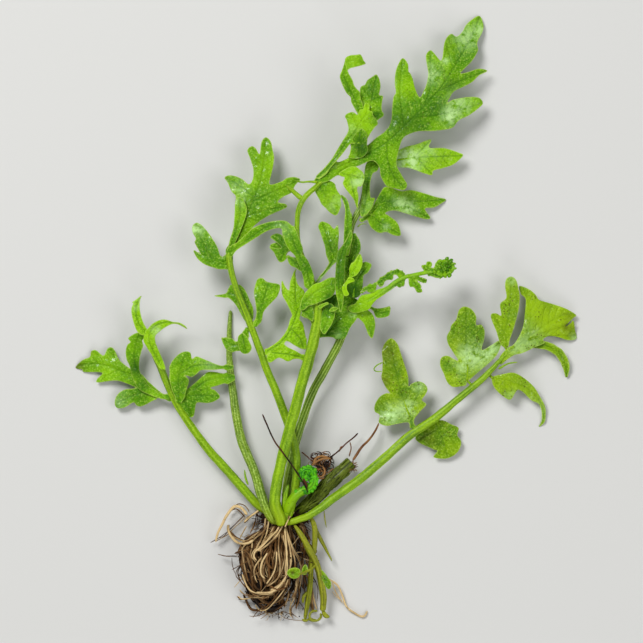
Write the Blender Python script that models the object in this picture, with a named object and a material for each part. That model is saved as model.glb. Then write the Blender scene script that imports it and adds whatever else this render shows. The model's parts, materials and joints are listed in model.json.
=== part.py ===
"""Broad leaf water sprite, a whole bare-root aquarium fern laid on a surface.

All sizes are in millimetres in the frame of the crown: x to the right, y towards
the leaf tips, z up from the surface that the plant lies on. build_all moves the
finished solids so that the middle of the footprint is at the origin, in metres.
"""
import math

import bpy
import bmesh
from mathutils import Vector
from mathutils.geometry import delaunay_2d_cdt

MM = 0.001

LEAF_THICKNESS = 0.9      # mm, leaflet blades
RIBBON_THICKNESS = 0.9    # mm, leaflets that are seen on their side or curled
STEM_SIDES = 8            # sides of the thick stems
THIN_SIDES = 6            # sides of thin stems, shoots and strands
OUTLINE_TOLERANCE = 0.30  # mm that a coarse outline may leave the fine one

COLOURS = {
    "leaf_green": (0.16, 0.36, 0.02),
    "leaf_pale": (0.27, 0.46, 0.06),
    "leaf_old": (0.30, 0.42, 0.03),
    "stem_green": (0.24, 0.46, 0.03),
    "stem_striped": (0.30, 0.43, 0.09),
    "crown_olive": (0.14, 0.18, 0.03),
    "root_tan": (0.42, 0.26, 0.10),
    "dead_brown": (0.10, 0.05, 0.02),
    "shoot_olive": (0.30, 0.36, 0.03),
}


# Curves

def smooth_path(stations, steps):
    """A Catmull-Rom curve through the stations, with all their numbers."""
    if steps < 2 or len(stations) < 3:
        return [tuple(s) for s in stations]
    points = []
    last = len(stations) - 1
    for i in range(last):
        p0 = stations[max(i - 1, 0)]
        p1 = stations[i]
        p2 = stations[i + 1]
        p3 = stations[min(i + 2, last)]
        for k in range(steps):
            t = k / steps
            row = []
            for a, b, c, d in zip(p0, p1, p2, p3):
                value = 0.5 * (2 * b + (c - a) * t + (2 * a - 5 * b + 4 * c - d) * t * t
                               + (3 * b - a - 3 * c + d) * t * t * t)
                row.append(value)
            points.append(tuple(row))
    points.append(tuple(stations[-1]))
    return points


def offset_from_line(p, a, b):
    """Distance in the plane from p to the line a to b, and how far along it falls."""
    dx = b[0] - a[0]
    dy = b[1] - a[1]
    length2 = dx * dx + dy * dy
    t = 0.0
    if length2 > 0:
        t = ((p[0] - a[0]) * dx + (p[1] - a[1]) * dy) / length2
    t = min(max(t, 0.0), 1.0)
    return math.hypot(p[0] - a[0] - t * dx, p[1] - a[1] - t * dy), t


def simplify(points, tolerance):
    """Drop the points of an open run that lie within the tolerance of the rest."""
    if len(points) < 3:
        return points
    worst = 0.0
    at = 0
    for i in range(1, len(points) - 1):
        d = offset_from_line(points[i], points[0], points[-1])[0]
        if d > worst:
            worst = d
            at = i
    if worst <= tolerance:
        return [points[0], points[-1]]
    return simplify(points[:at + 1], tolerance)[:-1] + simplify(points[at:], tolerance)


def simplify_loop(points, tolerance):
    far = max(range(len(points)), key=lambda i: math.hypot(points[i][0] - points[0][0],
                                                           points[i][1] - points[0][1]))
    first = simplify(points[:far + 1], tolerance)
    second = simplify(points[far:] + [points[0]], tolerance)
    return first[:-1] + second[:-1]


# Objects

def add_object(name, bm, slot):
    bmesh.ops.recalc_face_normals(bm, faces=bm.faces)
    mesh = bpy.data.meshes.new(name)
    bm.to_mesh(mesh)
    bm.free()
    obj = bpy.data.objects.new(name, mesh)
    bpy.context.scene.collection.objects.link(obj)
    obj.data.materials.append(material(slot))
    return obj


def material(slot):
    mat = bpy.data.materials.get(slot)
    if mat is None:
        mat = bpy.data.materials.new(slot)
        mat.use_nodes = True
        red, green, blue = COLOURS[slot]
        shader = mat.node_tree.nodes["Principled BSDF"]
        shader.inputs["Base Color"].default_value = (red, green, blue, 1.0)
        shader.inputs["Roughness"].default_value = 0.5
    return mat


def tube(name, slot, stations, sides=STEM_SIDES, steps=2, flat=1.0):
    """A stem, root or strand: stations of x, y, z and radius, closed at both ends."""
    path = smooth_path(stations, steps)
    bm = bmesh.new()
    rings = []
    count = len(path)
    for i in range(count):
        here = Vector(path[i][:3])
        before = Vector(path[max(i - 1, 0)][:3])
        after = Vector(path[min(i + 1, count - 1)][:3])
        tangent = (after - before).normalized()
        side = tangent.cross(Vector((0, 0, 1)))
        if side.length < 0.2:
            side = Vector((1, 0, 0))
        side.normalize()
        up = side.cross(tangent).normalized()
        radius = path[i][3]
        ring = []
        for k in range(sides):
            angle = 2 * math.pi * (k + 0.5) / sides
            offset = side * (math.cos(angle) * radius) + up * (math.sin(angle) * radius * flat)
            ring.append(bm.verts.new((here + offset) * MM))
        rings.append(ring)
    for low, high in zip(rings, rings[1:]):
        for k in range(sides):
            n = (k + 1) % sides
            bm.faces.new((low[k], low[n], high[n], high[k]))
    bm.faces.new(rings[0])
    bm.faces.new(list(reversed(rings[-1])))
    return add_object(name, bm, slot)


def ribbon(name, slot, stations, steps=2, thickness=RIBBON_THICKNESS):
    """A curled leaflet: stations of x, y, z, half width and roll in degrees."""
    path = smooth_path(stations, steps)
    bm = bmesh.new()
    rings = []
    count = len(path)
    for i in range(count):
        here = Vector(path[i][:3])
        before = Vector(path[max(i - 1, 0)][:3])
        after = Vector(path[min(i + 1, count - 1)][:3])
        tangent = (after - before).normalized()
        side = tangent.cross(Vector((0, 0, 1))).normalized()
        up = side.cross(tangent).normalized()
        roll = math.radians(path[i][4])
        across = side * math.cos(roll) + up * math.sin(roll)
        normal = up * math.cos(roll) - side * math.sin(roll)
        half = max(path[i][3], 0.3)
        thick = normal * (thickness / 2)
        corners = (here - across * half - thick, here + across * half - thick,
                   here + across * half + thick, here - across * half + thick)
        rings.append([bm.verts.new(c * MM) for c in corners])
    for low, high in zip(rings, rings[1:]):
        for k in range(4):
            n = (k + 1) % 4
            bm.faces.new((low[k], low[n], high[n], high[k]))
    bm.faces.new(rings[0])
    bm.faces.new(list(reversed(rings[-1])))
    return add_object(name, bm, slot)


def stroke_outline(stations):
    """The outline of a lobe or stalk drawn as stations of x, y, z and half width."""
    path = smooth_path(stations, 2)
    left = []
    right = []
    count = len(path)
    for i in range(count):
        before = path[max(i - 1, 0)]
        after = path[min(i + 1, count - 1)]
        dx = after[0] - before[0]
        dy = after[1] - before[1]
        length = math.hypot(dx, dy)
        half = max(path[i][3], 0.25)
        nx = -dy / length * half
        ny = dx / length * half
        left.append((path[i][0] + nx, path[i][1] + ny))
        right.append((path[i][0] - nx, path[i][1] - ny))
    return left + list(reversed(right))


def rib_height(x, y, ribs):
    """Height of a blade at x, y, blended from the heights along its ribs."""
    total = 0.0
    weights = 0.0
    for rib in ribs:
        for a, b in zip(rib, rib[1:]):
            d, t = offset_from_line((x, y), a, b)
            w = 1.0 / (d * d + 0.6) ** 2
            total += w * (a[2] + (b[2] - a[2]) * t)
            weights += w
    return total / weights


def clear_of_edge(point, outline, margin):
    inside = False
    closest = 1e9
    x, y = point
    for a, b in zip(outline, outline[1:] + outline[:1]):
        closest = min(closest, offset_from_line(point, a, b)[0])
        if (a[1] > y) != (b[1] > y):
            if x < (b[0] - a[0]) * (y - a[1]) / (b[1] - a[1]) + a[0]:
                inside = not inside
    return inside and closest > margin


def blade(name, slot, outlines=(), strokes=(), ribs=(), thickness=LEAF_THICKNESS):
    """A leaflet: the union in the plane of outlines and strokes, raised to the ribs."""
    loops = []
    for outline in outlines:
        loops.append(simplify_loop(list(outline), OUTLINE_TOLERANCE))
    for stroke in strokes:
        loops.append(simplify_loop(stroke_outline(stroke), OUTLINE_TOLERANCE * 0.6))
    heights = [list(rib) for rib in ribs] + [list(stroke) for stroke in strokes]
    points = []
    faces = []
    for loop in loops:
        start = len(points)
        points.extend(Vector(p) for p in loop)
        faces.append(list(range(start, len(points))))
    for rib in ribs:
        for p in rib[1:-1]:
            if any(clear_of_edge((p[0], p[1]), loop, 1.3) for loop in loops):
                points.append(Vector((p[0], p[1])))
    verts, _, tris, _, _, _ = delaunay_2d_cdt(points, [], faces, 1, 1e-4)
    bm = bmesh.new()
    top = []
    bottom = []
    for v in verts:
        z = rib_height(v.x, v.y, heights)
        top.append(bm.verts.new(Vector((v.x, v.y, z + thickness / 2)) * MM))
        bottom.append(bm.verts.new(Vector((v.x, v.y, z - thickness / 2)) * MM))
    edges = {}
    for tri in tris:
        bm.faces.new([top[i] for i in tri])
        bm.faces.new([bottom[i] for i in reversed(tri)])
        for a, b in zip(tri, list(tri[1:]) + [tri[0]]):
            key = (min(a, b), max(a, b))
            edges.setdefault(key, []).append((a, b))
    for found in edges.values():
        if len(found) == 1:
            a, b = found[0]
            bm.faces.new((top[b], top[a], bottom[a], bottom[b]))
    loose = [v for v in bm.verts if not v.link_faces]
    bmesh.ops.delete(bm, geom=loose, context="VERTS")
    return add_object(name, bm, slot)


def ellipsoid(name, slot, centre, radii, lean=0.0, segments=12, rings=7):
    bm = bmesh.new()
    bmesh.ops.create_uvsphere(bm, u_segments=segments, v_segments=rings, radius=1.0)
    for v in bm.verts:
        x = v.co.x * radii[0]
        y = v.co.y * radii[1]
        c = math.cos(lean)
        s = math.sin(lean)
        v.co = Vector((centre[0] + x * c - y * s, centre[1] + x * s + y * c,
                       centre[2] + v.co.z * radii[2])) * MM
    return add_object(name, bm, slot)


def bundle(name, slot, sections, sides=12):
    """The root bundle: sections of y, x centre, half width, z centre and half height."""
    bm = bmesh.new()
    rings = []
    for y, xc, half, zc, high in sections:
        ring = []
        for k in range(sides):
            a = 2 * math.pi * k / sides
            ring.append(bm.verts.new(Vector((xc + half * math.cos(a), y, zc + high * math.sin(a))) * MM))
        rings.append(ring)
    for low, high in zip(rings, rings[1:]):
        for k in range(sides):
            n = (k + 1) % sides
            bm.faces.new((low[k], low[n], high[n], high[k]))
    bm.faces.new(rings[0])
    bm.faces.new(list(reversed(rings[-1])))
    return add_object(name, bm, slot)


# Base

def build_base():
    ellipsoid("crown", "crown_olive", (0.0, 0.2, 4.5), (10.0, 4.6, 3.2))
    tube("young_crozier", "stem_green", [
        (1.9, 5.2, 12.0, 1.7), (4.8, 10.3, 12.3, 1.75), (9.0, 12.2, 12.6, 1.7), (12.0, 14.0, 12.9, 1.6),
        (12.0, 17.2, 13.2, 1.5), (9.8, 19.4, 13.4, 1.4), (7.6, 18.6, 13.6, 1.2), (7.5, 16.6, 13.7, 0.9)],
        sides=8, steps=2)
    tube("old_stub", "crown_olive", [
        (12.2, 8.2, 6.6, 2.5), (17.0, 13.2, 6.9, 2.6), (22.0, 18.0, 7.2, 2.5), (27.0, 22.6, 7.4, 2.4)])
    ellipsoid("dead_tuft", "dead_brown", (15.0, 22.6, 6.6), (4.2, 2.6, 2.8), lean=0.5, segments=10, rings=6)
    tube("dead_strand_long", "dead_brown", [
        (28.6, 24.6, 8.4, 0.5), (31.0, 28.5, 7.6, 0.5), (34.0, 31.5, 6.2, 0.45), (36.5, 35.0, 4.6, 0.4),
        (38.0, 38.2, 3.2, 0.3)], sides=THIN_SIDES)
    tube("dead_thread", "dead_brown", [
        (-8.6, 41.8, 11.0, 0.3), (-4.2, 32.0, 17.3, 0.35), (-0.8, 27.2, 18.0, 0.35), (4.6, 19.6, 17.0, 0.35),
        (8.8, 13.0, 16.0, 0.35)], sides=THIN_SIDES)


# Stems

def build_stems():
    tube("stem_left", "stem_green", [
        (-10.8, 5.8, 5.2, 1.7), (-15.5, 11.0, 5.9, 1.75), (-22.5, 19.0, 6.2, 1.75), (-31.0, 28.5, 5.9, 1.7),
        (-39.0, 39.5, 5.3, 1.5), (-43.5, 46.5, 5.2, 1.35), (-46.0, 52.0, 5.8, 1.05), (-50.0, 62.0, 8.4, 0.95),
        (-53.0, 69.0, 10.6, 0.85), (-54.5, 73.4, 12.0, 0.7)], sides=8, steps=1)
    tube("stem_cut_left", "stem_striped", [
        (-6.0, 1.9, 9.9, 1.75), (-7.4, 5.0, 9.8, 1.85), (-9.2, 10.0, 9.0, 1.85), (-12.3, 20.0, 7.2, 1.8),
        (-16.6, 30.0, 5.8, 1.8), (-19.0, 40.0, 4.8, 1.7), (-20.4, 50.0, 3.8, 1.55), (-21.5, 58.0, 3.0, 1.4),
        (-22.0, 66.0, 2.3, 1.2), (-22.0, 75.0, 1.4, 0.95), (-21.5, 83.4, 0.65, 0.65)], sides=8, steps=1)
    tube("stem_mid_left", "stem_green", [
        (2.9, 6.4, 8.0, 1.5), (4.6, 13.0, 8.0, 1.7), (5.0, 20.0, 8.2, 1.75), (4.4, 28.0, 8.4, 1.75),
        (1.6, 38.0, 8.9, 1.7), (-2.8, 50.0, 10.0, 1.65), (-7.0, 60.0, 11.4, 1.55), (-9.8, 68.0, 12.6, 1.45),
        (-14.3, 80.0, 14.0, 1.4), (-18.3, 90.0, 15.0, 1.3), (-20.5, 97.0, 15.7, 1.25), (-22.0, 104.6, 16.2, 1.2)],
        sides=8, steps=1)
    tube("stem_main", "stem_green", [
        (-0.8, -2.7, 10.6, 2.0), (-1.6, 0.6, 11.2, 2.1), (-3.4, 5.0, 12.0, 2.2), (-3.5, 10.0, 12.7, 2.2),
        (-1.7, 20.0, 13.8, 2.2), (0.7, 30.0, 14.8, 2.25), (4.2, 43.0, 16.0, 2.25), (7.3, 55.0, 17.0, 2.25),
        (9.4, 62.0, 17.6, 2.2), (12.0, 72.0, 18.3, 2.1), (13.4, 80.0, 18.8, 2.0), (13.6, 87.0, 19.3, 1.7)],
        sides=8, steps=1)
    tube("stem_main_upper", "stem_green", [
        (12.6, 89.8, 19.6, 1.5), (10.6, 96.0, 20.0, 1.4), (7.2, 104.5, 20.4, 1.25), (5.6, 111.0, 20.8, 1.0),
        (5.3, 118.0, 21.2, 1.0), (6.0, 124.0, 21.4, 1.05), (8.4, 128.6, 21.2, 1.1), (13.0, 133.0, 20.4, 1.15),
        (17.0, 137.4, 19.2, 1.2), (22.0, 140.4, 17.8, 1.25), (28.0, 143.2, 16.6, 1.35), (31.6, 145.9, 16.2, 1.3)],
        sides=8, steps=1)
    tube("stem_back", "stem_striped", [
        (0.6, 5.8, 4.9, 1.5), (1.0, 12.0, 4.4, 1.6), (2.4, 20.0, 4.2, 1.65), (5.4, 33.0, 4.8, 1.65),
        (10.8, 49.0, 6.6, 1.65), (16.5, 60.0, 8.4, 1.65), (22.2, 71.0, 10.2, 1.6), (24.6, 80.0, 11.4, 1.4),
        (25.2, 92.0, 12.2, 1.25), (25.6, 105.0, 12.2, 1.2), (27.0, 117.0, 11.8, 1.25), (31.0, 125.5, 11.2, 1.25),
        (33.0, 134.0, 10.6, 1.2), (34.2, 141.0, 10.2, 1.0)], sides=8, steps=1)
    tube("stem_right", "stem_green", [
        (2.9, -1.2, 9.2, 1.2), (6.0, -0.2, 9.2, 1.35), (10.0, 1.3, 8.8, 1.5), (15.0, 4.5, 8.2, 1.65),
        (20.0, 8.4, 7.6, 1.8), (30.0, 15.6, 6.6, 1.9), (40.0, 24.0, 6.2, 1.9), (50.0, 33.0, 6.6, 1.75),
        (60.0, 39.9, 7.2, 1.65), (70.0, 48.2, 7.6, 1.5), (80.0, 56.5, 7.6, 1.4), (88.0, 65.4, 7.6, 1.2)],
        sides=8, steps=1)


# Left frond

def build_left_frond():
    blade("leaf_left_outer", "leaf_green", outlines=[
        [(-83.8, 60.5), (-81, 63.5), (-78, 64.8), (-77.5, 67), (-75.5, 67.5), (-72.5, 65.3), (-71, 68),
         (-69.5, 68.7), (-68, 67.5), (-66, 63.5), (-62.3, 60.5), (-59.5, 59), (-56.4, 56.5), (-55.6, 52.6),
         (-59.5, 52.8), (-67, 55.3), (-74.7, 54.5), (-75, 56), (-73, 58.5), (-80.3, 58.7), (-81, 59.7)],
        [(-53, 52.4), (-56, 53.8), (-59.5, 52.2), (-64, 51.7), (-67, 49.5), (-68, 46.5), (-67, 44.3),
         (-64, 44.5), (-60.5, 46.5), (-59, 45.2), (-57, 45), (-53.5, 46.8), (-50.5, 48.8)]],
        strokes=[[(-46.4, 48.1, 5.2, 0.8), (-50, 49.8, 5.3, 1.0), (-54.5, 53, 5.2, 1.5), (-58, 56, 5.0, 1.8)],
                 [(-57, 54.6, 5.2, 1.8), (-59.6, 61, 6.4, 2.7), (-60.5, 66.5, 7.4, 3.0), (-59.3, 71, 8.0, 2.2),
                  (-58, 74.6, 8.2, 0.5)]],
        ribs=[[(-58, 56, 5.0), (-65, 59, 4.2), (-72, 61.6, 2.8), (-79, 62, 1.3), (-83.7, 60.8, 0.45)],
              [(-54, 51.4, 5.2), (-60, 49.6, 4.3), (-66.5, 46.5, 3.0)]])
    blade("leaf_left_fold", "leaf_green", outlines=[
        [(-43.6, 51), (-45, 56), (-45.5, 61), (-44.5, 63.5), (-42, 66), (-39.5, 67), (-37.5, 66.5), (-36.8, 64),
         (-35, 65), (-31, 63.5), (-26, 61.5), (-20.5, 60.7), (-27, 59.7), (-33, 59.5), (-35, 58), (-37, 56.8),
         (-40.3, 57.3), (-41.6, 51)]],
        ribs=[[(-42.6, 51, 8.0), (-42, 58, 9.2), (-40.5, 63, 9.8)], [(-42, 58, 9.2), (-34, 61.6, 9.6), (-20.6, 60.7, 8.6)]])
    blade("leaf_left_inner", "leaf_green", outlines=[
        [(-40.6, 47.6), (-41.4, 49.8), (-39.4, 51.6), (-38, 52.4), (-35, 55), (-32, 57.8), (-29, 58.9),
         (-20.3, 57), (-22, 55), (-26, 53.5), (-29.5, 52.4), (-27.5, 51.3), (-25.7, 48.8), (-28, 47),
         (-31, 46.3), (-36, 46.8), (-38.6, 46.4)]],
        strokes=[[(-39.8, 48.4, 5.6, 1.4), (-38.8, 45, 5.2, 1.4), (-37.6, 41.2, 4.6, 0.4)]],
        ribs=[[(-40.6, 48.6, 5.8), (-35, 52.6, 6.4), (-30, 55.6, 6.6), (-20.6, 56.8, 6.4)],
              [(-38, 49.2, 5.9), (-32, 49.4, 5.9), (-26, 49, 5.6)]])
    ribbon("leaf_left_tip", "leaf_pale", [
        (-55.3, 75.0, 12.2, 0.7, 0), (-57.4, 78.0, 12.8, 1.2, 15), (-59.0, 82.0, 13.4, 1.5, 25),
        (-58.8, 86.0, 13.6, 1.4, 25), (-57.2, 89.6, 13.0, 0.4, 10)])
    ribbon("leaf_left_curl", "leaf_pale", [
        (-52.2, 73.0, 11.6, 0.7, 0), (-52.2, 76.0, 12.4, 1.4, 20), (-49.6, 78.6, 12.8, 1.8, 30),
        (-45.8, 78.9, 12.2, 1.7, 30), (-42.0, 78.2, 11.2, 1.3, 20), (-39.0, 76.0, 10.0, 0.4, 0)])


# Middle left frond

def build_mid_frond():
    blade("leaf_mid_top", "leaf_green", outlines=[
        [(-22.8, 107), (-21.5, 111), (-20, 116), (-19.5, 120), (-19.7, 125), (-19.3, 129), (-21, 131),
         (-22.5, 134.5), (-23.8, 136.5), (-22, 137.5), (-19, 137), (-16.5, 135.8), (-14, 133.9), (-12.5, 136),
         (-12.3, 140), (-13.5, 144), (-14.7, 147.5), (-13, 149.2), (-11.3, 148.3), (-9.8, 146), (-9, 151),
         (-7.2, 152.8), (-5.3, 151), (-4.5, 147.5), (-4, 145), (-4.3, 141.5), (-5, 138), (-5.7, 133.8),
         (-1, 135), (1, 136.3), (4, 136.8), (6.5, 135.8), (4.5, 133.5), (3, 130.5), (0, 129), (-2.5, 126.8),
         (0.5, 126), (1.3, 125), (0, 124), (-3, 122.7), (-7, 120.8), (-11, 118), (-13.7, 115), (-17.5, 110),
         (-20.4, 106.8)]],
        ribs=[[(-21.5, 107.4, 16.0), (-18.5, 113, 15.8), (-15, 121, 15.2), (-12, 128, 14.2), (-9.5, 135, 12.8),
               (-8, 143, 10.8), (-7.2, 152.6, 8.0)],
              [(-12.5, 127, 14.2), (-5, 130.5, 14.0), (1, 133, 13.4), (6.2, 135.8, 12.6)],
              [(-12.5, 129, 14.0), (-17.5, 133, 12.6), (-23.4, 136.6, 10.8)],
              [(-15, 121, 15.2), (-8, 123.2, 15.0), (1, 125, 14.4)]])
    blade("leaf_mid_arch", "leaf_green", strokes=[
        [(-19.4, 106.4, 17.4, 0.7), (-14, 112.0, 19.0, 1.4), (-8, 116.2, 21.0, 1.7), (-2, 117.9, 22.6, 1.7),
         (2.4, 116.8, 23.3, 1.6), (4.6, 113, 23.2, 1.3), (5.6, 108, 22.8, 0.5)]])
    blade("leaf_mid_outer", "leaf_pale", outlines=[
        [(-23.9, 104), (-25.5, 105.4), (-26.5, 108.5), (-28.5, 112), (-31, 115.5), (-33.5, 118), (-35.3, 118.5),
         (-36.7, 117), (-36.5, 114.5), (-35.2, 112), (-35.7, 110.5), (-33.3, 106), (-35.8, 107.5), (-36, 106.5),
         (-34, 103.5), (-31, 101.5), (-27, 100.3), (-23.6, 100.6)]],
        ribs=[[(-24, 102.2, 15.6), (-29, 104.8, 15.2), (-32, 109.6, 14.0), (-35, 117, 11.6)]])
    blade("leaf_mid_behind", "leaf_green", outlines=[
        [(-28, 89.3), (-23.4, 90.2), (-22.4, 92), (-21, 93.3), (-17, 93), (-15, 90.5), (-13.5, 87),
         (-12.3, 84), (-12.6, 81), (-14.6, 79.4), (-16.4, 81.5), (-19, 85.5), (-22, 88.3), (-24, 88.5)]],
        ribs=[[(-14.2, 80.4, 11.4), (-16.5, 86, 11.4), (-20, 90, 11.2), (-27.8, 89.3, 10.2)]])
    blade("leaf_mid_right", "leaf_green", outlines=[
        [(-11.2, 77.1), (-9, 79), (-8, 83), (-5, 86.5), (-2.5, 89.3), (-1.6, 93.5), (-5, 94.5), (-7, 95),
         (-8.5, 96.3), (-10.5, 96), (-11.5, 93.5), (-12, 90.5), (-11.4, 86.5), (-11.0, 82.5), (-11.6, 78.4)]],
        ribs=[[(-11.4, 77.6, 14.6), (-10.0, 82, 15.2), (-8, 88, 15.6), (-6.5, 93.5, 15.2)]])
    blade("leaf_mid_low", "leaf_green", outlines=[
        [(-15.0, 76.4), (-16.5, 75), (-18.5, 71.8), (-25, 72.4), (-24, 70), (-22, 68), (-17, 66.5), (-15.5, 66),
         (-13.3, 68), (-14.2, 71.5), (-14.4, 75)]],
        ribs=[[(-14.8, 75.6, 13.0), (-16.2, 71, 12.2), (-20, 70, 10.6), (-24.8, 72, 9.4)]])
    blade("leaf_mid_inner", "leaf_pale", outlines=[
        [(3.6, 81.5), (1, 86.5), (-0.8, 90), (-0.9, 95.5), (0.5, 93), (2, 91.5), (2.5, 95), (4, 99), (5, 100),
         (4.6, 98), (5.5, 94), (8, 91.5), (8, 89), (6.8, 84), (6, 80.5)],
        [(3, 80.5), (7, 79), (8.3, 75), (8.8, 70), (7.5, 68), (5, 69), (2.5, 70.6), (1, 72), (2, 76)],
        [(-6.0, 65.7), (-5.2, 62.8), (-2, 64.5), (1.5, 63), (4, 64), (8.3, 64.2), (6, 66.5), (2, 68.5), (-1.5, 70)]],
        strokes=[[(-6.6, 67.2, 12.2, 0.9), (-2, 70, 12.4, 1.1), (1.5, 74, 12.8, 1.1), (4, 79, 13.2, 1.2),
                  (5.2, 83, 13.2, 1.2)]],
        ribs=[[(5, 83, 13.2), (4.6, 90, 13.0), (4.6, 99, 12.2)], [(3, 76, 13.0), (6.6, 72, 12.6), (7.6, 69, 12.2)],
              [(-4.6, 66.6, 12.2), (2, 65.8, 12.0), (8, 64.4, 11.4)]])


# Fork of the main frond

def build_fork():
    blade("leaf_fork_base", "leaf_green", outlines=[
        [(6.8, 81.5), (11, 79.3), (13.4, 76), (15, 73), (18, 72.8), (23, 72.4), (25.2, 74.5), (28, 78.3),
         (30, 80), (32, 77.5), (34, 73), (35, 72.3), (36.5, 75), (36.5, 78.5), (35.5, 81.5), (33.5, 83.8),
         (31.5, 86), (28, 88.5), (23, 90), (17, 89), (14, 86.4), (10, 84.6)]],
        ribs=[[(7, 82, 15.2), (13, 81.5, 15.6), (20, 82, 15.9), (27, 83.5, 16.2)],
              [(17, 74, 15.2), (22, 80, 15.9), (27, 84, 16.2)], [(29, 83.4, 16.2), (33, 80.2, 15.6), (35.2, 73, 13.8)]])
    blade("leaf_fork_left", "leaf_green", outlines=[
        [(6.5, 84), (6.8, 87), (8, 90), (11, 93.8), (15, 96), (20, 96.8), (20.4, 93), (19.8, 89.6), (18.6, 86.6),
         (15.8, 86.4), (13, 88), (9, 85.4)]],
        ribs=[[(7, 85, 21.8), (12, 90.4, 22.5), (16, 92.6, 22.6), (20, 94, 22.2)]])
    ribbon("leaf_fork_ribbon", "leaf_pale", [
        (23.0, 82.8, 19.6, 0.7, 0), (22.6, 87, 22.6, 1.4, 5), (21.9, 92, 24.4, 1.9, 8), (21.9, 97, 24.8, 1.9, 5),
        (22.2, 103, 24.4, 1.9, 0), (22.7, 109.2, 23.2, 0.8, 0)])
    blade("leaf_fork_dark", "leaf_green", outlines=[
        [(25.8, 97.4), (27, 98.4), (31.5, 102.5), (33.5, 102.6), (35, 101.5), (33.5, 98.5), (31.8, 97.2),
         (31.5, 93), (30.4, 89.6), (28.4, 88.4), (26.4, 89.6), (25.4, 93.5)]],
        ribs=[[(27.6, 89, 18.4), (28.4, 93.4, 18.6), (30.6, 98, 18.8), (34, 101.6, 18.2)]])
    blade("leaf_fork_bright", "leaf_pale", outlines=[
        [(26.4, 97.6), (26.8, 100.2), (28, 102.8), (30.3, 106), (31.4, 103), (30.7, 100), (28.6, 97.2)]],
        ribs=[[(27.2, 97.8, 21.2), (29, 101.4, 21.8), (30.3, 105.6, 21.4)]])
    blade("leaf_fork_back", "leaf_green", outlines=[
        [(15, 119), (18, 118), (20, 116), (21.5, 117.5), (22, 114), (21.7, 110), (21.4, 104), (18.8, 102.4),
         (17, 105), (16.3, 109), (14.5, 114.5), (13.7, 117)]],
        strokes=[[(14.6, 96.6, 17.4, 0.6), (17.2, 99.8, 17.0, 0.6), (20, 103.6, 16.6, 0.9)]],
        ribs=[[(19.8, 103.4, 16.6), (18.6, 109, 16.0), (17, 114, 15.0), (15.4, 118.4, 13.6)]])
    blade("leaf_fork_thin", "leaf_green", strokes=[
        [(24.6, 106.4, 17.4, 0.9), (25.2, 112, 17.6, 1.2), (25.5, 118, 17.4, 1.4), (25.4, 123.6, 16.6, 1.0),
         (24.5, 127.2, 15.8, 0.9), (23.1, 129.2, 15.2, 0.4)]])
    blade("leaf_fork_right", "leaf_green", strokes=[
        [(27.4, 103.8, 17.0, 0.9), (29.0, 107.8, 17.2, 1.6), (28.9, 111, 16.8, 1.4), (28.2, 113.4, 16.2, 0.6)]])
    blade("leaf_fork_tab", "leaf_green", outlines=[
        [(36.4, 83.4), (41, 84.8), (42.4, 85), (42.5, 83), (41.5, 81), (37.2, 80.5)]],
        strokes=[[(34.6, 84.6, 14.4, 0.5), (38, 82.8, 14.2, 0.8)]],
        ribs=[[(37, 82.2, 14.2), (42.2, 83, 13.6)]])
    blade("frond_coil_stem", "stem_green", thickness=1.5, outlines=[
        [(25.4, 83.6), (28, 86.9), (31.2, 89.7), (36, 90.6), (40.5, 92.2), (39.2, 90.4), (36.4, 87.6), (33.8, 84.4),
         (30.4, 83.0)],
        [(45, 95.6), (45.2, 93.6), (46.6, 93.2), (48, 94.6), (48.6, 96.4)],
        [(50, 97), (50.6, 94), (52, 93.6), (52.6, 91.6), (54.6, 91), (55, 92.4), (54.4, 94.2), (53.2, 95.2),
         (56.6, 95.0), (56.2, 96.2), (53.6, 97.6)]],
        strokes=[[(36, 88.6, 19.6, 1.6), (40, 91.8, 19.8, 1.0), (44.4, 95.2, 20.2, 0.8), (50, 97.5, 20.4, 0.8),
                  (55.4, 98.4, 20.2, 0.75), (59.3, 99.0, 20.0, 0.7)]],
        ribs=[[(26, 84, 19.0), (31, 86.4, 19.3), (36, 88.6, 19.6)]])
    tube("frond_coil_tip", "leaf_green", [
        (60.1, 98.8, 20.0, 0.75), (62.4, 97.7, 19.9, 1.0), (65.4, 97.9, 19.8, 1.1), (67.4, 99.9, 19.7, 1.15),
        (67.0, 102.4, 19.6, 1.15), (64.8, 103.3, 19.5, 1.1), (62.5, 102.6, 19.5, 0.95), (62.2, 101.2, 19.5, 0.8),
        (63.8, 100.5, 19.5, 0.6)], sides=6, steps=2)
    ribbon("frond_coil_pinna", "leaf_green", [
        (46.6, 97.6, 20.4, 0.5, 0), (45.2, 99.3, 20.6, 1.1, 20), (42.4, 98.9, 20.4, 1.2, 20),
        (39.4, 96.4, 20.0, 1.3, 10), (36.0, 93.5, 20.0, 1.2, 0), (31.8, 91.9, 19.9, 0.6, 0)])


# Top of the main frond

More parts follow.
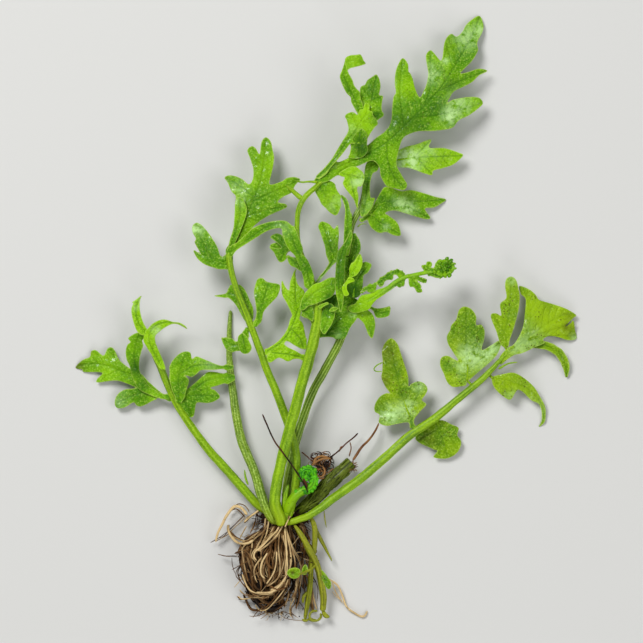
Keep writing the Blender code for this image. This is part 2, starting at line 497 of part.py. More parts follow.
def build_top():
    blade("leaf_small_left", "leaf_green", outlines=[
        [(-5.6, 109.3), (-3.6, 106), (-2, 103), (0, 104), (1.2, 107), (-1, 110), (-3, 110.6)]],
        strokes=[[(3.6, 108.2, 17.4, 0.5), (0.6, 107.2, 17.2, 0.7), (-2, 107.8, 17.0, 1.0)]],
        ribs=[[(-0.4, 107.4, 17.2), (-3, 107.8, 16.8), (-5.4, 109.2, 16.2)]])
    blade("leaf_hanging", "leaf_green", outlines=[
        [(12.2, 134), (13, 130), (14.5, 126.5), (17, 123.5), (20.5, 121.5), (22, 122.5), (22.7, 126),
         (21.5, 129.5), (20.5, 132.5), (18.6, 135)]],
        ribs=[[(15.6, 134, 17.6), (17, 129, 17.4), (19.4, 124, 16.0), (20.8, 121.8, 15.0)]])
    blade("leaf_fold", "leaf_pale", outlines=[
        [(22.2, 137.9), (26, 140), (31, 138.5), (32.5, 136), (31, 133.5), (29, 133), (27, 135), (24.6, 136)]],
        strokes=[[(24.8, 137.2, 20.0, 1.3), (24.8, 133.6, 19.4, 1.3), (27.2, 129, 18.6, 1.4),
                  (29.2, 124.4, 17.0, 1.3), (30, 121, 15.6, 0.5)]],
        ribs=[[(23.6, 137.6, 20.2), (27.6, 137.2, 19.8), (31.6, 136, 18.6)]])
    blade("leaf_top_left", "leaf_green", outlines=[
        [(26.6, 152), (25.5, 157), (25, 161), (27, 162.7), (29.6, 161.8), (31.6, 166), (30, 171), (33, 174.5),
         (35, 176.5), (37, 177.7), (38.5, 175), (38, 169), (39.5, 169), (39.2, 163), (40, 161), (37.6, 159.2),
         (37, 157), (35, 155), (32.4, 151.4), (29.6, 150.8)]],
        strokes=[[(13.4, 137.9, 20.2, 0.6), (18, 142.2, 20.4, 1.0), (21, 146, 20.4, 1.0), (25, 151.5, 20.4, 1.2),
                  (28, 156, 20.4, 1.6)]],
        ribs=[[(28, 155, 20.4), (31.6, 161, 20.2), (34.6, 168, 19.4), (36.6, 176.6, 17.8)],
              [(28, 155, 20.4), (26.4, 161.6, 19.6)], [(31.6, 161, 20.2), (39, 162.6, 19.0)]])
    ribbon("leaf_top_left_curl", "leaf_green", [
        (29.0, 163.4, 22.6, 1.2, 0), (26.6, 168.6, 23.4, 2.0, 10), (24.0, 174.0, 24.0, 2.2, 15),
        (23.4, 178.6, 24.4, 2.0, 20), (25.2, 182.6, 24.4, 1.8, 30), (29.0, 184.6, 23.6, 1.7, 20),
        (32.2, 182.4, 22.4, 0.6, 0)])
    blade("leaf_top_blade", "leaf_green", outlines=[
        [(33.4, 148.2), (36, 151.5), (40, 154.5), (42, 157), (43, 160), (43.2, 164), (43.7, 168.5), (44.7, 170.5),
         (44.3, 174), (44.5, 178), (45.5, 181.5), (47.5, 184.4), (49.6, 182), (49.8, 179), (50.5, 178.3),
         (51.5, 176), (52.5, 172), (54.3, 168.6), (56, 171.5), (57, 174), (57.7, 178), (57.3, 181),
         (56.8, 185.5), (58.5, 187.6), (60, 186.5), (62, 184), (62.8, 183.5), (63.5, 185), (64, 189.5),
         (65, 192.5), (67, 194.3), (69.2, 193.2), (71.5, 195.3), (73, 198), (75.5, 200.3), (78.5, 201.7),
         (80, 198), (79.5, 195), (77.5, 191), (77.8, 188), (77, 186), (75, 183), (72, 180), (70.7, 178.3),
         (74, 179), (78, 180.3), (81.5, 179.5), (78, 177.5), (75.5, 175), (72, 173), (68, 171), (66, 168),
         (65, 166), (67, 167.5), (70, 168.3), (74, 168.9), (78, 168.7), (79.7, 166.5), (78, 164.5),
         (74, 161.5), (70, 159.5), (68, 157), (66, 156), (60, 155.2), (54, 155), (50, 153.8), (47.5, 152),
         (46, 148), (45, 143.4), (45.6, 140), (47, 137), (49, 133.5), (48, 132), (44, 132), (41, 134),
         (39, 138), (38, 142), (35.6, 144.6), (33.8, 145.8)]],
        ribs=[[(34.4, 146.6, 16.4), (41, 150.6, 16.8), (49, 158, 16.4), (56, 165, 15.2), (63, 173, 12.8),
               (70, 184, 8.4), (75, 193, 4.2), (78.6, 201.4, 0.45)],
              [(41, 150.6, 16.8), (41.6, 143, 15.8), (44, 137, 14.4), (48, 132.6, 12.8)],
              [(48, 157, 16.4), (46.4, 170, 15.2), (47.4, 184, 11.8)],
              [(56, 165, 15.2), (58.8, 174, 13.4), (58.4, 187.2, 9.4)],
              [(52, 160.6, 16.0), (62, 161.6, 13.6), (72, 164, 10.6), (79.4, 166.4, 7.2)],
              [(61, 170.6, 13.4), (70, 175, 10.2), (81, 179.4, 6.0)]])
    blade("leaf_top_pale", "leaf_pale", outlines=[
        [(44, 145.5), (48, 148.7), (53, 150), (57, 151.5), (59, 151.7), (58.2, 148.6), (64, 148.5), (70, 146.7),
         (71.7, 145.4), (68, 142), (64, 140.5), (59.9, 139.4), (59.3, 137.7), (57, 138), (50, 140.5), (45.5, 141)]],
        strokes=[[(35.8, 142.2, 10.0, 0.7), (40, 143.2, 9.8, 0.8), (46, 143.8, 9.8, 1.2)]],
        ribs=[[(45, 143.6, 9.8), (52, 144.6, 9.8), (60, 145, 9.0), (71.4, 145.4, 6.6)],
              [(52, 144.6, 9.8), (58.6, 151.4, 8.6)], [(53, 144.6, 9.7), (59, 138.2, 8.6)]])
    blade("leaf_right_mid", "leaf_green", outlines=[
        [(41, 133), (47, 131.3), (51, 131.7), (56, 130.5), (61, 129), (65, 128), (62.5, 126), (60, 124.7),
         (56.5, 124.2), (58.7, 120.7), (57, 120), (53, 121), (48, 122.5), (44, 123.5), (40.5, 122.5),
         (42, 121.3), (45, 119), (46.3, 116.5), (46.7, 113.5), (44, 113.5), (41, 114.8), (38, 114.5),
         (35, 116.5), (33.6, 119.5), (34.6, 122.4), (36.6, 127), (38.8, 131)]],
        strokes=[[(31.2, 119.4, 11.2, 0.7), (34, 121.6, 10.8, 0.9), (38, 125, 9.8, 1.4)]],
        ribs=[[(35, 121.8, 10.6), (40, 126.6, 9.0), (47, 127.6, 6.8), (56, 127.2, 3.6), (64.8, 128, 0.45)],
              [(42, 126.8, 8.4), (50, 124.4, 6.2), (58.2, 120.6, 3.4)],
              [(35.6, 121, 10.4), (39.6, 118, 9.4), (46.2, 114, 7.0)]])


# Right frond

def build_right_frond():
    blade("leaf_right_inner", "leaf_old", outlines=[
        [(42.5, 50.2), (40.5, 53), (39, 56.5), (39.3, 59), (39.5, 63), (39.2, 67), (40.5, 70.5), (43, 72.3),
         (45.5, 70), (46.7, 66.5), (48.5, 61), (49.7, 57), (49.9, 53), (51, 54), (53.5, 55), (56, 54.3),
         (57.5, 52), (56.5, 49.5), (55.3, 47.5), (57, 45.8), (55, 43.5), (53.0, 41.2), (50.5, 39), (48, 38.5),
         (44, 37.7), (41, 37.2), (38, 38.5), (38.3, 41.5), (36.3, 43), (36.5, 46), (38.5, 49), (41, 50.3)]],
        strokes=[[(51.2, 37.2, 7.8, 0.8), (50.9, 40, 8.0, 1.0), (50, 43.6, 8.2, 1.2)]],
        ribs=[[(50.4, 41, 8.1), (48.4, 46, 8.3), (45.8, 55, 8.2), (43.8, 64, 7.4), (42.6, 71.6, 6.2)],
              [(50, 43, 8.2), (53.8, 50, 8.2), (54, 54.6, 7.6)], [(49.6, 43, 8.2), (43, 42, 7.2), (37.6, 43.4, 5.8)]])
    blade("leaf_right_under", "leaf_old", outlines=[
        [(53, 32), (55, 34), (58, 35.6), (61, 38.4), (64, 39.2), (67, 37.8), (70, 36.3), (69.5, 33.5), (71, 31),
         (70.5, 28), (68.5, 25.5), (65, 24), (60, 24.5), (61.5, 27), (60.5, 27.5), (57, 29), (54, 30.5)]],
        ribs=[[(61.6, 37.6, 4.6), (63.6, 32, 3.8), (65.6, 25, 2.2)], [(61.6, 36, 4.5), (54, 31.6, 3.6)],
              [(63.4, 33, 3.9), (70.4, 32.4, 3.0)]])
    blade("leaf_right_upper", "leaf_old", outlines=[
        [(72.2, 53.4), (68, 52.7), (65.5, 54.5), (64, 58), (62.5, 61.5), (63, 64.5), (65.5, 65.3), (68, 64),
         (69.8, 63.4), (67.5, 67), (65.7, 70), (65.2, 73), (66.5, 75.5), (67, 77.5), (69, 80), (70, 83.5),
         (72, 85), (75, 84), (77, 81), (76.9, 77.7), (79, 77.7), (80.3, 75.5), (80.2, 72), (79.2, 67.6),
         (83, 69.5), (86, 71.3), (87, 70), (85.5, 66), (82.6, 62.9), (79.2, 59.9), (75.6, 56.8), (73.4, 54.8)]],
        ribs=[[(73.4, 55.4, 7.8), (73.6, 62, 8.2), (73, 70, 8.4), (73, 84.4, 7.6)],
              [(73.4, 57, 7.9), (69, 58.4, 7.6), (64, 63.6, 6.6)], [(74, 60, 8.0), (80.6, 65, 7.4), (86.2, 70.2, 6.4)]])
    blade("leaf_right_tip", "leaf_old", outlines=[
        [(87.0, 69.4), (85.6, 73), (85, 75), (83, 80), (83, 82), (85, 82.3), (87, 81.5), (86.5, 86), (89, 88.5),
         (88.5, 93), (89, 96), (91, 97), (93, 95.5), (94, 91.5), (94.4, 89), (94.0, 84), (92.3, 77.4),
         (90.4, 71.6), (89.6, 68.6)]],
        ribs=[[(88.4, 69, 8.0), (88.8, 76, 8.8), (90.4, 84, 9.2), (91, 96.4, 8.4)],
              [(88.4, 74, 8.6), (83.8, 81.6, 8.2)]])
    blade("leaf_right_fan", "leaf_old", outlines=[
        [(91.0, 69.2), (94, 73), (96, 78), (96.2, 84), (96.6, 89), (95.2, 91), (95.2, 93.2), (98, 92.5),
         (101, 90.5), (102.5, 88), (108, 86.7), (113, 85), (117, 83.5), (118, 81.5), (114, 78), (116.5, 79.5),
         (117, 75), (117.5, 72.5), (115, 71.7), (110, 71.7), (104, 71.5), (101, 68), (96, 66.5), (92, 65.5),
         (90.5, 66.6)]],
        ribs=[[(91.2, 67.4, 7.8), (97, 72, 7.6), (104, 77, 5.8), (111, 81, 3.8), (117.6, 82.4, 2.2)],
              [(96, 70.6, 7.6), (106, 73, 5.0), (116.8, 73, 0.45)], [(97, 72, 7.6), (99, 82, 6.6), (96.4, 92, 5.6)]])
    ribbon("leaf_right_droop", "leaf_old", [
        (102.6, 67.6, 4.6, 0.6, 0), (106.6, 68.6, 4.6, 1.4, 0), (110.6, 66.0, 4.0, 1.7, 0),
        (113.0, 61.4, 2.6, 1.5, 0), (113.4, 56.6, 1.0, 0.4, 0)])
    blade("leaf_right_hook", "leaf_green", outlines=[
        [(83.7, 56.8), (88, 58), (92, 58.5), (96, 56.5), (100, 53), (102, 50), (104.5, 45.5), (105, 42),
         (104.5, 38.5), (102, 36.5), (103.3, 39), (103.3, 43), (102, 46), (99, 47.5), (96, 50.5), (93.5, 51.5),
         (91, 47.8), (88.5, 48.5), (85, 51.5), (83.4, 54.5)]],
        ribs=[[(84, 56, 6.8), (90, 55, 6.8), (97, 52.6, 5.4), (102.6, 47, 3.2), (104.2, 41, 1.4), (102.4, 36.9, 0.45)],
              [(88, 55, 6.8), (89.6, 48.6, 6.0)]])


# Roots

def build_roots():
    bundle("root_mass", "root_tan", [
        (-5.0, -3.4, 5.5, 5.2, 3.4), (-8.0, -6.4, 10.0, 7.0, 5.4), (-14.0, -7.0, 12.6, 8.0, 8.0),
        (-22.0, -6.4, 11.8, 7.6, 7.4), (-30.0, -5.6, 10.2, 6.0, 5.0), (-37.0, -4.0, 5.4, 3.4, 2.6)])
    tube("root_loop_upper", "root_tan", [
        (-14.8, 1.6, 8.6, 0.6), (-17.2, 4.4, 8.6, 0.6), (-20.0, 4.8, 8.2, 0.6), (-22.6, 1.8, 7.4, 0.6),
        (-24.6, -1.8, 6.4, 0.55), (-26.6, -6.0, 5.0, 0.5), (-27.4, -9.4, 3.6, 0.4)], sides=THIN_SIDES)
    tube("root_long_right", "root_tan", [
        (18.0, -22.6, 2.6, 0.6), (21.4, -26.4, 2.2, 0.6), (23.4, -31.0, 1.8, 0.6), (25.0, -36.0, 1.4, 0.6),
        (29.0, -38.6, 1.0, 0.55), (31.4, -39.4, 0.8, 0.55), (33.2, -37.4, 0.7, 0.5)], sides=THIN_SIDES)
    tube("shoot_front", "shoot_olive", [
        (8.2, -8.6, 10.4, 0.9), (10.4, -13.0, 10.0, 1.0), (13.0, -18.0, 9.0, 1.0), (14.8, -25.0, 7.4, 1.0),
        (15.8, -31.0, 6.0, 1.05), (15.6, -37.2, 4.8, 0.9)], sides=THIN_SIDES)
    tube("shoot_rear", "shoot_olive", [
        (10.2, -10.6, 6.4, 0.8), (11.0, -18.0, 5.8, 0.9), (10.6, -26.0, 4.6, 0.95), (9.6, -33.0, 3.4, 0.95),
        (8.4, -40.4, 2.2, 0.6)], sides=THIN_SIDES)
    tube("shoot_point", "shoot_olive", [
        (11.6, -1.4, 5.4, 0.9), (13.2, -5.4, 5.2, 0.8), (15.6, -10.0, 4.8, 0.7), (19.2, -17.0, 4.0, 0.3)],
        sides=THIN_SIDES)
    blade("root_leaflet_front", "leaf_pale", outlines=[
        [(1.2, -21.4), (2.2, -20.2), (4.2, -19.7), (6.2, -20.4), (6.8, -21.8), (5.4, -23.5), (3.2, -23.4)]],
        ribs=[[(1.6, -21.4, 16.2), (4.2, -21.6, 16.4), (6.6, -21.8, 16.2)]])
    blade("root_leaflet_side", "leaf_pale", outlines=[
        [(16.4, -21.4), (18.2, -23.4), (19.2, -26.4), (18.6, -28.6), (17.4, -27.4), (16.6, -24.8)]],
        ribs=[[(16.8, -22, 8.6), (18.2, -25.6, 8.2), (18.6, -28.2, 7.6)]])


# All

def place_on_origin():
    """Move every mesh so that the footprint is centred and the lowest point is at 0."""
    low = [1e9, 1e9, 1e9]
    high = [-1e9, -1e9, -1e9]
    objects = [o for o in bpy.context.scene.objects if o.type == "MESH"]
    for obj in objects:
        for v in obj.data.vertices:
            for k in range(3):
                low[k] = min(low[k], v.co[k])
                high[k] = max(high[k], v.co[k])
    shift = Vector(((low[0] + high[0]) / 2, (low[1] + high[1]) / 2, low[2]))
    for obj in objects:
        for v in obj.data.vertices:
            v.co -= shift


def build_all():
    for obj in list(bpy.data.objects):
        bpy.data.objects.remove(obj)
    build_base()
    build_stems()
    build_left_frond()
    build_mid_frond()
    build_fork()
    build_top()
    build_right_frond()
    build_roots()
    place_on_origin()


build_all()
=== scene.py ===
"""Broad leaf water sprite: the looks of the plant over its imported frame.

The tables hold millimetres in the frame of the crown: x to the right, y towards the
leaf tips, z up from the surface that the plant lies on. The crown node says where
that frame lies in the model.
"""

import json
import math
import random

import bpy
import bmesh
import numpy as np
from mathutils import Matrix, Vector, noise


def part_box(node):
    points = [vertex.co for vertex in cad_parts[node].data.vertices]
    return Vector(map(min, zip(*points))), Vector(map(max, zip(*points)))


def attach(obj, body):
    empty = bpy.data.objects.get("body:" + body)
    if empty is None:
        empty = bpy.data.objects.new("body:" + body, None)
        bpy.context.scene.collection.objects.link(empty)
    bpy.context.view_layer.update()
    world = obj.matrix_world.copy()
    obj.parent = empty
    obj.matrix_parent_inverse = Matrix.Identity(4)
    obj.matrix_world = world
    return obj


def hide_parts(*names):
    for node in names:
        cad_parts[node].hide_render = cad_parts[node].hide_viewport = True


bl_info = {
    "name": "Broad leaf water sprite",
    "version": (1, 0, 0),
    "blender": (4, 5, 0),
    "location": "View3D > Sidebar > Sprite",
    "description": "Leaves, stalks and roots of a bare-root water fern that lies on a surface",
    "category": "Add Mesh",
}

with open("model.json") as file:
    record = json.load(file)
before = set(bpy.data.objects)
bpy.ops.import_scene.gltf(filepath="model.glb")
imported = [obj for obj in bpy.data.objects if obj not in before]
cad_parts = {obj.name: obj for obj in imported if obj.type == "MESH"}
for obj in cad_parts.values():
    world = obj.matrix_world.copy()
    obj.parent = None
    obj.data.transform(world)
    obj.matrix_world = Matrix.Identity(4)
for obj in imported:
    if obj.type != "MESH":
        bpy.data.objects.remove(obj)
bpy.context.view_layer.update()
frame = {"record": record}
SLOTS = {part["node"]: part["material_slot"] for part in frame["record"]["subparts"]}

noise.seed_set(5)     # without it, noise_vector starts from the clock

MM = 0.001
CROWN_AT = (0.0, 0.2, 4.5)     # mm, middle of the crown node in the frame of the tables

crown_low, crown_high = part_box("crown")
ORIGIN = (Vector(crown_low) + Vector(crown_high)) / 2 - Vector(CROWN_AT) * MM

VIEW_AT = (15.0, 79.0, 8.0)    # mm, the point of the plant in the middle of the photograph
VIEW_WIDTH = 0.2572            # m of the plant's plane that the photograph's width takes in
PLANE_HEIGHT = 0.012           # m, the plant's plane over the floor
CAMERA_ABOVE = 3.0             # m from that plane up to the camera
SENSOR = 36.0                  # mm
FLOOR_HALF = 2.5               # m
WORLD_LIGHT = 0.24
# Lamps: name, place from the middle of the view in m, size in m, power in W
LIGHTS = (("key", (-0.6, 0.8, 1.25), 0.7, 21), ("fill", (0.9, -0.2, 1.2), 1.0, 6),
          ("low", (0.1, -1.1, 0.7), 0.8, 4))


def reader(width):
    """Takes a run of numbers as points of so many numbers each."""
    return lambda *numbers: np.array(numbers, float).reshape(-1, width)


xy = reader(2)
xyz = reader(3)
xyzr = reader(4)       # with a radius or half width
xyzwt = reader(5)      # with a half width and a turn in degrees


# Leaflets: outlines (x, y) and lobes (strokes: x, y, z, half width) of each sheet of blade, the ribs that
# carry its height (x, y, z), and patches of colour: x, y, radius, kind, strength. Kind 0 is pale painted
# sheen, kind 1 is dark painted shade (painted light where the strength is below 0), kind 2 is brown spots
LEAFLETS = {
    "leaf_left_outer": dict(sheets=[dict(outlines=[xy(-83.8, 60.5, -81, 63.5, -78, 64.8, -77.5, 67,
      -75.5, 67.5, -72.5, 65.3, -71, 68, -69.5, 68.7, -68, 67.5, -66, 63.5, -62.3, 60.5, -59.5, 59,
      -56.4, 56.5, -55.6, 52.6, -59.5, 52.8, -67, 55.3, -74.7, 54.5, -75, 56, -73, 58.5, -80.3, 58.7,
      -81, 59.7), xy(-53, 52.4, -56, 53.8, -59.5, 52.2, -64, 51.7, -67, 49.5, -68, 46.5, -67, 44.3, -64, 44.5,
      -60.5, 46.5, -59, 45.2, -57, 45, -53.5, 46.8, -50.5, 48.8)], strokes=[xyzr(-46.4, 48.1, 5.2, 0.8,
      -50, 49.8, 5.3, 1, -54.5, 53, 5.2, 1.5, -58, 56, 5, 1.8)], ribs=[xyz(-58, 56, 5, -65, 59, 4.2,
      -72, 61.6, 2.8, -79, 62, 1.3, -83.7, 60.8, 0.45), xyz(-54, 51.4, 5.2, -60, 49.6, 4.3, -66.5, 46.5, 3)]),
      dict(outlines=[xy(-61.8, 61, -63.1, 63.9, -63.4, 67.2, -62.7, 69.7, -61.5, 70.8, -62.4, 72.2,
      -60.8, 73.6, -58.6, 74.6, -56.1, 74.3, -55.8, 72.7, -56.8, 71.3, -56.4, 69.3, -57.4, 66.1, -58, 62.5,
      -57.8, 59.2, -56.4, 56.4, -53.9, 53.1, -49.6, 50.4, -46.2, 48.9, -48, 47.8, -53.4, 49.4, -58.2, 52,
      -60.8, 56.7)], ribs=[xyz(-47, 49.4, 5.8, -54, 54.4, 6.6, -58.8, 59.6, 7.4, -60, 66, 8.4,
      -58.4, 73, 9.6)], patches=[(-59.2, 60.4, 3.6, 1, 0.9), (-55.4, 54, 3, 1, 0.5), (-60, 69, 4, 1, -0.2)],
      foot=0)], patches=[(-83, 61, 3, 2, 0.6), (-77, 67.2, 1.8, 2, 0.4), (-71, 60, 6, 1, -0.4),
      (-66, 47, 3.6, 0, 0.3), (-56, 51, 4, 1, 0.3)]),
    "leaf_left_fold": dict(outlines=[xy(-43.6, 51, -45, 56, -45.5, 61, -44.5, 63.5, -42, 66, -39.5, 67,
      -37.5, 66.5, -36.8, 64, -35, 65, -31, 63.5, -26, 61.5, -20.5, 60.7, -27, 59.7, -33, 59.5, -35, 58,
      -37, 56.8, -40.3, 57.3, -41.6, 51), xy(-45.6, 61, -44.6, 55.3, -43.1, 49.5, -42.6, 46.8, -40.4, 47.6,
      -39.2, 51.3, -38.1, 55.3, -39.5, 56.9, -41, 57.8, -43.1, 59.8)], ribs=[xyz(-42.6, 51, 8, -42, 58, 9.2,
      -40.5, 63, 9.8), xyz(-42, 58, 9.2, -34, 61.6, 9.6, -20.6, 60.7, 8.6), xyz(-42.2, 47.2, 6.6,
      -42.2, 52, 8.2, -42.4, 59, 9.1)], patches=[(-44, 58, 4, 1, -0.3), (-40, 55, 2.4, 1, 0.5),
      (-30, 62, 3, 0, 0.3)]),
    "leaf_left_inner": dict(outlines=[xy(-40.6, 47.6, -41.4, 49.8, -39.4, 51.6, -38, 52.4, -35, 55, -32, 57.8,
      -29, 58.9, -20.3, 57, -22, 55, -26, 53.5, -29.5, 52.4, -27.5, 51.3, -25.7, 48.8, -28, 47, -31, 46.3,
      -36, 46.8, -38.6, 46.4), xy(-42.4, 48.8, -39.5, 51, -36.6, 52.4, -33.8, 51, -35.2, 46.6, -35.9, 42.3,
      -36.6, 41.1, -38.8, 42.7, -41.3, 45.2)], strokes=[xyzr(-39.8, 48.4, 5.6, 1.4, -38.8, 45, 5.2, 1.4,
      -37.6, 41.2, 4.6, 0.4)], ribs=[xyz(-40.6, 48.6, 5.8, -35, 52.6, 6.4, -30, 55.6, 6.6, -20.6, 56.8, 6.4),
      xyz(-38, 49.2, 5.9, -32, 49.4, 5.9, -26, 49, 5.6), xyz(-40, 47, 6.2, -37, 43, 5.8)],
      patches=[(-35, 53, 2.2, 1, 0.4), (-27, 56, 4, 1, -0.4), (-36.4, 46, 3, 1, 0.3)]),
    "leaf_mid_top": dict(sheets=[dict(outlines=[xy(-22.8, 107, -21.5, 111, -20, 116, -19.5, 120, -19.7, 125,
      -19.3, 129, -21, 131, -22.5, 134.5, -23.8, 136.5, -22, 137.5, -19, 137, -16.5, 135.8, -14, 133.9,
      -12.5, 136, -12.3, 140, -13.5, 144, -14.7, 147.5, -13, 149.2, -11.3, 148.3, -9.8, 146, -9, 151,
      -7.2, 152.8, -5.3, 151, -4.5, 147.5, -4, 145, -4.3, 141.5, -5, 138, -5.7, 133.8, -1, 135, 1, 136.3,
      4, 136.8, 6.5, 135.8, 4.5, 133.5, 3, 130.5, 0, 129, -2.5, 126.8, 0.5, 126, 1.3, 125, 0, 124, -3, 122.7,
      -7, 120.8, -11, 118, -13.7, 115, -17.5, 110, -20.4, 106.8)], ribs=[xyz(-21.5, 107.4, 16,
      -18.5, 113, 15.8, -15, 121, 15.2, -12, 128, 14.2, -9.5, 135, 12.8, -8, 143, 10.8, -7.2, 152.6, 8),
      xyz(-12.5, 127, 14.2, -5, 130.5, 14, 1, 133, 13.4, 6.2, 135.8, 12.6), xyz(-12.5, 129, 14,
      -17.5, 133, 12.6, -23.4, 136.6, 10.8), xyz(-15, 121, 15.2, -8, 123.2, 15, 1, 125, 14.4)]),
      dict(outlines=[xy(-22.4, 106.6, -21.8, 111, -20.2, 116.4, -19.8, 121, -19.4, 126.6, -18.4, 128.6,
      -16.4, 128, -15.4, 126, -14.8, 124, -15.2, 121, -17, 116, -19.4, 110.4, -21, 106.4)],
      ribs=[xyz(-21.7, 107, 16.8, -19.6, 114, 17, -17.6, 121, 16.8, -17.6, 128, 15.6)],
      patches=[(-18, 122, 4, 1, -0.3), (-17, 127, 3, 0, 0.2)], grow=False, foot=0)],
      patches=[(-19, 131, 4, 0, 0.4), (-14, 124, 4, 1, 0.4), (-8, 144, 6, 1, -0.35), (-1, 132, 5, 1, -0.35),
      (-16, 126, 2, 1, 0.5), (-9, 124, 3, 1, -0.3), (-16, 118, 6, 1, -0.35), (-9, 136, 5, 1, -0.25)]),
    "leaf_mid_arch": dict(sheets=[dict(outlines=[xy(-20.7, 109.6, -18.9, 110.5, -14.8, 114.2, -12, 116.5,
      -7.4, 118.3, -2.8, 119.2, 0.9, 119, 3.2, 117, 4.6, 114.2, 5.9, 110.5, 6.9, 107.8, 6.4, 105.5,
      8.2, 104.1, 10.1, 101.3, 11.2, 97.6, 11.7, 94.4, 10.5, 92.1, 8.2, 93, 7.8, 96.7, 6.4, 101.3, 4.6, 105,
      2.3, 107.3, 0.9, 109.6, -0.5, 113.3, -1, 116, -4.2, 115.9, -7.4, 114.7, -11.1, 112.4, -14.8, 110.1,
      -18.4, 107.8, -21.2, 105.5, -22.4, 106.4)], ribs=[xyz(-21, 107, 17, -14, 112, 19, -7, 116.6, 21.2,
      -0.6, 117.8, 22.6, 2.8, 113.6, 23, 5, 107.6, 22.6, 8.6, 101, 22.4, 10.6, 93.4, 21.6)],
      patches=[(-17, 109, 4, 1, -0.3), (0, 117, 4, 0, 0.2), (4.6, 108, 4, 1, 0.3), (8, 100, 5, 1, 0.3)],
      foot=0), dict(outlines=[xy(-5.4, 112.8, -2.8, 114.2, 0, 112.8, 1.3, 110.1, 2.3, 107.8, 0.9, 105.9,
      1.3, 104.5, 0, 103, -1.7, 102.7, -3, 104.5, -4.2, 106.8, -5.6, 108.2, -5.4, 108.9, -2.8, 108.2,
      -1, 108.5, -2.8, 110.5, -4.2, 111.6)], ribs=[xyz(1.6, 107, 20, -1, 109.4, 19.4, -4.6, 112.8, 18.6),
      xyz(0, 107, 19.6, -1.2, 103.4, 18.4)], patches=[(-1, 109, 4, 1, 0.5)], foot=0),
      dict(outlines=[xy(1.3, 105.5, 3.2, 104.8, 5.5, 104.1, 6.9, 101.8, 7.8, 99.9, 6.4, 99.3, 4.6, 100.4,
      2.7, 101.3, 1.6, 103.2)], ribs=[xyz(2, 104.4, 19.6, 4.6, 102.6, 19.8, 7.2, 100, 19.8)], foot=0)],
      patches=[(-17, 109, 4, 1, -0.3), (0, 117, 4, 0, 0.3), (7, 104, 5, 1, 0.3), (9.8, 97, 4, 1, -0.3)]),
    "leaf_mid_outer": dict(kind="green", outlines=[xy(-23.9, 104, -25.5, 105.4, -26.5, 108.5, -28.5, 112,
      -31, 115.5, -33.5, 118, -35.3, 118.5, -36.7, 117, -36.5, 114.5, -35.2, 112, -35.7, 110.5, -33.3, 106,
      -35.8, 107.5, -36, 106.5, -34, 103.5, -31, 101.5, -27, 100.3, -23.6, 100.6), xy(-26.7, 102.7,
      -24.4, 104.1, -22.1, 105.5, -20.7, 105.2, -21.2, 102.7, -23, 100.4, -26.7, 100.4)],
      ribs=[xyz(-24, 102.2, 15.6, -29, 104.8, 15.2, -32, 109.6, 14, -35, 117, 11.6), xyz(-21, 104.2, 16,
      -26, 101.8, 15.4)], patches=[(-35.4, 116.4, 3, 0, 1), (-30, 106, 4, 1, 0.3)]),
    "leaf_mid_behind": dict(outlines=[xy(-28, 89.3, -23.4, 90.2, -22.4, 92, -21, 93.3, -17, 93, -15, 90.5,
      -13.5, 87, -12.3, 84, -12.6, 81, -14.6, 79.4, -16.4, 81.5, -19, 85.5, -22, 88.3, -24, 88.5)],
      ribs=[xyz(-14.2, 80.4, 11.4, -16.5, 86, 11.4, -20, 90, 11.2, -27.8, 89.3, 10.2)]),
    "leaf_mid_right": dict(outlines=[xy(-11.2, 77.1, -9, 79, -8, 83, -5, 86.5, -2.5, 89.3, -1.6, 93.5,
      -5, 94.5, -7, 95, -8.5, 96.3, -10.5, 96, -11.5, 93.5, -12, 90.5, -11.4, 86.5, -11, 82.5, -11.6, 78.4)],
      ribs=[xyz(-11.4, 77.6, 14.6, -10, 82, 15.2, -8, 88, 15.6, -6.5, 93.5, 15.2)]),
    "leaf_mid_low": dict(sheets=[dict(outlines=[xy(-15, 76.4, -16.5, 75, -17.6, 72.6, -19, 71, -21, 71.6,
      -23, 71.8, -25, 72.6, -24.4, 70.4, -22.4, 68.2, -20, 67.2, -17.6, 67.2, -15.6, 66.8, -14.4, 68.6,
      -14.4, 75)], ribs=[xyz(-14.8, 75.6, 13, -16.2, 71, 12.2, -20, 69.6, 10.6, -24.8, 72, 9.4)]),
      dict(outlines=[xy(-18.5, 71.6, -18.2, 73.2, -16.6, 74.4, -15, 73.2, -13.6, 70.6, -12.9, 68.4,
      -13.9, 66.6, -15.7, 66, -17.4, 67, -18.3, 69.4)], ribs=[xyz(-16.6, 74, 13.8, -15.9, 70.4, 14,
      -15, 66.8, 12.6)], patches=[(-16.8, 71, 2, 1, 0.4), (-14.2, 69, 2, 1, -0.4)], grow=False, foot=0)]),
    "leaf_mid_inner": dict(outlines=[xy(3.6, 81.5, 1, 86.5, -0.8, 90, -0.9, 95.5, 0.5, 93, 2, 91.5, 2.5, 95,
      4, 99, 5, 100, 4.6, 98, 5.5, 94, 8, 91.5, 8, 89, 6.8, 84, 6, 80.5), xy(3, 80.5, 7, 79, 8.3, 75, 8.8, 70,
      7.5, 68, 5, 69, 2.5, 70.6, 1, 72, 2, 76), xy(-6, 65.7, -5.2, 62.8, -2, 64.5, 1.5, 63, 4, 64, 8.3, 64.2,
      6, 66.5, 2, 68.5, -1.5, 70)], strokes=[xyzr(-6.6, 67.2, 12.2, 0.9, -2, 70, 12.4, 1.1,
      1.5, 74, 12.8, 1.1, 4, 79, 13.2, 1.2, 5.2, 83, 13.2, 1.2)], ribs=[xyz(5, 83, 13.2, 4.6, 90, 13,
      4.6, 99, 12.2), xyz(3, 76, 13, 6.6, 72, 12.6, 7.6, 69, 12.2), xyz(-4.6, 66.6, 12.2, 2, 65.8, 12,
      8, 64.4, 11.4)]),
    "leaf_fork_base": dict(outlines=[xy(6.8, 81.5, 11, 79.3, 13.4, 76, 15, 73, 18, 72.8, 23, 72.4, 24.4, 73.6,
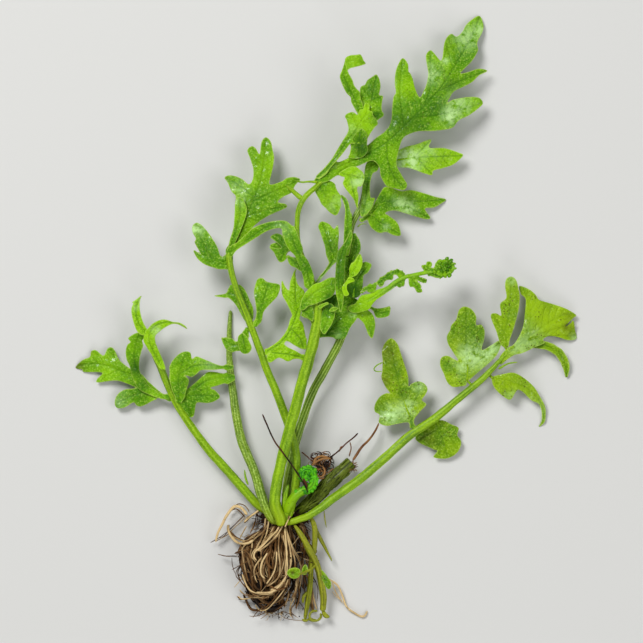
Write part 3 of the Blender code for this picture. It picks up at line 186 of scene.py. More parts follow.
      25.6, 75.6, 27, 77.4, 28.2, 78.8, 29.4, 80.4, 30.6, 79.6, 31.8, 78.3, 32.8, 76.2, 33.6, 74, 34.4, 72.8,
      35.2, 72.3, 35.8, 73.4, 36.2, 75.4, 36.5, 77.4, 36.2, 80, 35.3, 82, 34, 83.2, 33, 84, 31.5, 86,
      28, 88.5, 23, 90, 17, 89, 14, 86.4, 10, 84.6)], ribs=[xyz(7, 82, 15.2, 13, 81.5, 15.6, 20, 82, 15.9,
      27, 83.5, 16.2), xyz(17, 74, 15.2, 22, 80, 15.9, 27, 84, 16.2), xyz(29, 83.4, 16.2, 33, 80.2, 15.6,
      35.2, 73, 13.8)], patches=[(21, 76, 5, 1, 0.5), (19, 88, 3.4, 1, 0.9), (27.5, 81.6, 1.1, 0, 0.9),
      (33, 79, 4, 1, -0.5), (31, 82.6, 3, 1, -0.4), (24.6, 82, 3, 1, -0.2), (17.4, 74.6, 1.6, 1, 0.6),
      (21.6, 73.4, 1.6, 0, 0.3)]),
    "leaf_fork_left": dict(sheets=[dict(outlines=[xy(6.4, 83.9, 6.8, 87, 8, 89.6, 8.9, 91, 11.9, 93.8,
      14.9, 94.8, 17.5, 96.2, 19.2, 96.6, 21, 96, 20.6, 92, 19.4, 89.2, 16.6, 87.6, 14.5, 86.8, 12.8, 86,
      10, 85.2, 8, 83.6)], ribs=[xyz(7, 85, 21.8, 12, 90.4, 22.5, 16, 92.6, 22.6, 20, 94, 22.2)], grow=False,
      foot=0.4), dict(outlines=[xy(13.6, 85.2, 15.4, 86.1, 17.4, 86.7, 17.8, 86, 16.6, 85.4, 15.6, 84.8,
      14.6, 84, 14, 84.4), xy(18, 83.2, 19.2, 84.6, 21, 84.8, 21.4, 84, 20, 83)], ribs=[xyz(13.8, 84.8, 22,
      17.6, 86.2, 22.2), xyz(18, 83.6, 21.8, 21.2, 84.4, 21.6)], patches=[(16, 85.6, 6, 1, -0.45)],
      grow=False, foot=0), dict(outlines=[xy(6.9, 84.2, 7.4, 82, 9.6, 80.3, 11.3, 79, 12, 80.6, 11.9, 83.4,
      10.8, 85.4, 8.6, 85.2), xy(14.4, 76.1, 16, 73.9, 17.6, 75.6, 19.4, 78.6, 20.5, 82.4, 19.6, 85.6,
      17.6, 86.2, 15.8, 84.4, 14.8, 81.3, 14.6, 78.6)], ribs=[xyz(7.4, 83.4, 20.8, 11.4, 80.4, 20.6),
      xyz(15.4, 75, 20.2, 17.4, 79.6, 20.2, 18.4, 85.2, 20)], patches=[(9, 82, 4, 1, 0.35),
      (17, 86, 3, 1, 0.8), (14.6, 82, 1.6, 1, 0.7), (18, 79, 3, 1, -0.25)], grow=False, foot=0)],
      patches=[(11, 92, 4, 1, -0.6), (16, 94, 3, 1, -0.3), (18, 89.6, 2.6, 1, 0.6)]),
    # This leaflet's dark green is painted shade, laid by its dark patches.
    "leaf_fork_dark": dict(outlines=[xy(25.8, 97.4, 27, 98.4, 31.5, 102.5, 33.5, 102.6, 35, 101.5, 33.5, 98.5,
      31.8, 97.2, 31.5, 93, 30.4, 89.6, 28.4, 88.4, 26.4, 89.6, 25.4, 93.5)], ribs=[xyz(27.6, 89, 18.4,
      28.4, 93.4, 18.6, 30.6, 98, 18.8, 34, 101.6, 18.2)], patches=[(27.6, 92, 5, 1, 1), (28, 87, 3, 1, 0.6),
      (33.6, 101, 2, 1, -0.4)]),
    # This leaflet is brightened with painted light, laid by its dark patches below 0.
    "leaf_fork_bright": dict(sheets=[dict(outlines=[xy(26.4, 97.6, 26.8, 100.2, 28, 102.8, 30.3, 106,
      31.4, 103, 30.7, 100, 28.6, 97.2)], ribs=[xyz(27.2, 97.8, 21.2, 29, 101.4, 21.8, 30.3, 105.6, 21.4)]),
      dict(outlines=[xy(23.2, 92.8, 24.7, 94.9, 26, 96.8, 27.7, 96.2, 28.2, 95.1, 26.5, 94.4, 25.2, 93.6,
      25.2, 91.5, 26, 89.8, 24.3, 89.1, 23.5, 90.6)], ribs=[xyz(25, 89.6, 25, 24.4, 92.4, 25.4,
      25.6, 95.4, 25.4, 28, 95.4, 24.8)], patches=[(25, 93, 6, 1, -1)], grow=False, foot=0)],
      patches=[(29, 101, 4, 1, -0.7)]),
    "leaf_fork_back": dict(sheets=[dict(outlines=[xy(15, 119, 18, 118, 20, 116, 21.5, 117.5, 22, 114,
      21.7, 110, 21.4, 104, 18.8, 102.4, 17, 105, 16.3, 109, 14.5, 114.5, 13.7, 117)],
      strokes=[xyzr(14.6, 96.6, 17.4, 0.6, 17.2, 99.8, 17, 0.6, 20, 103.6, 16.6, 0.9)],
      ribs=[xyz(19.8, 103.4, 16.6, 18.6, 109, 16, 17, 114, 15, 15.4, 118.4, 13.6)]),
      dict(strokes=[xyzr(12.2, 93.4, 18.4, 0.5, 14.6, 96.6, 17.4, 0.6, 17.2, 99.8, 17, 0.6,
      20, 103.4, 16.6, 0.8)], ribs=[xyz(19.8, 103.4, 16.6, 18.6, 109, 16, 17, 114, 15, 15.4, 118.4, 13.6)],
      patches=[(15, 97, 6, 0, 0.5)], grow=False, foot=0)], patches=[(19, 108, 5, 1, 0.5)]),
    "leaf_fork_thin": dict(strokes=[xyzr(24.6, 106.4, 17.4, 0.9, 25.2, 112, 17.6, 1.2, 25.5, 118, 17.4, 1.4,
      25.4, 123.6, 16.6, 1, 24.5, 127.2, 15.8, 0.9, 23.1, 129.2, 15.2, 0.4)]),
    "leaf_fork_right": dict(sheets=[dict(strokes=[xyzr(27.4, 103.8, 17, 0.9, 29, 107.8, 17.2, 1.6,
      28.9, 111, 16.8, 1.4, 28.2, 113.4, 16.2, 0.6)]), dict(outlines=[xy(24.4, 94, 24.1, 103, 24.4, 109,
      24.6, 113, 26.4, 116, 27.9, 113.6, 28.8, 110.6, 29.4, 107.4, 29.3, 105, 28.4, 101, 27, 96)],
      ribs=[xyz(26, 94.4, 16.4, 26.4, 104, 16.6, 26.6, 115.4, 16)], grow=False, foot=0)],
      patches=[(27, 104, 8, 1, 0.5)]),
    "leaf_fork_tab": dict(outlines=[xy(36.4, 83.4, 41, 84.8, 42.4, 85, 42.5, 83, 41.5, 81, 37.2, 80.5)],
      strokes=[xyzr(34.6, 84.6, 14.4, 0.5, 38, 82.8, 14.2, 0.8)], ribs=[xyz(37, 82.2, 14.2, 42.2, 83, 13.6)]),
    "frond_coil_stem": dict(sheets=[dict(outlines=[xy(25.4, 84.4, 26.6, 85.6, 28.2, 86, 29.4, 87.4,
      30.6, 89.2, 32, 89.7, 34, 90.1, 35.4, 90.7, 37.2, 91.7, 39.4, 92.4, 41.6, 93.4, 43.6, 94.8, 45.2, 95.6,
      46.2, 95, 45.4, 93.8, 43.9, 92.4, 41, 90.4, 38.8, 88.9, 36.8, 87.6, 35.2, 85.6, 34, 83.9, 31.6, 83,
      28.6, 82.4, 26.4, 83)], ribs=[xyz(26, 84, 17, 30, 86, 18.8, 36, 88.9, 19.7, 41, 92, 20,
      45.6, 95, 20.2)], patches=[(33, 87, 6, 1, -0.8), (38, 89.8, 4, 1, -0.6), (42, 92.6, 3, 0, 0.3)]),
      dict(outlines=[xy(44.2, 94.4, 44.8, 93.4, 45.6, 92.7, 46.4, 92.5, 47, 93, 47.8, 93.1, 48.2, 94.2,
      48.3, 95.4, 49.2, 96.4, 50.6, 97, 50.2, 97.9, 48.6, 97.6, 46.6, 96.8, 45, 95.8), xy(50, 96.6, 49.8, 95,
      50, 93.5, 50.6, 92.7, 51.4, 92.8, 52.2, 92.2, 52.8, 91, 53.4, 90.5, 54.4, 90.5, 55.2, 90.9, 55, 91.7,
      54.6, 92.2, 54.9, 93, 54.2, 94.2, 53.2, 94.9, 52.4, 95.6, 54, 95.1, 55.6, 94.3, 56.4, 94.6, 57.1, 95.1,
      56.8, 95.8, 55.8, 96.3, 54.4, 96.7, 53.4, 97.3, 51.6, 97.6), xy(56.2, 98.4, 55.8, 99.6, 55, 100.6,
      55, 101.4, 55.7, 101.6, 56.4, 101.2, 56.8, 102.2, 57.4, 102.9, 58.4, 102.9, 59.1, 102.2, 59, 101.2,
      58.6, 100.6, 59.6, 100.4, 60.4, 100.2, 60, 99)], ribs=[xyz(44.5, 94, 20.1, 46.4, 94.6, 20.2,
      48.4, 96.8, 20.3), xyz(50.6, 97, 20.3, 51.8, 94.8, 20.2, 54.2, 91.4, 19.9), xyz(52.6, 96.4, 20.3,
      56.6, 95.2, 20.1), xyz(57, 98.8, 20.3, 57.6, 101, 20.5, 57.9, 102.4, 20.4), xyz(57, 98.8, 20.3,
      55.6, 101, 20.3)], patches=[(51, 96.6, 3, 1, -0.4), (57.8, 101.8, 1.4, 1, -0.3),
      (46.4, 93.4, 1.6, 1, 0.2)], thick=1.1)]),
    "leaf_small_left": dict(outlines=[xy(-5.6, 109.3, -3.6, 106, -2, 103, 0, 104, 1.2, 107, -1, 110,
      -3, 110.6)], strokes=[xyzr(3.6, 108.2, 17.4, 0.5, 0.6, 107.2, 17.2, 0.7, -2, 107.8, 17, 1)],
      ribs=[xyz(-0.4, 107.4, 17.2, -3, 107.8, 16.8, -5.4, 109.2, 16.2)]),
    "leaf_hanging": dict(outlines=[xy(12.9, 134.4, 15.4, 135.5, 18.4, 135.2, 20.3, 134, 20.8, 132.4,
      21.6, 130.8, 22.9, 128.9, 22.6, 127.6, 22.9, 125.7, 22.2, 123.4, 21.3, 121.8, 20.3, 121.4, 18.4, 122.5,
      16.5, 124.4, 14.9, 126, 14.2, 127.6, 13.1, 129.5, 12.2, 131.8)], ribs=[xyz(13.4, 133.6, 19.4,
      15.6, 130.8, 18.8, 18.2, 126.8, 17.4, 20.6, 122, 15.2)], patches=[(20.5, 126, 3, 0, 0.5),
      (18, 128, 5, 1, -0.6), (16, 132, 3, 1, 0.2)], grow=False, foot=0),
    "leaf_fold": dict(outlines=[xy(22, 138.2, 26, 140.6, 28.6, 140.8, 30.2, 139.7, 31.7, 138.3, 32.1, 135.6,
      30.9, 132.9, 29.6, 132.9, 29.3, 131.4, 29.8, 128.9, 29.6, 126, 29.3, 123.4, 28.6, 125.7, 27.7, 127.9,
      25.7, 130.5, 24.1, 132.7, 23.5, 134.3, 24.2, 136.4, 22.6, 137)], ribs=[xyz(23.4, 138.2, 19.6,
      26.6, 136.6, 20, 27.6, 131.6, 19.4, 29.2, 124, 17), xyz(26.6, 137.4, 20, 31.6, 136, 18.8)],
      patches=[(30.5, 135.6, 2.2, 0, 0.8), (28.6, 134.4, 1.8, 0, 0.6), (27, 138, 4, 1, -0.4)], grow=False,
      foot=0),
    "leaf_top_left": dict(sheets=[dict(outlines=[xy(30, 160.4, 30.6, 164, 31.2, 166, 30.5, 168, 30.3, 171.4,
      30.8, 172.8, 31.6, 173.2, 32.4, 173.6, 33.4, 175.4, 35.4, 176.8, 36.6, 177.6, 37.4, 177.2, 38.2, 175.4,
      38.6, 173, 38.2, 170.6, 38, 169.4, 39, 169.2, 39.6, 168.8, 39.2, 166.6, 39, 164.6, 39.2, 163, 39.8, 162,
      39.7, 161, 38.6, 160.2, 37.8, 159.6, 36.4, 158.6, 34, 158, 31, 159)], ribs=[xyz(32, 159, 19.4,
      34, 164, 19.2, 35.4, 170, 18.8, 36.8, 177, 17.6), xyz(34.6, 163, 19.2, 39.4, 161.4, 18.4),
      xyz(35, 167.6, 19, 39.2, 168.8, 18.2)], grow=False, foot=0), dict(outlines=[xy(25.4, 151.6, 25.8, 154,
      25.8, 156.4, 25, 159.4, 24.4, 160.6, 24.8, 161.6, 26, 162.3, 27.4, 162.6, 28.6, 162, 29.4, 161.4,
      30.2, 163.4, 31.6, 163.8, 32, 165.4, 32.8, 166.2, 33.6, 166, 34.2, 165.2, 34.2, 163.2, 35.2, 162.8,
      35.6, 161.4, 36.6, 160, 37.4, 158.6, 37.4, 157.6, 36.4, 156.6, 35.6, 155.6, 34.4, 153.8, 33.4, 152,
      32, 150.6, 29.6, 150, 27.4, 150)], strokes=[xyzr(13.4, 136.8, 20.2, 0.6, 16.4, 139.4, 20.4, 0.8,
      19.8, 143.2, 20.4, 1, 22.8, 147.4, 20.5, 1.4, 25.4, 151.2, 20.6, 1.6, 28, 154.4, 20.6, 1.8)],
      ribs=[xyz(28, 154, 20.6, 30.4, 158, 20.8, 33, 162, 20.8, 33.2, 165.8, 20.6), xyz(29.6, 157, 20.8,
      27, 161.8, 20.2), xyz(31.6, 158.6, 20.9, 36.8, 158, 20)], foot=0)], patches=[(31, 158, 4.5, 1, -0.8),
      (33, 164, 3, 1, -0.9), (27, 160, 2.4, 1, -0.4), (28, 156, 2.4, 0, 0.3), (36.8, 161.4, 2, 1, 0.9),
      (34.5, 171.4, 4, 1, 0.5), (24, 149, 2, 1, 0.2)]),
    "leaf_top_blade": dict(sheets=[dict(outlines=[xy(13.6, 134.2, 12.2, 134.9, 12.6, 136.3, 15.2, 137.8,
      17.4, 139.8, 20, 143, 21.6, 142.7, 22.9, 143, 25.8, 144.4, 28, 146, 31, 148, 33.1, 149.2, 34.6, 150.4,
      36.8, 152.4, 38.6, 153.6, 40, 154.6, 42, 157, 43, 160, 43.2, 164, 43.7, 168.5, 44.7, 170.5, 44.3, 174,
      44.5, 178, 45.5, 181.5, 47.5, 184.4, 49.6, 182, 49.8, 179, 50.5, 178.3, 51.5, 176, 52.5, 172,
      54.3, 168.6, 56, 171.5, 57, 174, 57.7, 178, 57.3, 181, 56.8, 185.5, 58.5, 187.6, 60, 186.5, 62, 184,
      62.8, 183.5, 63.5, 185, 64, 189.5, 65, 192.5, 67, 194.3, 69.2, 193.2, 71.5, 195.3, 73, 198, 75.5, 200.3,
      78.5, 201.7, 80, 198, 79.5, 195, 77.5, 191, 77.8, 188, 77, 186, 75, 183, 72, 180, 70.7, 178.3, 74, 179,
      78, 180.3, 81.5, 179.5, 78, 177.5, 75.5, 175, 72, 173, 68, 171, 66, 168, 65, 166, 67, 167.5, 70, 168.3,
      74, 168.9, 78, 168.7, 79.7, 166.5, 78, 164.5, 74, 161.5, 70, 159.5, 68, 157, 66, 156, 60, 155.2,
      54, 155, 50, 153.8, 47.5, 152, 46, 148, 45, 143.4, 45.2, 141, 46.5, 138.5, 48.1, 135.9, 49.2, 134,
      48.9, 132.4, 47.5, 131.5, 45, 132, 42, 132.7, 40.7, 133.4, 39.2, 135.9, 38.5, 137.8, 38.2, 140.4,
      36.6, 142.6, 34.6, 143.2, 32.1, 142.2, 30.4, 141.4, 28.6, 140.7, 26.4, 138.6, 24.1, 137.2, 21.6, 137.3,
      20.3, 136.8, 18.7, 135.6, 16.6, 134.6)], ribs=[xyz(34.4, 146.6, 16.4, 41, 150.6, 16.8, 49, 158, 16.4,
      56, 165, 15.2, 63, 173, 12.8, 70, 184, 8.4, 75, 193, 4.2, 78.6, 201.4, 0.45), xyz(41, 150.6, 16.8,
      41.6, 143, 15.8, 44, 137, 14.4, 48, 132.6, 12.8), xyz(48, 157, 16.4, 46.4, 170, 15.2, 47.4, 184, 11.8),
      xyz(56, 165, 15.2, 58.8, 174, 13.4, 58.4, 187.2, 9.4), xyz(52, 160.6, 16, 62, 161.6, 13.6,
      72, 164, 10.6, 79.4, 166.4, 7.2), xyz(61, 170.6, 13.4, 70, 175, 10.2, 81, 179.4, 6), xyz(13, 135.4, 20,
      17.5, 138.6, 19.3, 22, 140.6, 18.2, 28, 143.4, 17, 34.4, 146.6, 16.4)], grow=False, foot=0),
      dict(outlines=[xy(25.8, 144.4, 26.2, 145.8, 26.7, 148.4, 26.5, 150.2, 27.6, 152.6, 29.9, 155.4,
      31.2, 155.9, 32.5, 154.8, 33.3, 152.6, 33.2, 149.6, 33.6, 147.4, 32, 145, 29, 144)],
      ribs=[xyz(30, 144.8, 17.3, 29.8, 150, 20.4, 31, 155.7, 22.4)], grow=False, foot=0)],
      patches=[(59, 178, 3.6, 0, 0.7), (66, 161, 2.8, 0, 1), (70, 165.6, 5, 0, 0.7), (73, 193, 5, 0, 0.6),
      (79, 196, 2.4, 0, 0.6), (64.4, 183.4, 1.4, 0, 0.9), (48, 172, 6, 1, -0.5), (48, 158, 7, 1, 0.75),
      (60, 164, 5, 1, 0.4), (67, 173, 4, 1, 0.5), (66, 188, 4, 1, 0.3), (78, 165, 3, 1, -0.5),
      (62, 157, 4, 1, -0.4), (24, 141, 5, 1, -0.6), (45, 136, 4, 1, 0.3), (30, 151, 4, 1, 0.7),
      (31.5, 147, 2.4, 1, 0.6)]),
    # Its pale middle is painted sheen, laid by its pale patches.
    "leaf_top_pale": dict(outlines=[xy(44, 145.5, 48, 148.7, 53, 150, 57, 151.5, 59, 151.7, 58.2, 148.6,
      64, 148.5, 70, 146.7, 71.7, 145.4, 68, 142, 64, 140.5, 59.9, 139.4, 59.3, 137.7, 57, 138, 50, 140.5,
      45.5, 141)], strokes=[xyzr(35.8, 142.2, 10, 0.7, 40, 143.2, 9.8, 0.8, 46, 143.8, 9.8, 1.2)],
      ribs=[xyz(45, 143.6, 9.8, 52, 144.6, 9.8, 60, 145, 9, 71.4, 145.4, 6.6), xyz(52, 144.6, 9.8,
      58.6, 151.4, 8.6), xyz(53, 144.6, 9.7, 59, 138.2, 8.6)], patches=[(48, 145, 4.4, 0, 1),
      (50, 142.4, 4, 0, 1), (47, 142, 3, 0, 1), (58, 148, 4, 0, 0.35), (64, 143, 5, 1, 0.25),
      (69, 144, 3, 1, -0.4)]),
    "leaf_right_mid": dict(outlines=[xy(41, 133, 47, 131.3, 51, 131.7, 56, 130.5, 61, 129, 65, 128, 62.5, 126,
      60, 124.7, 56.5, 124.2, 58.7, 120.7, 57, 120, 53, 121, 48, 122.5, 44, 123.5, 40.5, 122.5, 42, 121.3,
      45, 119, 46.3, 116.5, 46.7, 113.5, 44, 113.5, 41, 114.8, 38, 114.5, 35, 116.5, 33.6, 119.5, 34.6, 122.4,
      36.6, 127, 38.8, 131)], strokes=[xyzr(31.2, 119.4, 11.2, 0.7, 34, 121.6, 10.8, 0.9, 38, 125, 9.8, 1.4)],
      ribs=[xyz(35, 121.8, 10.6, 40, 126.6, 9, 47, 127.6, 6.8, 56, 127.2, 3.6, 64.8, 128, 0.45),
      xyz(42, 126.8, 8.4, 50, 124.4, 6.2, 58.2, 120.6, 3.4), xyz(35.6, 121, 10.4, 39.6, 118, 9.4,
      46.2, 114, 7)], patches=[(47, 132, 5, 1, -0.4), (46.5, 126.5, 3, 0, 0.7), (50, 124.4, 2.6, 0, 0.7),
      (41, 128, 4, 1, 0.5), (41, 116.4, 1.6, 0, 0.7)]),
    "leaf_right_inner": dict(outlines=[xy(42.5, 50.2, 40.5, 53, 39, 56.5, 39.3, 59, 39.5, 63, 39.2, 67,
      40.5, 70.5, 43, 72.3, 45.5, 70, 46.7, 66.5, 48.5, 61, 49.7, 57, 49.9, 53, 51, 54, 53.5, 55, 56, 54.3,
      57.5, 52, 56.5, 49.5, 55.3, 47.5, 57, 45.8, 55, 43.5, 53, 41.2, 50.5, 39, 48, 38.5, 44, 37.7, 41, 37.2,
      38, 38.5, 38.3, 41.5, 36.3, 43, 36.5, 46, 38.5, 49, 41, 50.3)], strokes=[xyzr(51.2, 37.2, 7.8, 0.8,
      50.9, 40, 8, 1, 50, 43.6, 8.2, 1.2)], ribs=[xyz(50.4, 41, 8.1, 48.4, 46, 8.3, 45.8, 55, 8.2,
      43.8, 64, 7.4, 42.6, 71.6, 6.2), xyz(50, 43, 8.2, 53.8, 50, 8.2, 54, 54.6, 7.6), xyz(49.6, 43, 8.2,
      43, 42, 7.2, 37.6, 43.4, 5.8)], patches=[(42.6, 41.6, 3.4, 0, 1), (49.4, 44, 3.6, 0, 0.8),
      (54, 53, 2.6, 0, 0.4), (41, 67, 5, 2, 0.45), (39.5, 55, 3, 2, 0.6), (44, 60, 5, 1, 0.35),
      (38, 46, 3, 1, 0.4), (47, 50, 3, 1, 0.5)], wave=0.5),
    "leaf_right_under": dict(outlines=[xy(53, 32, 55, 34, 58, 35.6, 61, 38.4, 64, 39.2, 67, 37.8, 70, 36.3,
      69.5, 33.5, 71, 31, 70.5, 28, 68.5, 25.5, 65, 24, 60, 24.5, 61.5, 27, 60.5, 27.5, 57, 29, 54, 30.5)],
      ribs=[xyz(61.6, 37.6, 4.6, 63.6, 32, 3.8, 65.6, 25, 2.2), xyz(61.6, 36, 4.5, 54, 31.6, 3.6),
      xyz(63.4, 33, 3.9, 70.4, 32.4, 3)], patches=[(57, 32, 4, 2, 0.5), (62, 30, 2, 1, 0.6),
      (66, 30, 4, 1, -0.4)]),
    "leaf_right_upper": dict(outlines=[xy(72.2, 53.4, 68, 52.7, 65.5, 54.5, 64, 58, 62.5, 61.5, 63, 64.5,
      65.5, 65.3, 68, 64, 69.8, 63.4, 67.5, 67, 65.7, 70, 65.2, 73, 66.5, 75.5, 67, 77.5, 69, 80, 70, 83.5,
      72, 85, 75, 84, 77, 81, 76.9, 77.7, 79, 77.7, 80.3, 75.5, 80.2, 72, 79.2, 67.6, 83, 69.5, 86, 71.3,
      87, 70, 85.5, 66, 82.6, 62.9, 79.2, 59.9, 75.6, 56.8, 73.4, 54.8)], ribs=[xyz(73.4, 55.4, 7.8,
      73.6, 62, 8.2, 73, 70, 8.4, 73, 84.4, 7.6), xyz(73.4, 57, 7.9, 69, 58.4, 7.6, 64, 63.6, 6.6),
      xyz(74, 60, 8, 80.6, 65, 7.4, 86.2, 70.2, 6.4)], patches=[(74, 65, 4.6, 0, 0.8),
      (80.6, 65.4, 4.2, 0, 0.6), (83.6, 68.8, 3, 0, 0.5), (71.6, 60, 3, 0, 0.4), (70, 71, 4, 2, 0.12),
      (72, 76, 5, 1, 0.15), (67, 57, 3, 1, -0.3)]),
    "leaf_right_tip": dict(outlines=[xy(87, 69.4, 85.6, 73, 85, 75, 83, 80, 83, 82, 85, 82.3, 87, 81.5,
      86.5, 86, 89, 88.5, 88.5, 93, 89, 96, 91, 97, 93, 95.5, 94, 91.5, 94.4, 89, 94, 84, 92.3, 77.4,
      90.4, 71.6, 89.6, 68.6)], ribs=[xyz(88.4, 69, 8, 88.8, 76, 8.8, 90.4, 84, 9.2, 91, 96.4, 8.4),
      xyz(88.4, 74, 8.6, 83.8, 81.6, 8.2)], patches=[(89, 76, 4, 1, -0.3), (90, 90, 5, 1, -0.5),
      (91, 95.6, 2, 0, 0.5), (85, 81, 2, 1, -0.5)]),
    "leaf_right_fan": dict(outlines=[xy(94.2, 93.1, 96.6, 92.7, 99, 91.4, 101, 89.5, 102.4, 87.6, 107.2, 86.2,
      113, 84.2, 117.1, 81.7, 116.3, 80.6, 114.7, 79.1, 113, 77.5, 113.1, 76.9, 114.9, 78.2, 116.1, 79.2,
      116.8, 75.6, 117.3, 72.1, 113.9, 71.5, 110.1, 72.7, 106.2, 73.1, 103.8, 71.8, 104.5, 70.4, 100.5, 68.7,
      95.7, 66.4, 92.3, 65.6, 89.4, 63.9, 86.6, 62.2, 87.4, 65.4, 89.4, 68.4, 91.8, 69.6, 94.2, 73.2,
      95.9, 77.5, 96.6, 83.3, 96.8, 88.1, 94.9, 90)], ribs=[xyz(91.2, 67.4, 7.8, 97, 72, 7.6, 104, 77, 5.8,
      111, 81, 3.8, 117.6, 82.4, 2.2), xyz(96, 70.6, 7.6, 106, 73, 5, 116.8, 73, 0.45), xyz(97, 72, 7.6,
      99, 82, 6.6, 96.4, 92, 5.6)], patches=[(114.6, 81, 3, 2, 0.3), (115.6, 74.6, 3, 2, 0.3),
      (113, 77, 1.6, 2, 0.5), (100, 73, 6, 0, 0.3), (94, 68.6, 4, 0, 0.4), (104, 80, 7, 1, -0.9),
      (110, 74, 5, 1, -0.9), (98, 86, 5, 1, -0.8), (114, 80, 4, 1, -0.6), (116.6, 72.6, 1.6, 0, 0.7)],
      foot=0),
    "leaf_right_hook": dict(kind="old", outlines=[xy(83.7, 56.8, 88, 58, 92, 58.5, 96, 56.5, 100, 53, 102, 50,
      104.5, 45.5, 105, 42, 104.5, 38.5, 102, 36.5, 103.3, 39, 103.3, 43, 102, 46, 99, 47.5, 96, 50.5,
      93.5, 51.5, 91, 47.8, 88.5, 48.5, 85, 51.5, 83.4, 54.5)], ribs=[xyz(84, 56, 6.8, 90, 55, 6.8,
      97, 52.6, 5.4, 102.6, 47, 3.2, 104.2, 41, 1.4, 102.4, 36.9, 0.45), xyz(88, 55, 6.8, 89.6, 48.6, 6)],
      patches=[(92, 48.6, 2.4, 0, 0.7), (101, 45, 6, 0, 0.2), (89, 54, 6, 1, -0.55), (99, 51, 6, 1, -0.5)]),
    "root_leaflet_front": dict(kind="old", sheets=[dict(outlines=[xy(1.2, -21.7, 1.7, -20.2, 3, -19.5,
      4.8, -19.3, 6.3, -20, 6.6, -21.3, 6.1, -22.8, 4.5, -23.7, 2.7, -23.3)], ribs=[xyz(1.6, -21.4, 16.2,
      4.2, -21.6, 16.4, 6.6, -21.8, 16.2)]), dict(outlines=[xy(7, -21.7, 7.5, -19.3, 8.7, -18.2, 9.6, -20,
      9.2, -21.7, 8, -22.4)], ribs=[xyz(8.8, -18.6, 11.6, 8, -22, 11.2)], foot=0)],
      patches=[(3.3, -21.2, 1, 2, 0.9), (5, -21, 3, 1, -0.3)]),
    "root_leaflet_side": dict(kind="old", outlines=[xy(13.6, -19.8, 15.3, -20.6, 16.6, -22, 17.8, -23.7,
      18.9, -25.7, 18.6, -27.9, 17.5, -28.2, 16.4, -26.8, 15.4, -24.8, 14.1, -22.8, 13.2, -21.3)],
      ribs=[xyz(13.6, -20.4, 9.4, 16, -23.6, 8.6, 18.4, -27.4, 7.4)], patches=[(16, -24, 2, 1, 0.2)],
      grow=False, foot=0.3),
    "leaf_left_tip": dict(outlines=[xy(-56.9, 89.5, -57.5, 87.7, -57.7, 84.8, -57.1, 81.2, -56.1, 78.3,
      -54.6, 75.4, -55.6, 73.4, -58.2, 74.4, -59.7, 77.2, -60.8, 81.2, -61, 84.1, -60.3, 86.2, -60.8, 86.6,
      -59, 87.9)], ribs=[xyz(-55.6, 74.6, 13.4, -58.4, 79, 13.4, -59.2, 84, 13.6, -57.2, 89.2, 13)],
      patches=[(-58.6, 86, 3, 0, 0.3)], grow=False, foot=0.3, cup=0.5),
    "leaf_left_curl": dict(outlines=[xy(-56.1, 72.4, -55, 75.1, -53.2, 77.6, -50.3, 79.4, -47.4, 79.8,
      -44.6, 78.9, -41.7, 78.5, -39.5, 77.2, -38.8, 76, -40.2, 76.7, -42.4, 77.8, -44.6, 78, -47.4, 76.7,
      -49.6, 75.1, -51.4, 73.3, -51.6, 70.8, -50.4, 67, -48.9, 63.4, -48.1, 60.6, -48.6, 60.2, -50.8, 63,
      -52.6, 66.4, -54.6, 69, -56, 70.8)], ribs=[xyz(-49.8, 62.4, 10.2, -52.2, 67, 12.2, -54, 72, 13.6,
      -52.4, 76.4, 13.8, -48, 78.6, 13.4, -43, 78.3, 11.8, -39, 76.1, 10.2)], patches=[(-51, 75, 1.8, 0, 0.9),
      (-54.4, 73, 3, 1, -0.5), (-52, 77, 3, 1, 0.2)], foot=0),
    "leaf_fork_ribbon": dict(kind="green", outlines=[xy(26.8, 115.6, 25.2, 112.4, 23.6, 109.8, 21.8, 107.4,
      21.1, 106, 20.7, 101, 20.4, 96, 20.6, 91, 21.3, 87.7, 22.6, 82.6, 23.6, 86, 24, 91, 24.2, 97.5,
      24.5, 103, 25.2, 107, 26.8, 110, 27.4, 113)], ribs=[xyz(22.6, 83.2, 20.2, 22.2, 89, 23, 21.9, 97, 24.6,
      22.6, 104, 24, 26.6, 114.6, 20)], patches=[(23.4, 104, 7, 1, 0.7), (23.2, 96, 4, 1, 0.5),
      (21.6, 90, 3, 1, -0.5), (26, 112, 3, 1, -0.2)], grow=False, foot=0, cup=-0.9),
    "frond_coil_pinna": dict(outlines=[xy(48.4, 97.6, 47.6, 98.9, 46.6, 99.4, 45.8, 99.8, 45.2, 100.1,
      44.4, 99.7, 43.4, 99.4, 42.8, 99.5, 42.1, 98.9, 41.2, 98.6, 40.8, 98, 39.9, 97.3, 39, 96.9, 38.2, 96.6,
      38, 95.9, 37.4, 95.3, 37.1, 94.4, 37.6, 93.7, 38.3, 92.9, 39.2, 93.1, 39.9, 93.9, 40.2, 94.8,
      41.2, 95.5, 42.3, 95.6, 43.1, 95.6, 43.6, 96.2, 43.6, 97.2, 44, 97.6, 44.8, 97.6, 45.3, 97.1, 46, 96.4,
      47.4, 96.4), xy(36.8, 94.3, 36.2, 94.5, 35.6, 94.1, 35, 93.9, 34.4, 94.2, 33.8, 93.8, 33, 93.1,
      32.2, 92.9, 31.6, 92.4, 31, 91.4, 30.4, 91, 30.6, 90.2, 31.4, 90.6, 32.2, 91, 33, 91.3, 34, 90.5,
      35.6, 90.6, 36.6, 91.4, 36.8, 92.6, 36.9, 93.4)], ribs=[xyz(47.6, 97.6, 20.3, 45.8, 98.9, 20.5,
      43, 98.3, 20.4, 40.6, 96.8, 20.2, 38.2, 94.4, 20), xyz(36.4, 92.4, 20, 34, 92.4, 19.9, 31, 91.2, 19.8)],
      patches=[(46.4, 97.4, 1.4, 1, -0.6), (41, 97, 2, 1, 0.3), (35.4, 92.6, 2, 1, -0.2)], thick=0.9),
    "leaf_top_left_curl": dict(sheets=[dict(outlines=[xy(30.4, 160.6, 29.1, 162.4, 27.6, 165, 26.8, 166.8,
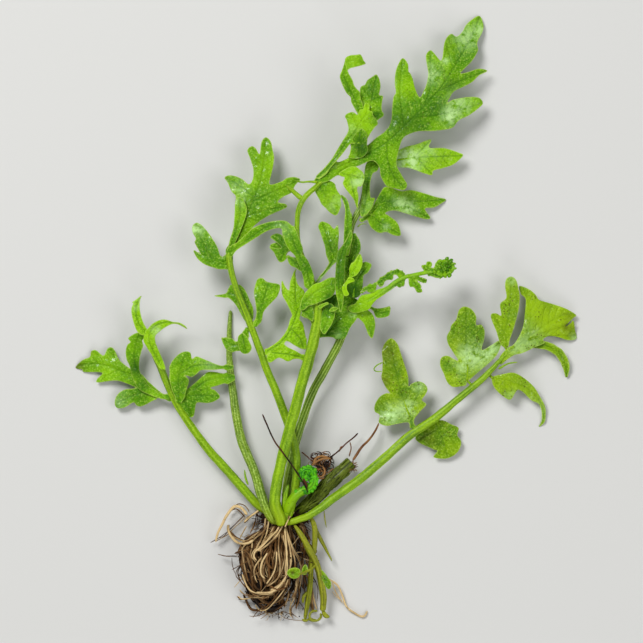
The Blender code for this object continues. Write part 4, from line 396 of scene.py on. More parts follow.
      26.6, 168.4, 25, 170, 23.6, 172.6, 22.5, 175.4, 22.3, 177, 23, 178.8, 23.8, 181, 24.4, 183, 25, 182,
      25.2, 180, 25.6, 178.6, 26, 177.6, 27.4, 175.2, 28, 173.2, 29.2, 171.6, 30.2, 170.6, 30.6, 168,
      31.4, 166, 32, 163.6, 32, 161)], ribs=[xyz(31, 161.6, 19.8, 28.6, 167, 21, 26, 172, 22.4, 24, 177, 23.4,
      24.4, 182.6, 24)], grow=False, foot=0.3, cup=0.5), dict(outlines=[xy(24.3, 182.6, 24.7, 184.1,
      26.4, 185, 28.6, 185.2, 30.4, 185.4, 31.2, 184.4, 31.8, 183, 32.6, 181.8, 31, 181, 28.6, 180.4,
      26.4, 179.8, 25.3, 179.1, 24.8, 180.2)], ribs=[xyz(24.8, 182.4, 24.6, 28, 182.8, 25, 32, 182, 24.4)],
      grow=False, foot=0, cup=0.3)], patches=[(28, 183, 4, 1, -0.7), (26, 174, 3, 1, 0.2)]),
    "leaf_right_droop": dict(path=xyzwt(98, 69.4, 4.6, 0.9, 0, 102.4, 69.6, 4.7, 1.5, 0,
      106.6, 68.8, 4.6, 1.6, 0, 110.6, 66, 4, 1.7, 0, 113, 61.4, 2.6, 1.5, 0, 113.4, 56.6, 1, 0.4, 0),
      patches=[(106, 68, 4, 1, -0.5)]),
    "frond_coil_tip": dict(outlines=[xy(57.4, 97.5, 58.6, 97.1, 59.6, 96.8, 60.6, 96.4, 61.8, 96.3,
      62.4, 95.9, 63.2, 96.6, 64.8, 97, 66, 97.6, 66.8, 98.4, 67.3, 99.3, 67.8, 100, 67.9, 100.8, 67.4, 101.5,
      66.8, 102.2, 66.7, 103, 66, 103.3, 65.2, 103.1, 64.4, 103.3, 63.7, 102.8, 63.2, 103.4, 62.4, 103.9,
      61.5, 103.6, 60.9, 102.9, 60.3, 101.9, 60, 100.8, 59, 99.8, 57.6, 98.6)], ribs=[xyz(58, 98, 19.9,
      61, 97.4, 19.8, 64.6, 97.9, 19.8, 66.8, 100.2, 19.8, 65.4, 102.4, 19.7, 62.4, 102.8, 19.7)],
      patches=[(64, 100.4, 1.6, 1, 0.9), (62.3, 102.8, 1, 1, -1)], thick=1.3),
}


# Stalks and roots along x, y, z and radius
STALKS = {
    "young_crozier": xyzr(1, 2.8, 9.6, 1.6, 2.2, 5.8, 11.4, 1.9, 4.6, 9.4, 12.3, 1.8, 8, 11.5, 12.6, 1.6,
      10.8, 13, 12.9, 1.5, 12, 15.6, 13.2, 1.4, 11.6, 18.6, 13.4, 1.3, 9.6, 20, 13.5, 1.2,
      7.6, 19.3, 13.6, 1.1, 6.9, 17.4, 13.8, 1, 7.8, 15.9, 14, 0.9, 9.4, 16.4, 14.2, 0.8,
      9.4, 17.8, 14.4, 0.6),
    "old_stub": xyzr(5, 2.6, 5, 1.7, 8.4, 5, 6, 2.2, 12.2, 8.2, 6.6, 2.5, 17, 13.2, 6.9, 2.6,
      22, 18, 7.2, 2.5, 27, 22.6, 7.4, 2.4),
    "dead_strand_long": xyzr(27.6, 23.4, 8.8, 0.5, 31, 28.5, 7.6, 0.5, 34, 31.5, 6.2, 0.45,
      36.5, 35, 4.6, 0.4, 38, 38.2, 3.2, 0.3),
    "dead_thread": xyzr(-8.6, 41.8, 11, 0.3, -4.2, 32, 17.3, 0.32, -0.8, 27.2, 18, 0.3, 4.6, 19.6, 17, 0.3,
      8.8, 12.6, 15.6, 0.3, 9.6, 10.2, 15, 0.25),
    "stem_left": xyzr(-5.4, 1.6, 3.6, 1.2, -8, 3.6, 4.7, 1.55, -10.8, 5.8, 5.2, 1.7, -15.5, 11, 5.9, 1.75,
      -22.5, 19, 6.2, 1.75, -31, 28.5, 5.9, 1.7, -39, 39.5, 5.3, 1.5, -43.5, 46.5, 5.2, 1.35,
      -46, 52, 5.8, 1.4, -50, 62, 8.4, 1.4, -53, 69, 10.6, 1.2, -54.2, 73, 12, 0.7, -54.7, 74.6, 12.3, 0.25),
    "stem_cut_left": xyzr(-2.8, -1.8, 6.6, 1, -4.6, -0.4, 8.8, 1.5, -6, 1.9, 9.9, 1.75, -7.4, 5, 9.8, 1.85,
      -9.2, 10, 9, 1.85, -12.3, 20, 7.2, 1.8, -16.6, 30, 5.8, 1.8, -19, 40, 4.8, 1.7, -20.4, 50, 3.8, 1.55,
      -21.5, 58, 3, 1.4, -22, 66, 2.3, 1.2, -22, 75, 1.4, 0.95, -21.5, 83.4, 0.65, 0.65),
    "stem_mid_left": xyzr(1, 2.4, 6.2, 1.2, 2.9, 6.4, 8, 1.5, 4.6, 13, 8, 1.7, 5, 20, 8.2, 1.75,
      4.4, 28, 8.4, 1.75, 1.6, 38, 8.9, 1.7, -2.8, 50, 10, 1.65, -7, 60, 11.4, 1.55, -9.8, 68, 12.6, 1.45,
      -14.3, 80, 14, 1.4, -18.3, 90, 15, 1.3, -20.5, 97, 15.7, 1.25, -22, 104.6, 16.2, 1.2,
      -21.8, 107.4, 16.2, 0.9),
    "stem_main": xyzr(-0.8, -2.7, 10.6, 2, -1.6, 0.6, 11.2, 2.1, -3.4, 5, 12, 2.2, -3.5, 10, 12.7, 2.2,
      -1.7, 20, 13.8, 2.2, 0.7, 30, 14.8, 2.25, 4.2, 43, 16, 2.25, 7.3, 55, 17, 2.25, 9.4, 62, 17.6, 2.2,
      12, 72, 18.3, 2.1, 13.4, 80, 18.8, 2, 13.6, 87, 19.3, 1.7, 13.2, 88.6, 19.2, 1.5,
      12.6, 90.4, 19.4, 1.3),
    "stem_main_upper": xyzr(12.6, 89.8, 19.6, 1.5, 10.6, 96, 20, 1.4, 7.2, 104.5, 20.4, 1.25,
      5.6, 111, 20.8, 1.05, 5.3, 118, 21.2, 1, 6, 124, 21.4, 1.05, 8.4, 128.6, 21.2, 1.1, 12.6, 132.6, 20, 1,
      17, 136.8, 18.2, 0.7, 22, 140.2, 17, 0.5, 28, 143.2, 16, 0.4, 34, 146.6, 15.6, 0.35, 38, 149, 15.9, 0.3,
      42, 152, 16, 0.2),
    "stem_back": xyzr(0.2, 3, 4.6, 1.3, 0.6, 5.8, 4.9, 1.5, 1, 12, 4.4, 1.6, 2.4, 20, 4.2, 1.65,
      5.4, 33, 4.8, 1.65, 10.8, 49, 6.6, 1.65, 16.5, 60, 8.4, 1.65, 22.2, 71, 10.2, 1.6, 24.6, 80, 11.4, 1.4,
      25.2, 92, 12.2, 1.25, 25.6, 105, 12.2, 1.2, 27, 117, 11.8, 1.25, 31, 125.5, 11.2, 1.25,
      33, 134, 10.6, 1.2, 34.2, 141, 10.2, 1, 35, 142.6, 10, 0.9, 38, 142.9, 10, 0.7),
    "stem_right": xyzr(0.6, -1.8, 7.2, 0.8, 1.8, -1.6, 8.6, 1, 2.9, -1.2, 9.2, 1.2, 6, -0.2, 9.2, 1.35,
      10, 1.3, 8.8, 1.5, 15, 4.5, 8.2, 1.65, 20, 8.4, 7.6, 1.8, 30, 15.6, 6.6, 1.9, 40, 24, 6.2, 1.9,
      50, 33, 6.6, 1.75, 60, 39.9, 7.2, 1.65, 70, 48.2, 7.6, 1.45, 80, 56.5, 7.6, 1.25, 87.6, 64.6, 7.4, 0.7,
      91.6, 67.6, 7.2, 0.2),
    "frond_coil_tip": xyzr(60.1, 98.8, 20, 0.75, 62.4, 97.7, 19.9, 1, 65.4, 97.9, 19.8, 1.1,
      67.4, 99.9, 19.7, 1.15, 67, 102.4, 19.6, 1.15, 64.8, 103.3, 19.5, 1.1, 62.5, 102.6, 19.5, 0.95,
      62.2, 101.2, 19.5, 0.8, 63.8, 100.5, 19.5, 0.6),
    "root_loop_upper": xyzr(-14.8, 1.6, 8.6, 0.6, -17.2, 4.4, 8.6, 0.6, -20, 4.8, 8.2, 0.6,
      -22.6, 1.8, 7.4, 0.6, -24.6, -1.8, 6.4, 0.55, -26.6, -6, 5, 0.5, -27.4, -9.4, 3.6, 0.4),
    "root_long_right": xyzr(17, -24.4, 6.4, 0.3, 18.4, -24.6, 4.6, 0.4, 21.4, -26.8, 2.6, 0.42,
      23.4, -31, 1.8, 0.42, 25, -35.4, 1.4, 0.42, 28.6, -38.2, 1, 0.4, 31, -39.4, 0.8, 0.42,
      32.4, -39, 0.75, 0.4, 33.4, -37.2, 0.7, 0.34),
    "shoot_front": xyzr(4, -2.4, 8.4, 0.52, 6.2, -5.4, 9.8, 0.98, 8.2, -8.6, 10.4, 1.17, 10.4, -13, 10, 1.3,
      13, -18, 9, 1.3, 14.8, -25, 7.4, 1.3, 15.8, -31, 6, 1.37, 15.6, -37.2, 4.8, 1.17),
    "shoot_rear": xyzr(10.4, 1, 7.2, 0.69, 12, -2.4, 7.2, 1.03, 12.4, -7, 7, 1.09, 12, -12.4, 6.6, 1.03,
      11, -18, 5.8, 1.03, 10.6, -26, 4.6, 1.09, 9.6, -33, 3.4, 1.09, 8.4, -40.4, 2.2, 0.69),
    "shoot_point": xyzr(10.6, 1, 5.8, 0.6, 11.6, -1.4, 5.4, 0.9, 13.2, -5.4, 5.2, 0.8, 15.6, -10, 4.8, 0.7,
      19.2, -17, 4, 0.3),
}


# Fine twigs that leave a stalk
TWIGS = {
    "stem_left": [xyzr(-14.4, 13.6, 7.2, 0.4, -15.4, 16.4, 7.6, 0.45, -15.8, 19.6, 7.4, 0.25),
      xyzr(-13, 7.4, 6.4, 0.3, -14.4, 8.8, 6.2, 0.35, -15, 10.8, 6, 0.2)],
    "stem_right": [xyzr(86, 60, 8.4, 0.5, 87.6, 61, 9, 0.4, 90, 62.2, 9.2, 0.35, 93.5, 62.7, 8.6, 0.2),
      xyzr(39.6, 62.6, 8, 0.25, 37.4, 61.6, 8.2, 0.25, 36, 60, 7.8, 0.25, 37, 59, 7.4, 0.22,
      39.2, 59, 7.4, 0.2)],
    "stem_main_upper": [xyzr(7.6, 127.6, 21.2, 1, 5, 129.8, 20, 0.95, 2.8, 131.8, 18, 0.8,
      0.8, 133.4, 15.6, 0.3), xyzr(13.4, 134.6, 20.4, 0.7, 10, 134.8, 20, 0.42, 7.2, 134.6, 18.6, 0.36,
      4.6, 135.3, 16, 0.3)],
    "stem_back": [xyzr(29.4, 116.8, 11.8, 0.4, 30.6, 117.8, 12, 0.25, 31.8, 118.1, 12, 0.22,
      33, 117.9, 11.6, 0.12)],
    "root_long_right": [xyzr(19.4, -25.6, 3.6, 0.3, 20.2, -28.4, 2.4, 0.25, 21.8, -31.4, 1.6, 0.25,
      23.6, -34, 1.2, 0.2)],
}


# The winged top of the back stalk, which bends over towards the pale leaflet
BACK_WING = dict(outlines=[xy(30.4, 124, 31, 128, 31.2, 132, 31.8, 136, 32.2, 139, 32.8, 142, 34.4, 143.6,
    36.6, 143, 38, 141.4, 37.4, 139.4, 36, 138.6, 35.3, 137.8, 34.5, 134.6, 34.4, 130.8, 34.7, 128.6,
    36.3, 128.4, 36, 126.8, 35.6, 125.4, 34.6, 123.6, 32.6, 121.4, 30.8, 121)], ribs=[xyz(31.6, 122, 13.4,
    32.6, 128, 13.2, 33.4, 135, 12.6, 34.8, 142, 11.8)], patches=[(33.4, 132, 6, 1, 0.25),
    (31.6, 126, 3, 0, 0.4), (35, 141, 2.6, 1, -0.3)], grow=False, foot=0)


# The middle of the side frond that is still uncoiling
COIL_AXIS = xyzr(33, 86.6, 19.2, 0.3, 37.5, 89.6, 19.7, 0.7, 41, 92, 19.9, 0.85, 44.6, 94.8, 20.1, 0.85,
    48, 96.6, 20.3, 0.8, 52, 97.6, 20.4, 0.8, 56, 98.4, 20.3, 0.8, 60, 99, 20.1, 0.7)


# Sections of the bundle of roots: y, middle x, half width, middle z, half height
BUNDLE = np.array([(-42, -4, 4.6, 2.8, 2.2), (-37, -4, 5.4, 3.4, 2.6), (-30, -5.6, 10.2, 6, 5),
                   (-22, -6.4, 11.8, 7.6, 7.4), (-14, -7, 12.6, 8, 8), (-8, -6.4, 10, 7, 5.4),
                   (-5, -3.4, 5.5, 5.2, 3.4), (0, -2.4, 4.6, 5.4, 3.2), (6, -2, 4, 5.4, 3)])


# Roots that show on top: points, then half thickness, tone from dark to pale, and lift
ROOT_ARCS = [
    (xy(-16, -1.4, -14.2, 0.3, -12, 1.8, -9.6, 3.6, -7.8, 5.2), 0.6, 1, 2.4),
    (xy(-22.6, -2.6, -22.3, -5.5, -20.6, -8, -18.6, -9.6, -16, -9.9, -13.5, -9.2, -12.3, -8.4), 0.74, 0.8,
     0.8),
    (xy(-15.2, -3.2, -16.5, -5.5, -17.8, -7.8), 0.34, 0.72, 0.8),
    (xy(-23, 1, -21.4, 3.2, -19, 4.9, -17, 4.2, -16, 3, -15.5, 1.5), 0.4, 0.86, 0.9),
    (xy(-27.4, -9.2, -24.4, -7.6, -22, -6, -20, -3.8, -17.8, -1.8, -15.4, 0.6), 0.24, 0.66, 0.3),
    (xy(-2, -3, -3, -5, -5, -7, -7.5, -9.5, -9.5, -11.5, -11.5, -13, -12, -15, -11, -16.6), 0.5, 0.88, 0.9),
    (xy(-0.6, -2.8, -2.5, -6, -5, -8.7, -8, -11.3, -10.6, -12.6), 0.46, 0.78, 0.7),
    (xy(-7, 2, -7.5, -1.5, -8, -5, -9.5, -8.5, -10.8, -11, -11.3, -13.4), 0.5, 0.7, 0.6),
    (xy(-6, 1.5, -6.3, -2, -7, -6, -8.8, -10, -9.6, -13), 0.36, 0.82, 0.4),
    (xy(-12.4, -8.6, -14.8, -9.8, -16.6, -12, -16.3, -15, -16, -18, -15.2, -22, -14.4, -25), 0.5, 0.66, 0.4),
    (xy(-16.6, -22, -15.2, -26, -13.5, -28.5, -10.5, -29.8, -7, -30, -4.5, -29.4), 0.46, 0.84, 0.3),
    (xy(-11, -29.4, -6, -29.4, -3, -27.8, -0.5, -25, 1, -22, 1.2, -18, 1, -13, 0.6, -8, 0.2, -3.6), 0.52,
     0.86, 0.6),
    (xy(-5.5, -28.6, -2, -26.4, 0.5, -23.5, 2.4, -20, 2.9, -16, 2.2, -11, 1, -6, 0.3, -3.4), 0.5, 0.74, 0.4),
    (xy(-7, -27, -4, -25, -2, -22.5, -1.5, -19, -1.9, -14, -2.2, -9, -1.8, -5), 0.42, 0.66, 0.3),
    (xy(-3, -13, -3.3, -18, -4, -21, -5.5, -24, -7, -26), 0.42, 0.8, 0.7),
    (xy(-6.6, -13.4, -8.6, -17, -9.3, -20, -8.8, -22.5, -7.6, -23.6), 0.52, 0.94, 0.9),
    (xy(-8.8, -15, -11, -18, -12, -21, -11.3, -24.6), 0.42, 0.76, 0.5),
    (xy(-5.2, -12.6, -6.9, -15.5, -6.4, -18, -5, -19.6), 0.7, 0.56, 0.3),
    (xy(-9.3, -23, -9, -26.5, -9.6, -28.6), 0.42, 0.54, 0.4),
    (xy(-18.4, -31.2, -17.4, -32.2, -15.5, -32.3, -13.3, -31.8), 0.36, 0.9, 0.2),
    (xy(-17.8, -28.4, -16.4, -30, -14, -31.3, -10, -31.6, -7.6, -31), 0.3, 0.7, 0.2),
    (xy(-11.4, -34.6, -10.5, -36.2, -8.7, -36.8, -6.5, -36, -4.5, -34, -2, -31, 0, -28, 1.6, -24), 0.36, 0.78,
     0.3),
    (xy(-4, -37, -2, -36, 0.2, -34.4), 0.26, 0.5, 0.2),
    (xy(6.8, -18.6, 6.1, -22, 5.2, -26, 4.6, -29, 4.2, -31.6), 0.7, 0.62, 0.5),
    (xy(4.4, -30.6, 3.6, -33, 2.5, -35, 2.2, -37.2, 2.7, -39.4), 0.34, 0.96, 0.5),
    (xy(1, -4, 2, -8, 3.5, -12, 5.5, -16, 6.8, -20, 6.8, -24, 6, -28), 0.36, 0.72, 0.5),
    (xy(0.8, -4.5, 2.5, -9, 4, -14, 4.4, -18, 3.6, -22), 0.42, 0.62, 0.4),
    (xy(-0.4, -5, 0.2, -10, 0.2, -16, -1, -21, -3.6, -25.4), 0.36, 0.58, 0.2),
    (xy(11.4, -28.4, 12, -33, 13, -36.6), 0.46, 0.92, 0),
    (xy(-26.6, -14.4, -23, -15, -20, -15.2, -17.4, -15.2), 0.22, 0.45, 0.2),
    (xy(-17.4, -18.6, -18.6, -22, -17.2, -25, -15, -27.6), 0.32, 0.42, 0.3),
    (xy(-20.8, -15.6, -20.6, -19, -19.8, -22), 0.2, 0.3, 0.1),
    (xy(0.3, -3.2, 1.4, -0.8, 2.6, 1, 4.2, 2.6), 0.34, 0.98, 5.2),
    (xy(-13.6, -6, -12.4, -3.4, -11.4, -0.6, -11, 2), 0.34, 0.5, 0.4),
    (xy(-19.6, -13.6, -17, -12.4, -14.6, -13.4, -13, -16), 0.34, 0.6, 0.5),
    (xy(-14, -14, -13, -18, -13.4, -22, -12.4, -26), 0.36, 0.5, 0.3),
    (xy(2, -30, 1.2, -32.8, 0.4, -34.4), 0.3, 0.6, 0.4),
    (xy(19.4, -29.4, 21, -31.4, 23, -33), 0.22, 0.98, 0),
]


# Dry strands: points, half thickness and tone
DEAD_LINES = [
    (xyz(7, 26.5, 7, 9, 25, 8.2, 11.3, 23, 9, 13.4, 22.6, 9.2), 0.26, 0.2),
    (xyz(17.6, 24, 8.4, 20, 25.6, 7.8, 23, 28, 6.6, 26, 31, 5, 29.7, 34.3, 3.6), 0.3, 0.22),
    (xyz(26.2, 30.6, 4.8, 26.9, 28, 5.6, 26.2, 25, 6.6), 0.24, 0.4),
    (xyz(22, 27, 7, 22.6, 28.8, 6.4, 23.6, 29, 6), 0.3, 0.5),
    (xyz(11.3, 21.2, 9.4, 13, 22.6, 10, 15.4, 24, 9.8, 18.8, 24.3, 8.6), 0.42, 0.95),
    (xyz(12.2, 21.6, 9.8, 12.4, 23.4, 10, 13.8, 24.8, 9.6, 15.8, 25, 9.2, 17.4, 24.6, 8.8), 0.5, 0.95),
    (xyz(12.9, 20.6, 9.4, 13, 18.6, 9.6, 14.2, 17, 9.4, 15.8, 17.4, 9, 16.4, 19.6, 9, 15.6, 21, 9), 0.36,
     0.75),
    (xyz(12.2, 19.8, 9, 12.2, 17.6, 9.4, 13.8, 15.9, 9, 16.4, 16.3, 8.6), 0.3, 0.6),
    (xyz(7.6, 16, 14.8, 8.6, 14.2, 14.9, 9.4, 12.6, 14.6), 0.5, 0.35),
]


# Buds and side shoots of the green shoots, and the stalk of the small leaf at the front
SHOOT_BUDS = [
    xyzr(15.4, -37, 4.6, 0.7, 16.6, -38.8, 4.4, 0.9, 18.2, -39.6, 4.2, 0.5),
    xyzr(7.2, -40.6, 2.2, 0.5, 8.4, -41, 2, 0.6, 9.8, -40.6, 2, 0.4),
    xyzr(9.6, -40, 2.6, 0.6, 11.2, -40.8, 2.6, 0.7, 13.2, -40.9, 2.4, 0.4),
    xyzr(12.6, -14.6, 7.4, 0.5, 13.6, -17.6, 6.6, 0.4, 14, -20.4, 6, 0.25),
    xyzr(9.2, -29.4, 4.6, 0.5, 7.8, -31.4, 4.4, 0.6, 7.6, -34, 4, 0.4),
    xyzr(16, 3.4, 7, 0.2, 16.4, -0.4, 6.6, 0.25, 17, -3.6, 6, 0.15),
    xyzr(5, -21.7, 16.1, 0.3, 6.6, -21.8, 15.7, 0.4, 8, -21.4, 13.4, 0.45, 8.9, -21, 11.6, 0.5,
     10.8, -20.2, 10.4, 0.5, 12.8, -18.4, 9.4, 0.5),
]


# Curves and fields

def bend_between(four, steps):
    """Catmull-Rom points from the second of four points up to the third."""
    p0, p1, p2, p3 = four
    return [0.5 * (2 * p1 + (p2 - p0) * t + (2 * p0 - 5 * p1 + 4 * p2 - p3) * t * t
                   + (3 * p1 - p0 - 3 * p2 + p3) * t ** 3)
            for t in np.linspace(0, 1, steps, endpoint=False)]


def run_along(line):
    """Length of a line up to each of its points."""
    return np.concatenate([[0], np.cumsum(np.linalg.norm(np.diff(line[:, :3], axis=0), axis=1))])


def curve_through(stations, spacing):
    """Curve through the stations, resampled to a spacing in mm."""
    pts = np.array(stations, float)
    if len(pts) == 2:
        pts = np.vstack([pts[0], pts.mean(axis=0), pts[1]])
    ext = np.vstack([2 * pts[0] - pts[1], pts, 2 * pts[-1] - pts[-2]])
    line = [point for i in range(len(pts) - 1) for point in bend_between(ext[i:i + 4], 12)]
    line = np.array(line + [pts[-1]])
    run = run_along(line)
    count = max(int(math.ceil(run[-1] / spacing)), 3)
    at = np.linspace(0, run[-1], count + 1)
    return np.column_stack([np.interp(at, run, line[:, k]) for k in range(line.shape[1])])


def rounded_loop(outline):
    """Closed curve through the points of an outline."""
    around = np.vstack([outline[-1:], outline, outline[:2]])
    return np.array([point for i in range(len(outline)) for point in bend_between(around[i:i + 4], 5)])


def off_runs(points, a, b):
    """From each point to each straight run from a to b: the share along the run, and the way to it."""
    d = b - a
    length2 = np.maximum((d * d).sum(axis=1), 1e-12)
    w = points[:, None, :] - a[None]
    t = np.clip((w * d).sum(axis=2) / length2, 0, 1)
    return t, w - t[..., None] * d


def in_parts(measure, points):
    """Measure many points a few thousand at a time, to save memory."""
    return np.concatenate([measure(points[start:start + 4000]) for start in range(0, len(points), 4000)])


def loop_distance(points, loop):
    """Distance of points to a closed outline, negative inside."""
    a, b = loop, np.roll(loop, -1, axis=0)

    def measure(p):
        _, q = off_runs(p, a, b)
        near = np.sqrt((q * q).sum(axis=2).min(axis=1))
        crosses = (a[:, 1] > p[:, 1:2]) != (b[:, 1] > p[:, 1:2])
        with np.errstate(divide="ignore", invalid="ignore"):
            at = a[:, 0] + (b - a)[:, 0] * (p[:, 1:2] - a[:, 1]) / (b - a)[:, 1]
        inside = (crosses & (p[:, 0:1] < at)).sum(axis=1) % 2 == 1
        return np.where(inside, -near, near)
    return in_parts(measure, points)


def stroke_distance(points, stroke):
    """Distance of points to a lobe drawn as x, y, z and half width, negative inside."""
    a, b = stroke[:-1], stroke[1:]

    def measure(p):
        t, q = off_runs(p, a[:, :2], b[:, :2])
        half = a[:, 3] + (b[:, 3] - a[:, 3]) * t
        return (np.sqrt((q * q).sum(axis=2)) - half).min(axis=1)
    return in_parts(measure, points)


def blade_field(points, loops, strokes, blend=0.45):
    """Distance to the union of outlines and lobes, with soft inner corners."""
    parts = [loop_distance(points, loop) for loop in loops]
    parts += [stroke_distance(points, stroke) for stroke in strokes]
    if len(parts) == 1:
        return parts[0]
    stack = np.array(parts)
    low = stack.min(axis=0)
    return low - blend * np.log(np.exp(-(stack - low) / blend).sum(axis=0))


def along_ribs(points, ribs):
    """Blended height, run along the nearest rib and signed offset from it."""
    total, weights, run, side = np.zeros((4, len(points)))
    best = np.full(len(points), np.inf)
    for rib in ribs:
        start = 0.0
        for a, b in zip(rib[:-1], rib[1:]):
            d = b[:2] - a[:2]
            length = max(float(np.hypot(*d)), 1e-6)
            w = points - a[:2]
            t = np.clip((w @ d) / length ** 2, 0, 1)
            q = w - t[:, None] * d
            dist = np.hypot(q[:, 0], q[:, 1])
            weight = 1.0 / (dist * dist + 0.6) ** 2
            total += weight * (a[2] + (b[2] - a[2]) * t)
            weights += weight
            near = dist < best
            best = np.where(near, dist, best)
            run = np.where(near, start + t * length, run)
            side = np.where(near, np.sign(d[0] * w[:, 1] - d[1] * w[:, 0]) * dist, side)
            start += length
    return total / weights, run, side


def soft_noise(points, size, seed):
    """Smooth noise of about -1 to 1 over points in mm."""
    return 1.6 * np.array([noise.noise(Vector((x / size + seed * 7.3, y / size - seed * 3.1, seed)))
                           for x, y in points])


def smoothstep(x, low, high):
    t = np.clip((x - low) / (high - low), 0, 1)
    return t * t * (3 - 2 * t)


# Mesh helpers

MERGE_WITHIN = 0.00005     # mm


def layers_of(bm):
    """The two attributes that the materials read."""
    layers = bm.verts.layers.float_vector
    return [layers.get(name) or layers.new(name) for name in ("follow", "tint")]


def new_mesh():
    bm = bmesh.new()
    layers_of(bm)
    return bm


def finish_piece(name, bm, mat, slot, *nodes):
    """Move the mesh from the tables' frame to its place and hand it over."""
    bmesh.ops.transform(bm, matrix=Matrix.Translation(ORIGIN) @ Matrix.Scale(MM, 4), verts=bm.verts)
    bmesh.ops.recalc_face_normals(bm, faces=bm.faces)
    mesh = bpy.data.meshes.new(name)
    bm.to_mesh(mesh)
    bm.free()
    mesh.polygons.foreach_set("use_smooth", [True] * len(mesh.polygons))
    mesh.materials.append(mat)
    piece = bpy.data.objects.new(name, mesh)
    bpy.context.scene.collection.objects.link(piece)
    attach(piece, "root")
    if nodes:
        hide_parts(*nodes)


def finish_skin(node, bm, mat):
    """Hand over the piece that stands for a node."""
    finish_piece(node + "_skin", bm, mat, SLOTS[node], node)


def skin_over(bm, verts, thickness):
    """Give a sheet its thickness, thin at the margin."""
    follow, _ = layers_of(bm)
    faces = list(dict.fromkeys(f for v in verts for f in v.link_faces))
    for part in faces + verts:
        part.normal_update()
    moves = [(v, v.normal.copy()) for v in verts]
    made = bmesh.ops.extrude_face_region(bm, geom=faces, use_keep_orig=True)
    for v in made["geom"]:
        if isinstance(v, bmesh.types.BMVert):
            v.normal_update()
            moves.append((v, -v.normal))
    for v, way in moves:
        half = thickness * (0.22 + 0.28 * min(max(v[follow].z, 0.0) / 0.7, 1.0))
        v.co -= way * half


def grid_over(bm, across, along):
    """A new grid: each vertex with its column and row."""
    verts = bmesh.ops.create_grid(bm, x_segments=across, y_segments=along, size=1.0)["verts"]
    return [(v, round((v.co.x + 1) / 2 * across), round((v.co.y + 1) / 2 * along)) for v in verts]


def stalk(bm, stations, sides=16, spacing=1.2, ridges=0, depth=0.0, wobble=0.0, seed=1, tip=True,
          tint_value=(0.0, 0.0, 0.0), leafy=False, twist=0.0):
    """Roll a grid into a round or ridged stalk along stations of x, y, z and radius."""
    follow, tint = layers_of(bm)
    path = curve_through(stations, spacing)
    radius = path[:, 3].copy()
    if tip:
        for i, share in ((0, 0.5), (1, 0.88), (-1, 0.45), (-2, 0.85)):
            radius[i] *= share
    path = np.vstack([path[:1], path, path[-1:]])
    radius = np.concatenate([[0.0], radius, [0.0]])
    last = len(path) - 1
    frames = []
    run = 0.0
    for i in range(last + 1):
        here = Vector(path[i, :3])
        tangent = (Vector(path[min(i + 2, last), :3]) - Vector(path[max(i - 2, 0), :3])).normalized()
        across = tangent.cross(Vector((0, 0, 1)))
        if across.length < 0.1:
            across = frames[-1][1] if frames else Vector((1, 0, 0))
        across.normalize()
        if frames:
            run += (here - frames[-1][0]).length
        frames.append((here, across, across.cross(tangent).normalized(), run))
    grid = grid_over(bm, sides, last)
    for v, column, i in grid:
        here, across, up, run = frames[i]
        angle = 2 * math.pi * (column % sides) / sides
        ridge = math.cos(ridges * (angle + twist * run)) if ridges else 0.0
        bump = 1.0 + depth * ridge
        if wobble:
            bump += wobble * noise.noise(Vector((math.cos(angle) * 1.2 + seed, math.sin(angle) * 1.2,
                                                 run * 0.22 + seed * 5)))
        out = radius[i] * bump
        v.co = here + across * (math.cos(angle) * out) + up * (math.sin(angle) * out)
        v[follow] = Vector((run, 3.0, 0.7) if leafy else (math.cos(angle), math.sin(angle), run))
        # On a plain stalk the tint's first value follows the ridges, and the stalk skin lays painted shade in
        # the grooves from it; on a leafy stalk the tint carries the leaf skin's painted sheen, shade and light.
        v[tint] = Vector(tint_value if leafy else (0.5 + 0.5 * ridge, i / last, tint_value[2]))
    bmesh.ops.remove_doubles(bm, verts=[v for v, _, _ in grid], dist=MERGE_WITHIN)


def patches_over(points, patches):
    """Amounts of painted sheen (pale), painted shade and light (dark) and brown spots over points from x, y,
    radius, kind and strength.
    """
    amounts = np.zeros((len(points), 3))
    for x, y, radius, kind, strength in patches:
        d2 = (points[:, 0] - x) ** 2 + (points[:, 1] - y) ** 2
        amounts[:, kind] += strength * np.exp(-d2 / radius ** 2)
    return np.clip(amounts, (0, -1, 0), 1)


def stalks_near(loops, strokes):
    """Stalk paths that pass close to a leaflet, so that its foot can run into them."""
    low = np.min([part[:, :2].min(axis=0) for part in loops + strokes], axis=0) - 3
    high = np.max([part[:, :2].max(axis=0) for part in loops + strokes], axis=0) + 3
    paths = [curve_through(path, 2.0) for name, path in STALKS.items() if name.startswith("stem")]
    return [path for path in paths if ((path[:, :2] > low) & (path[:, :2] < high)).all(axis=1).any()]


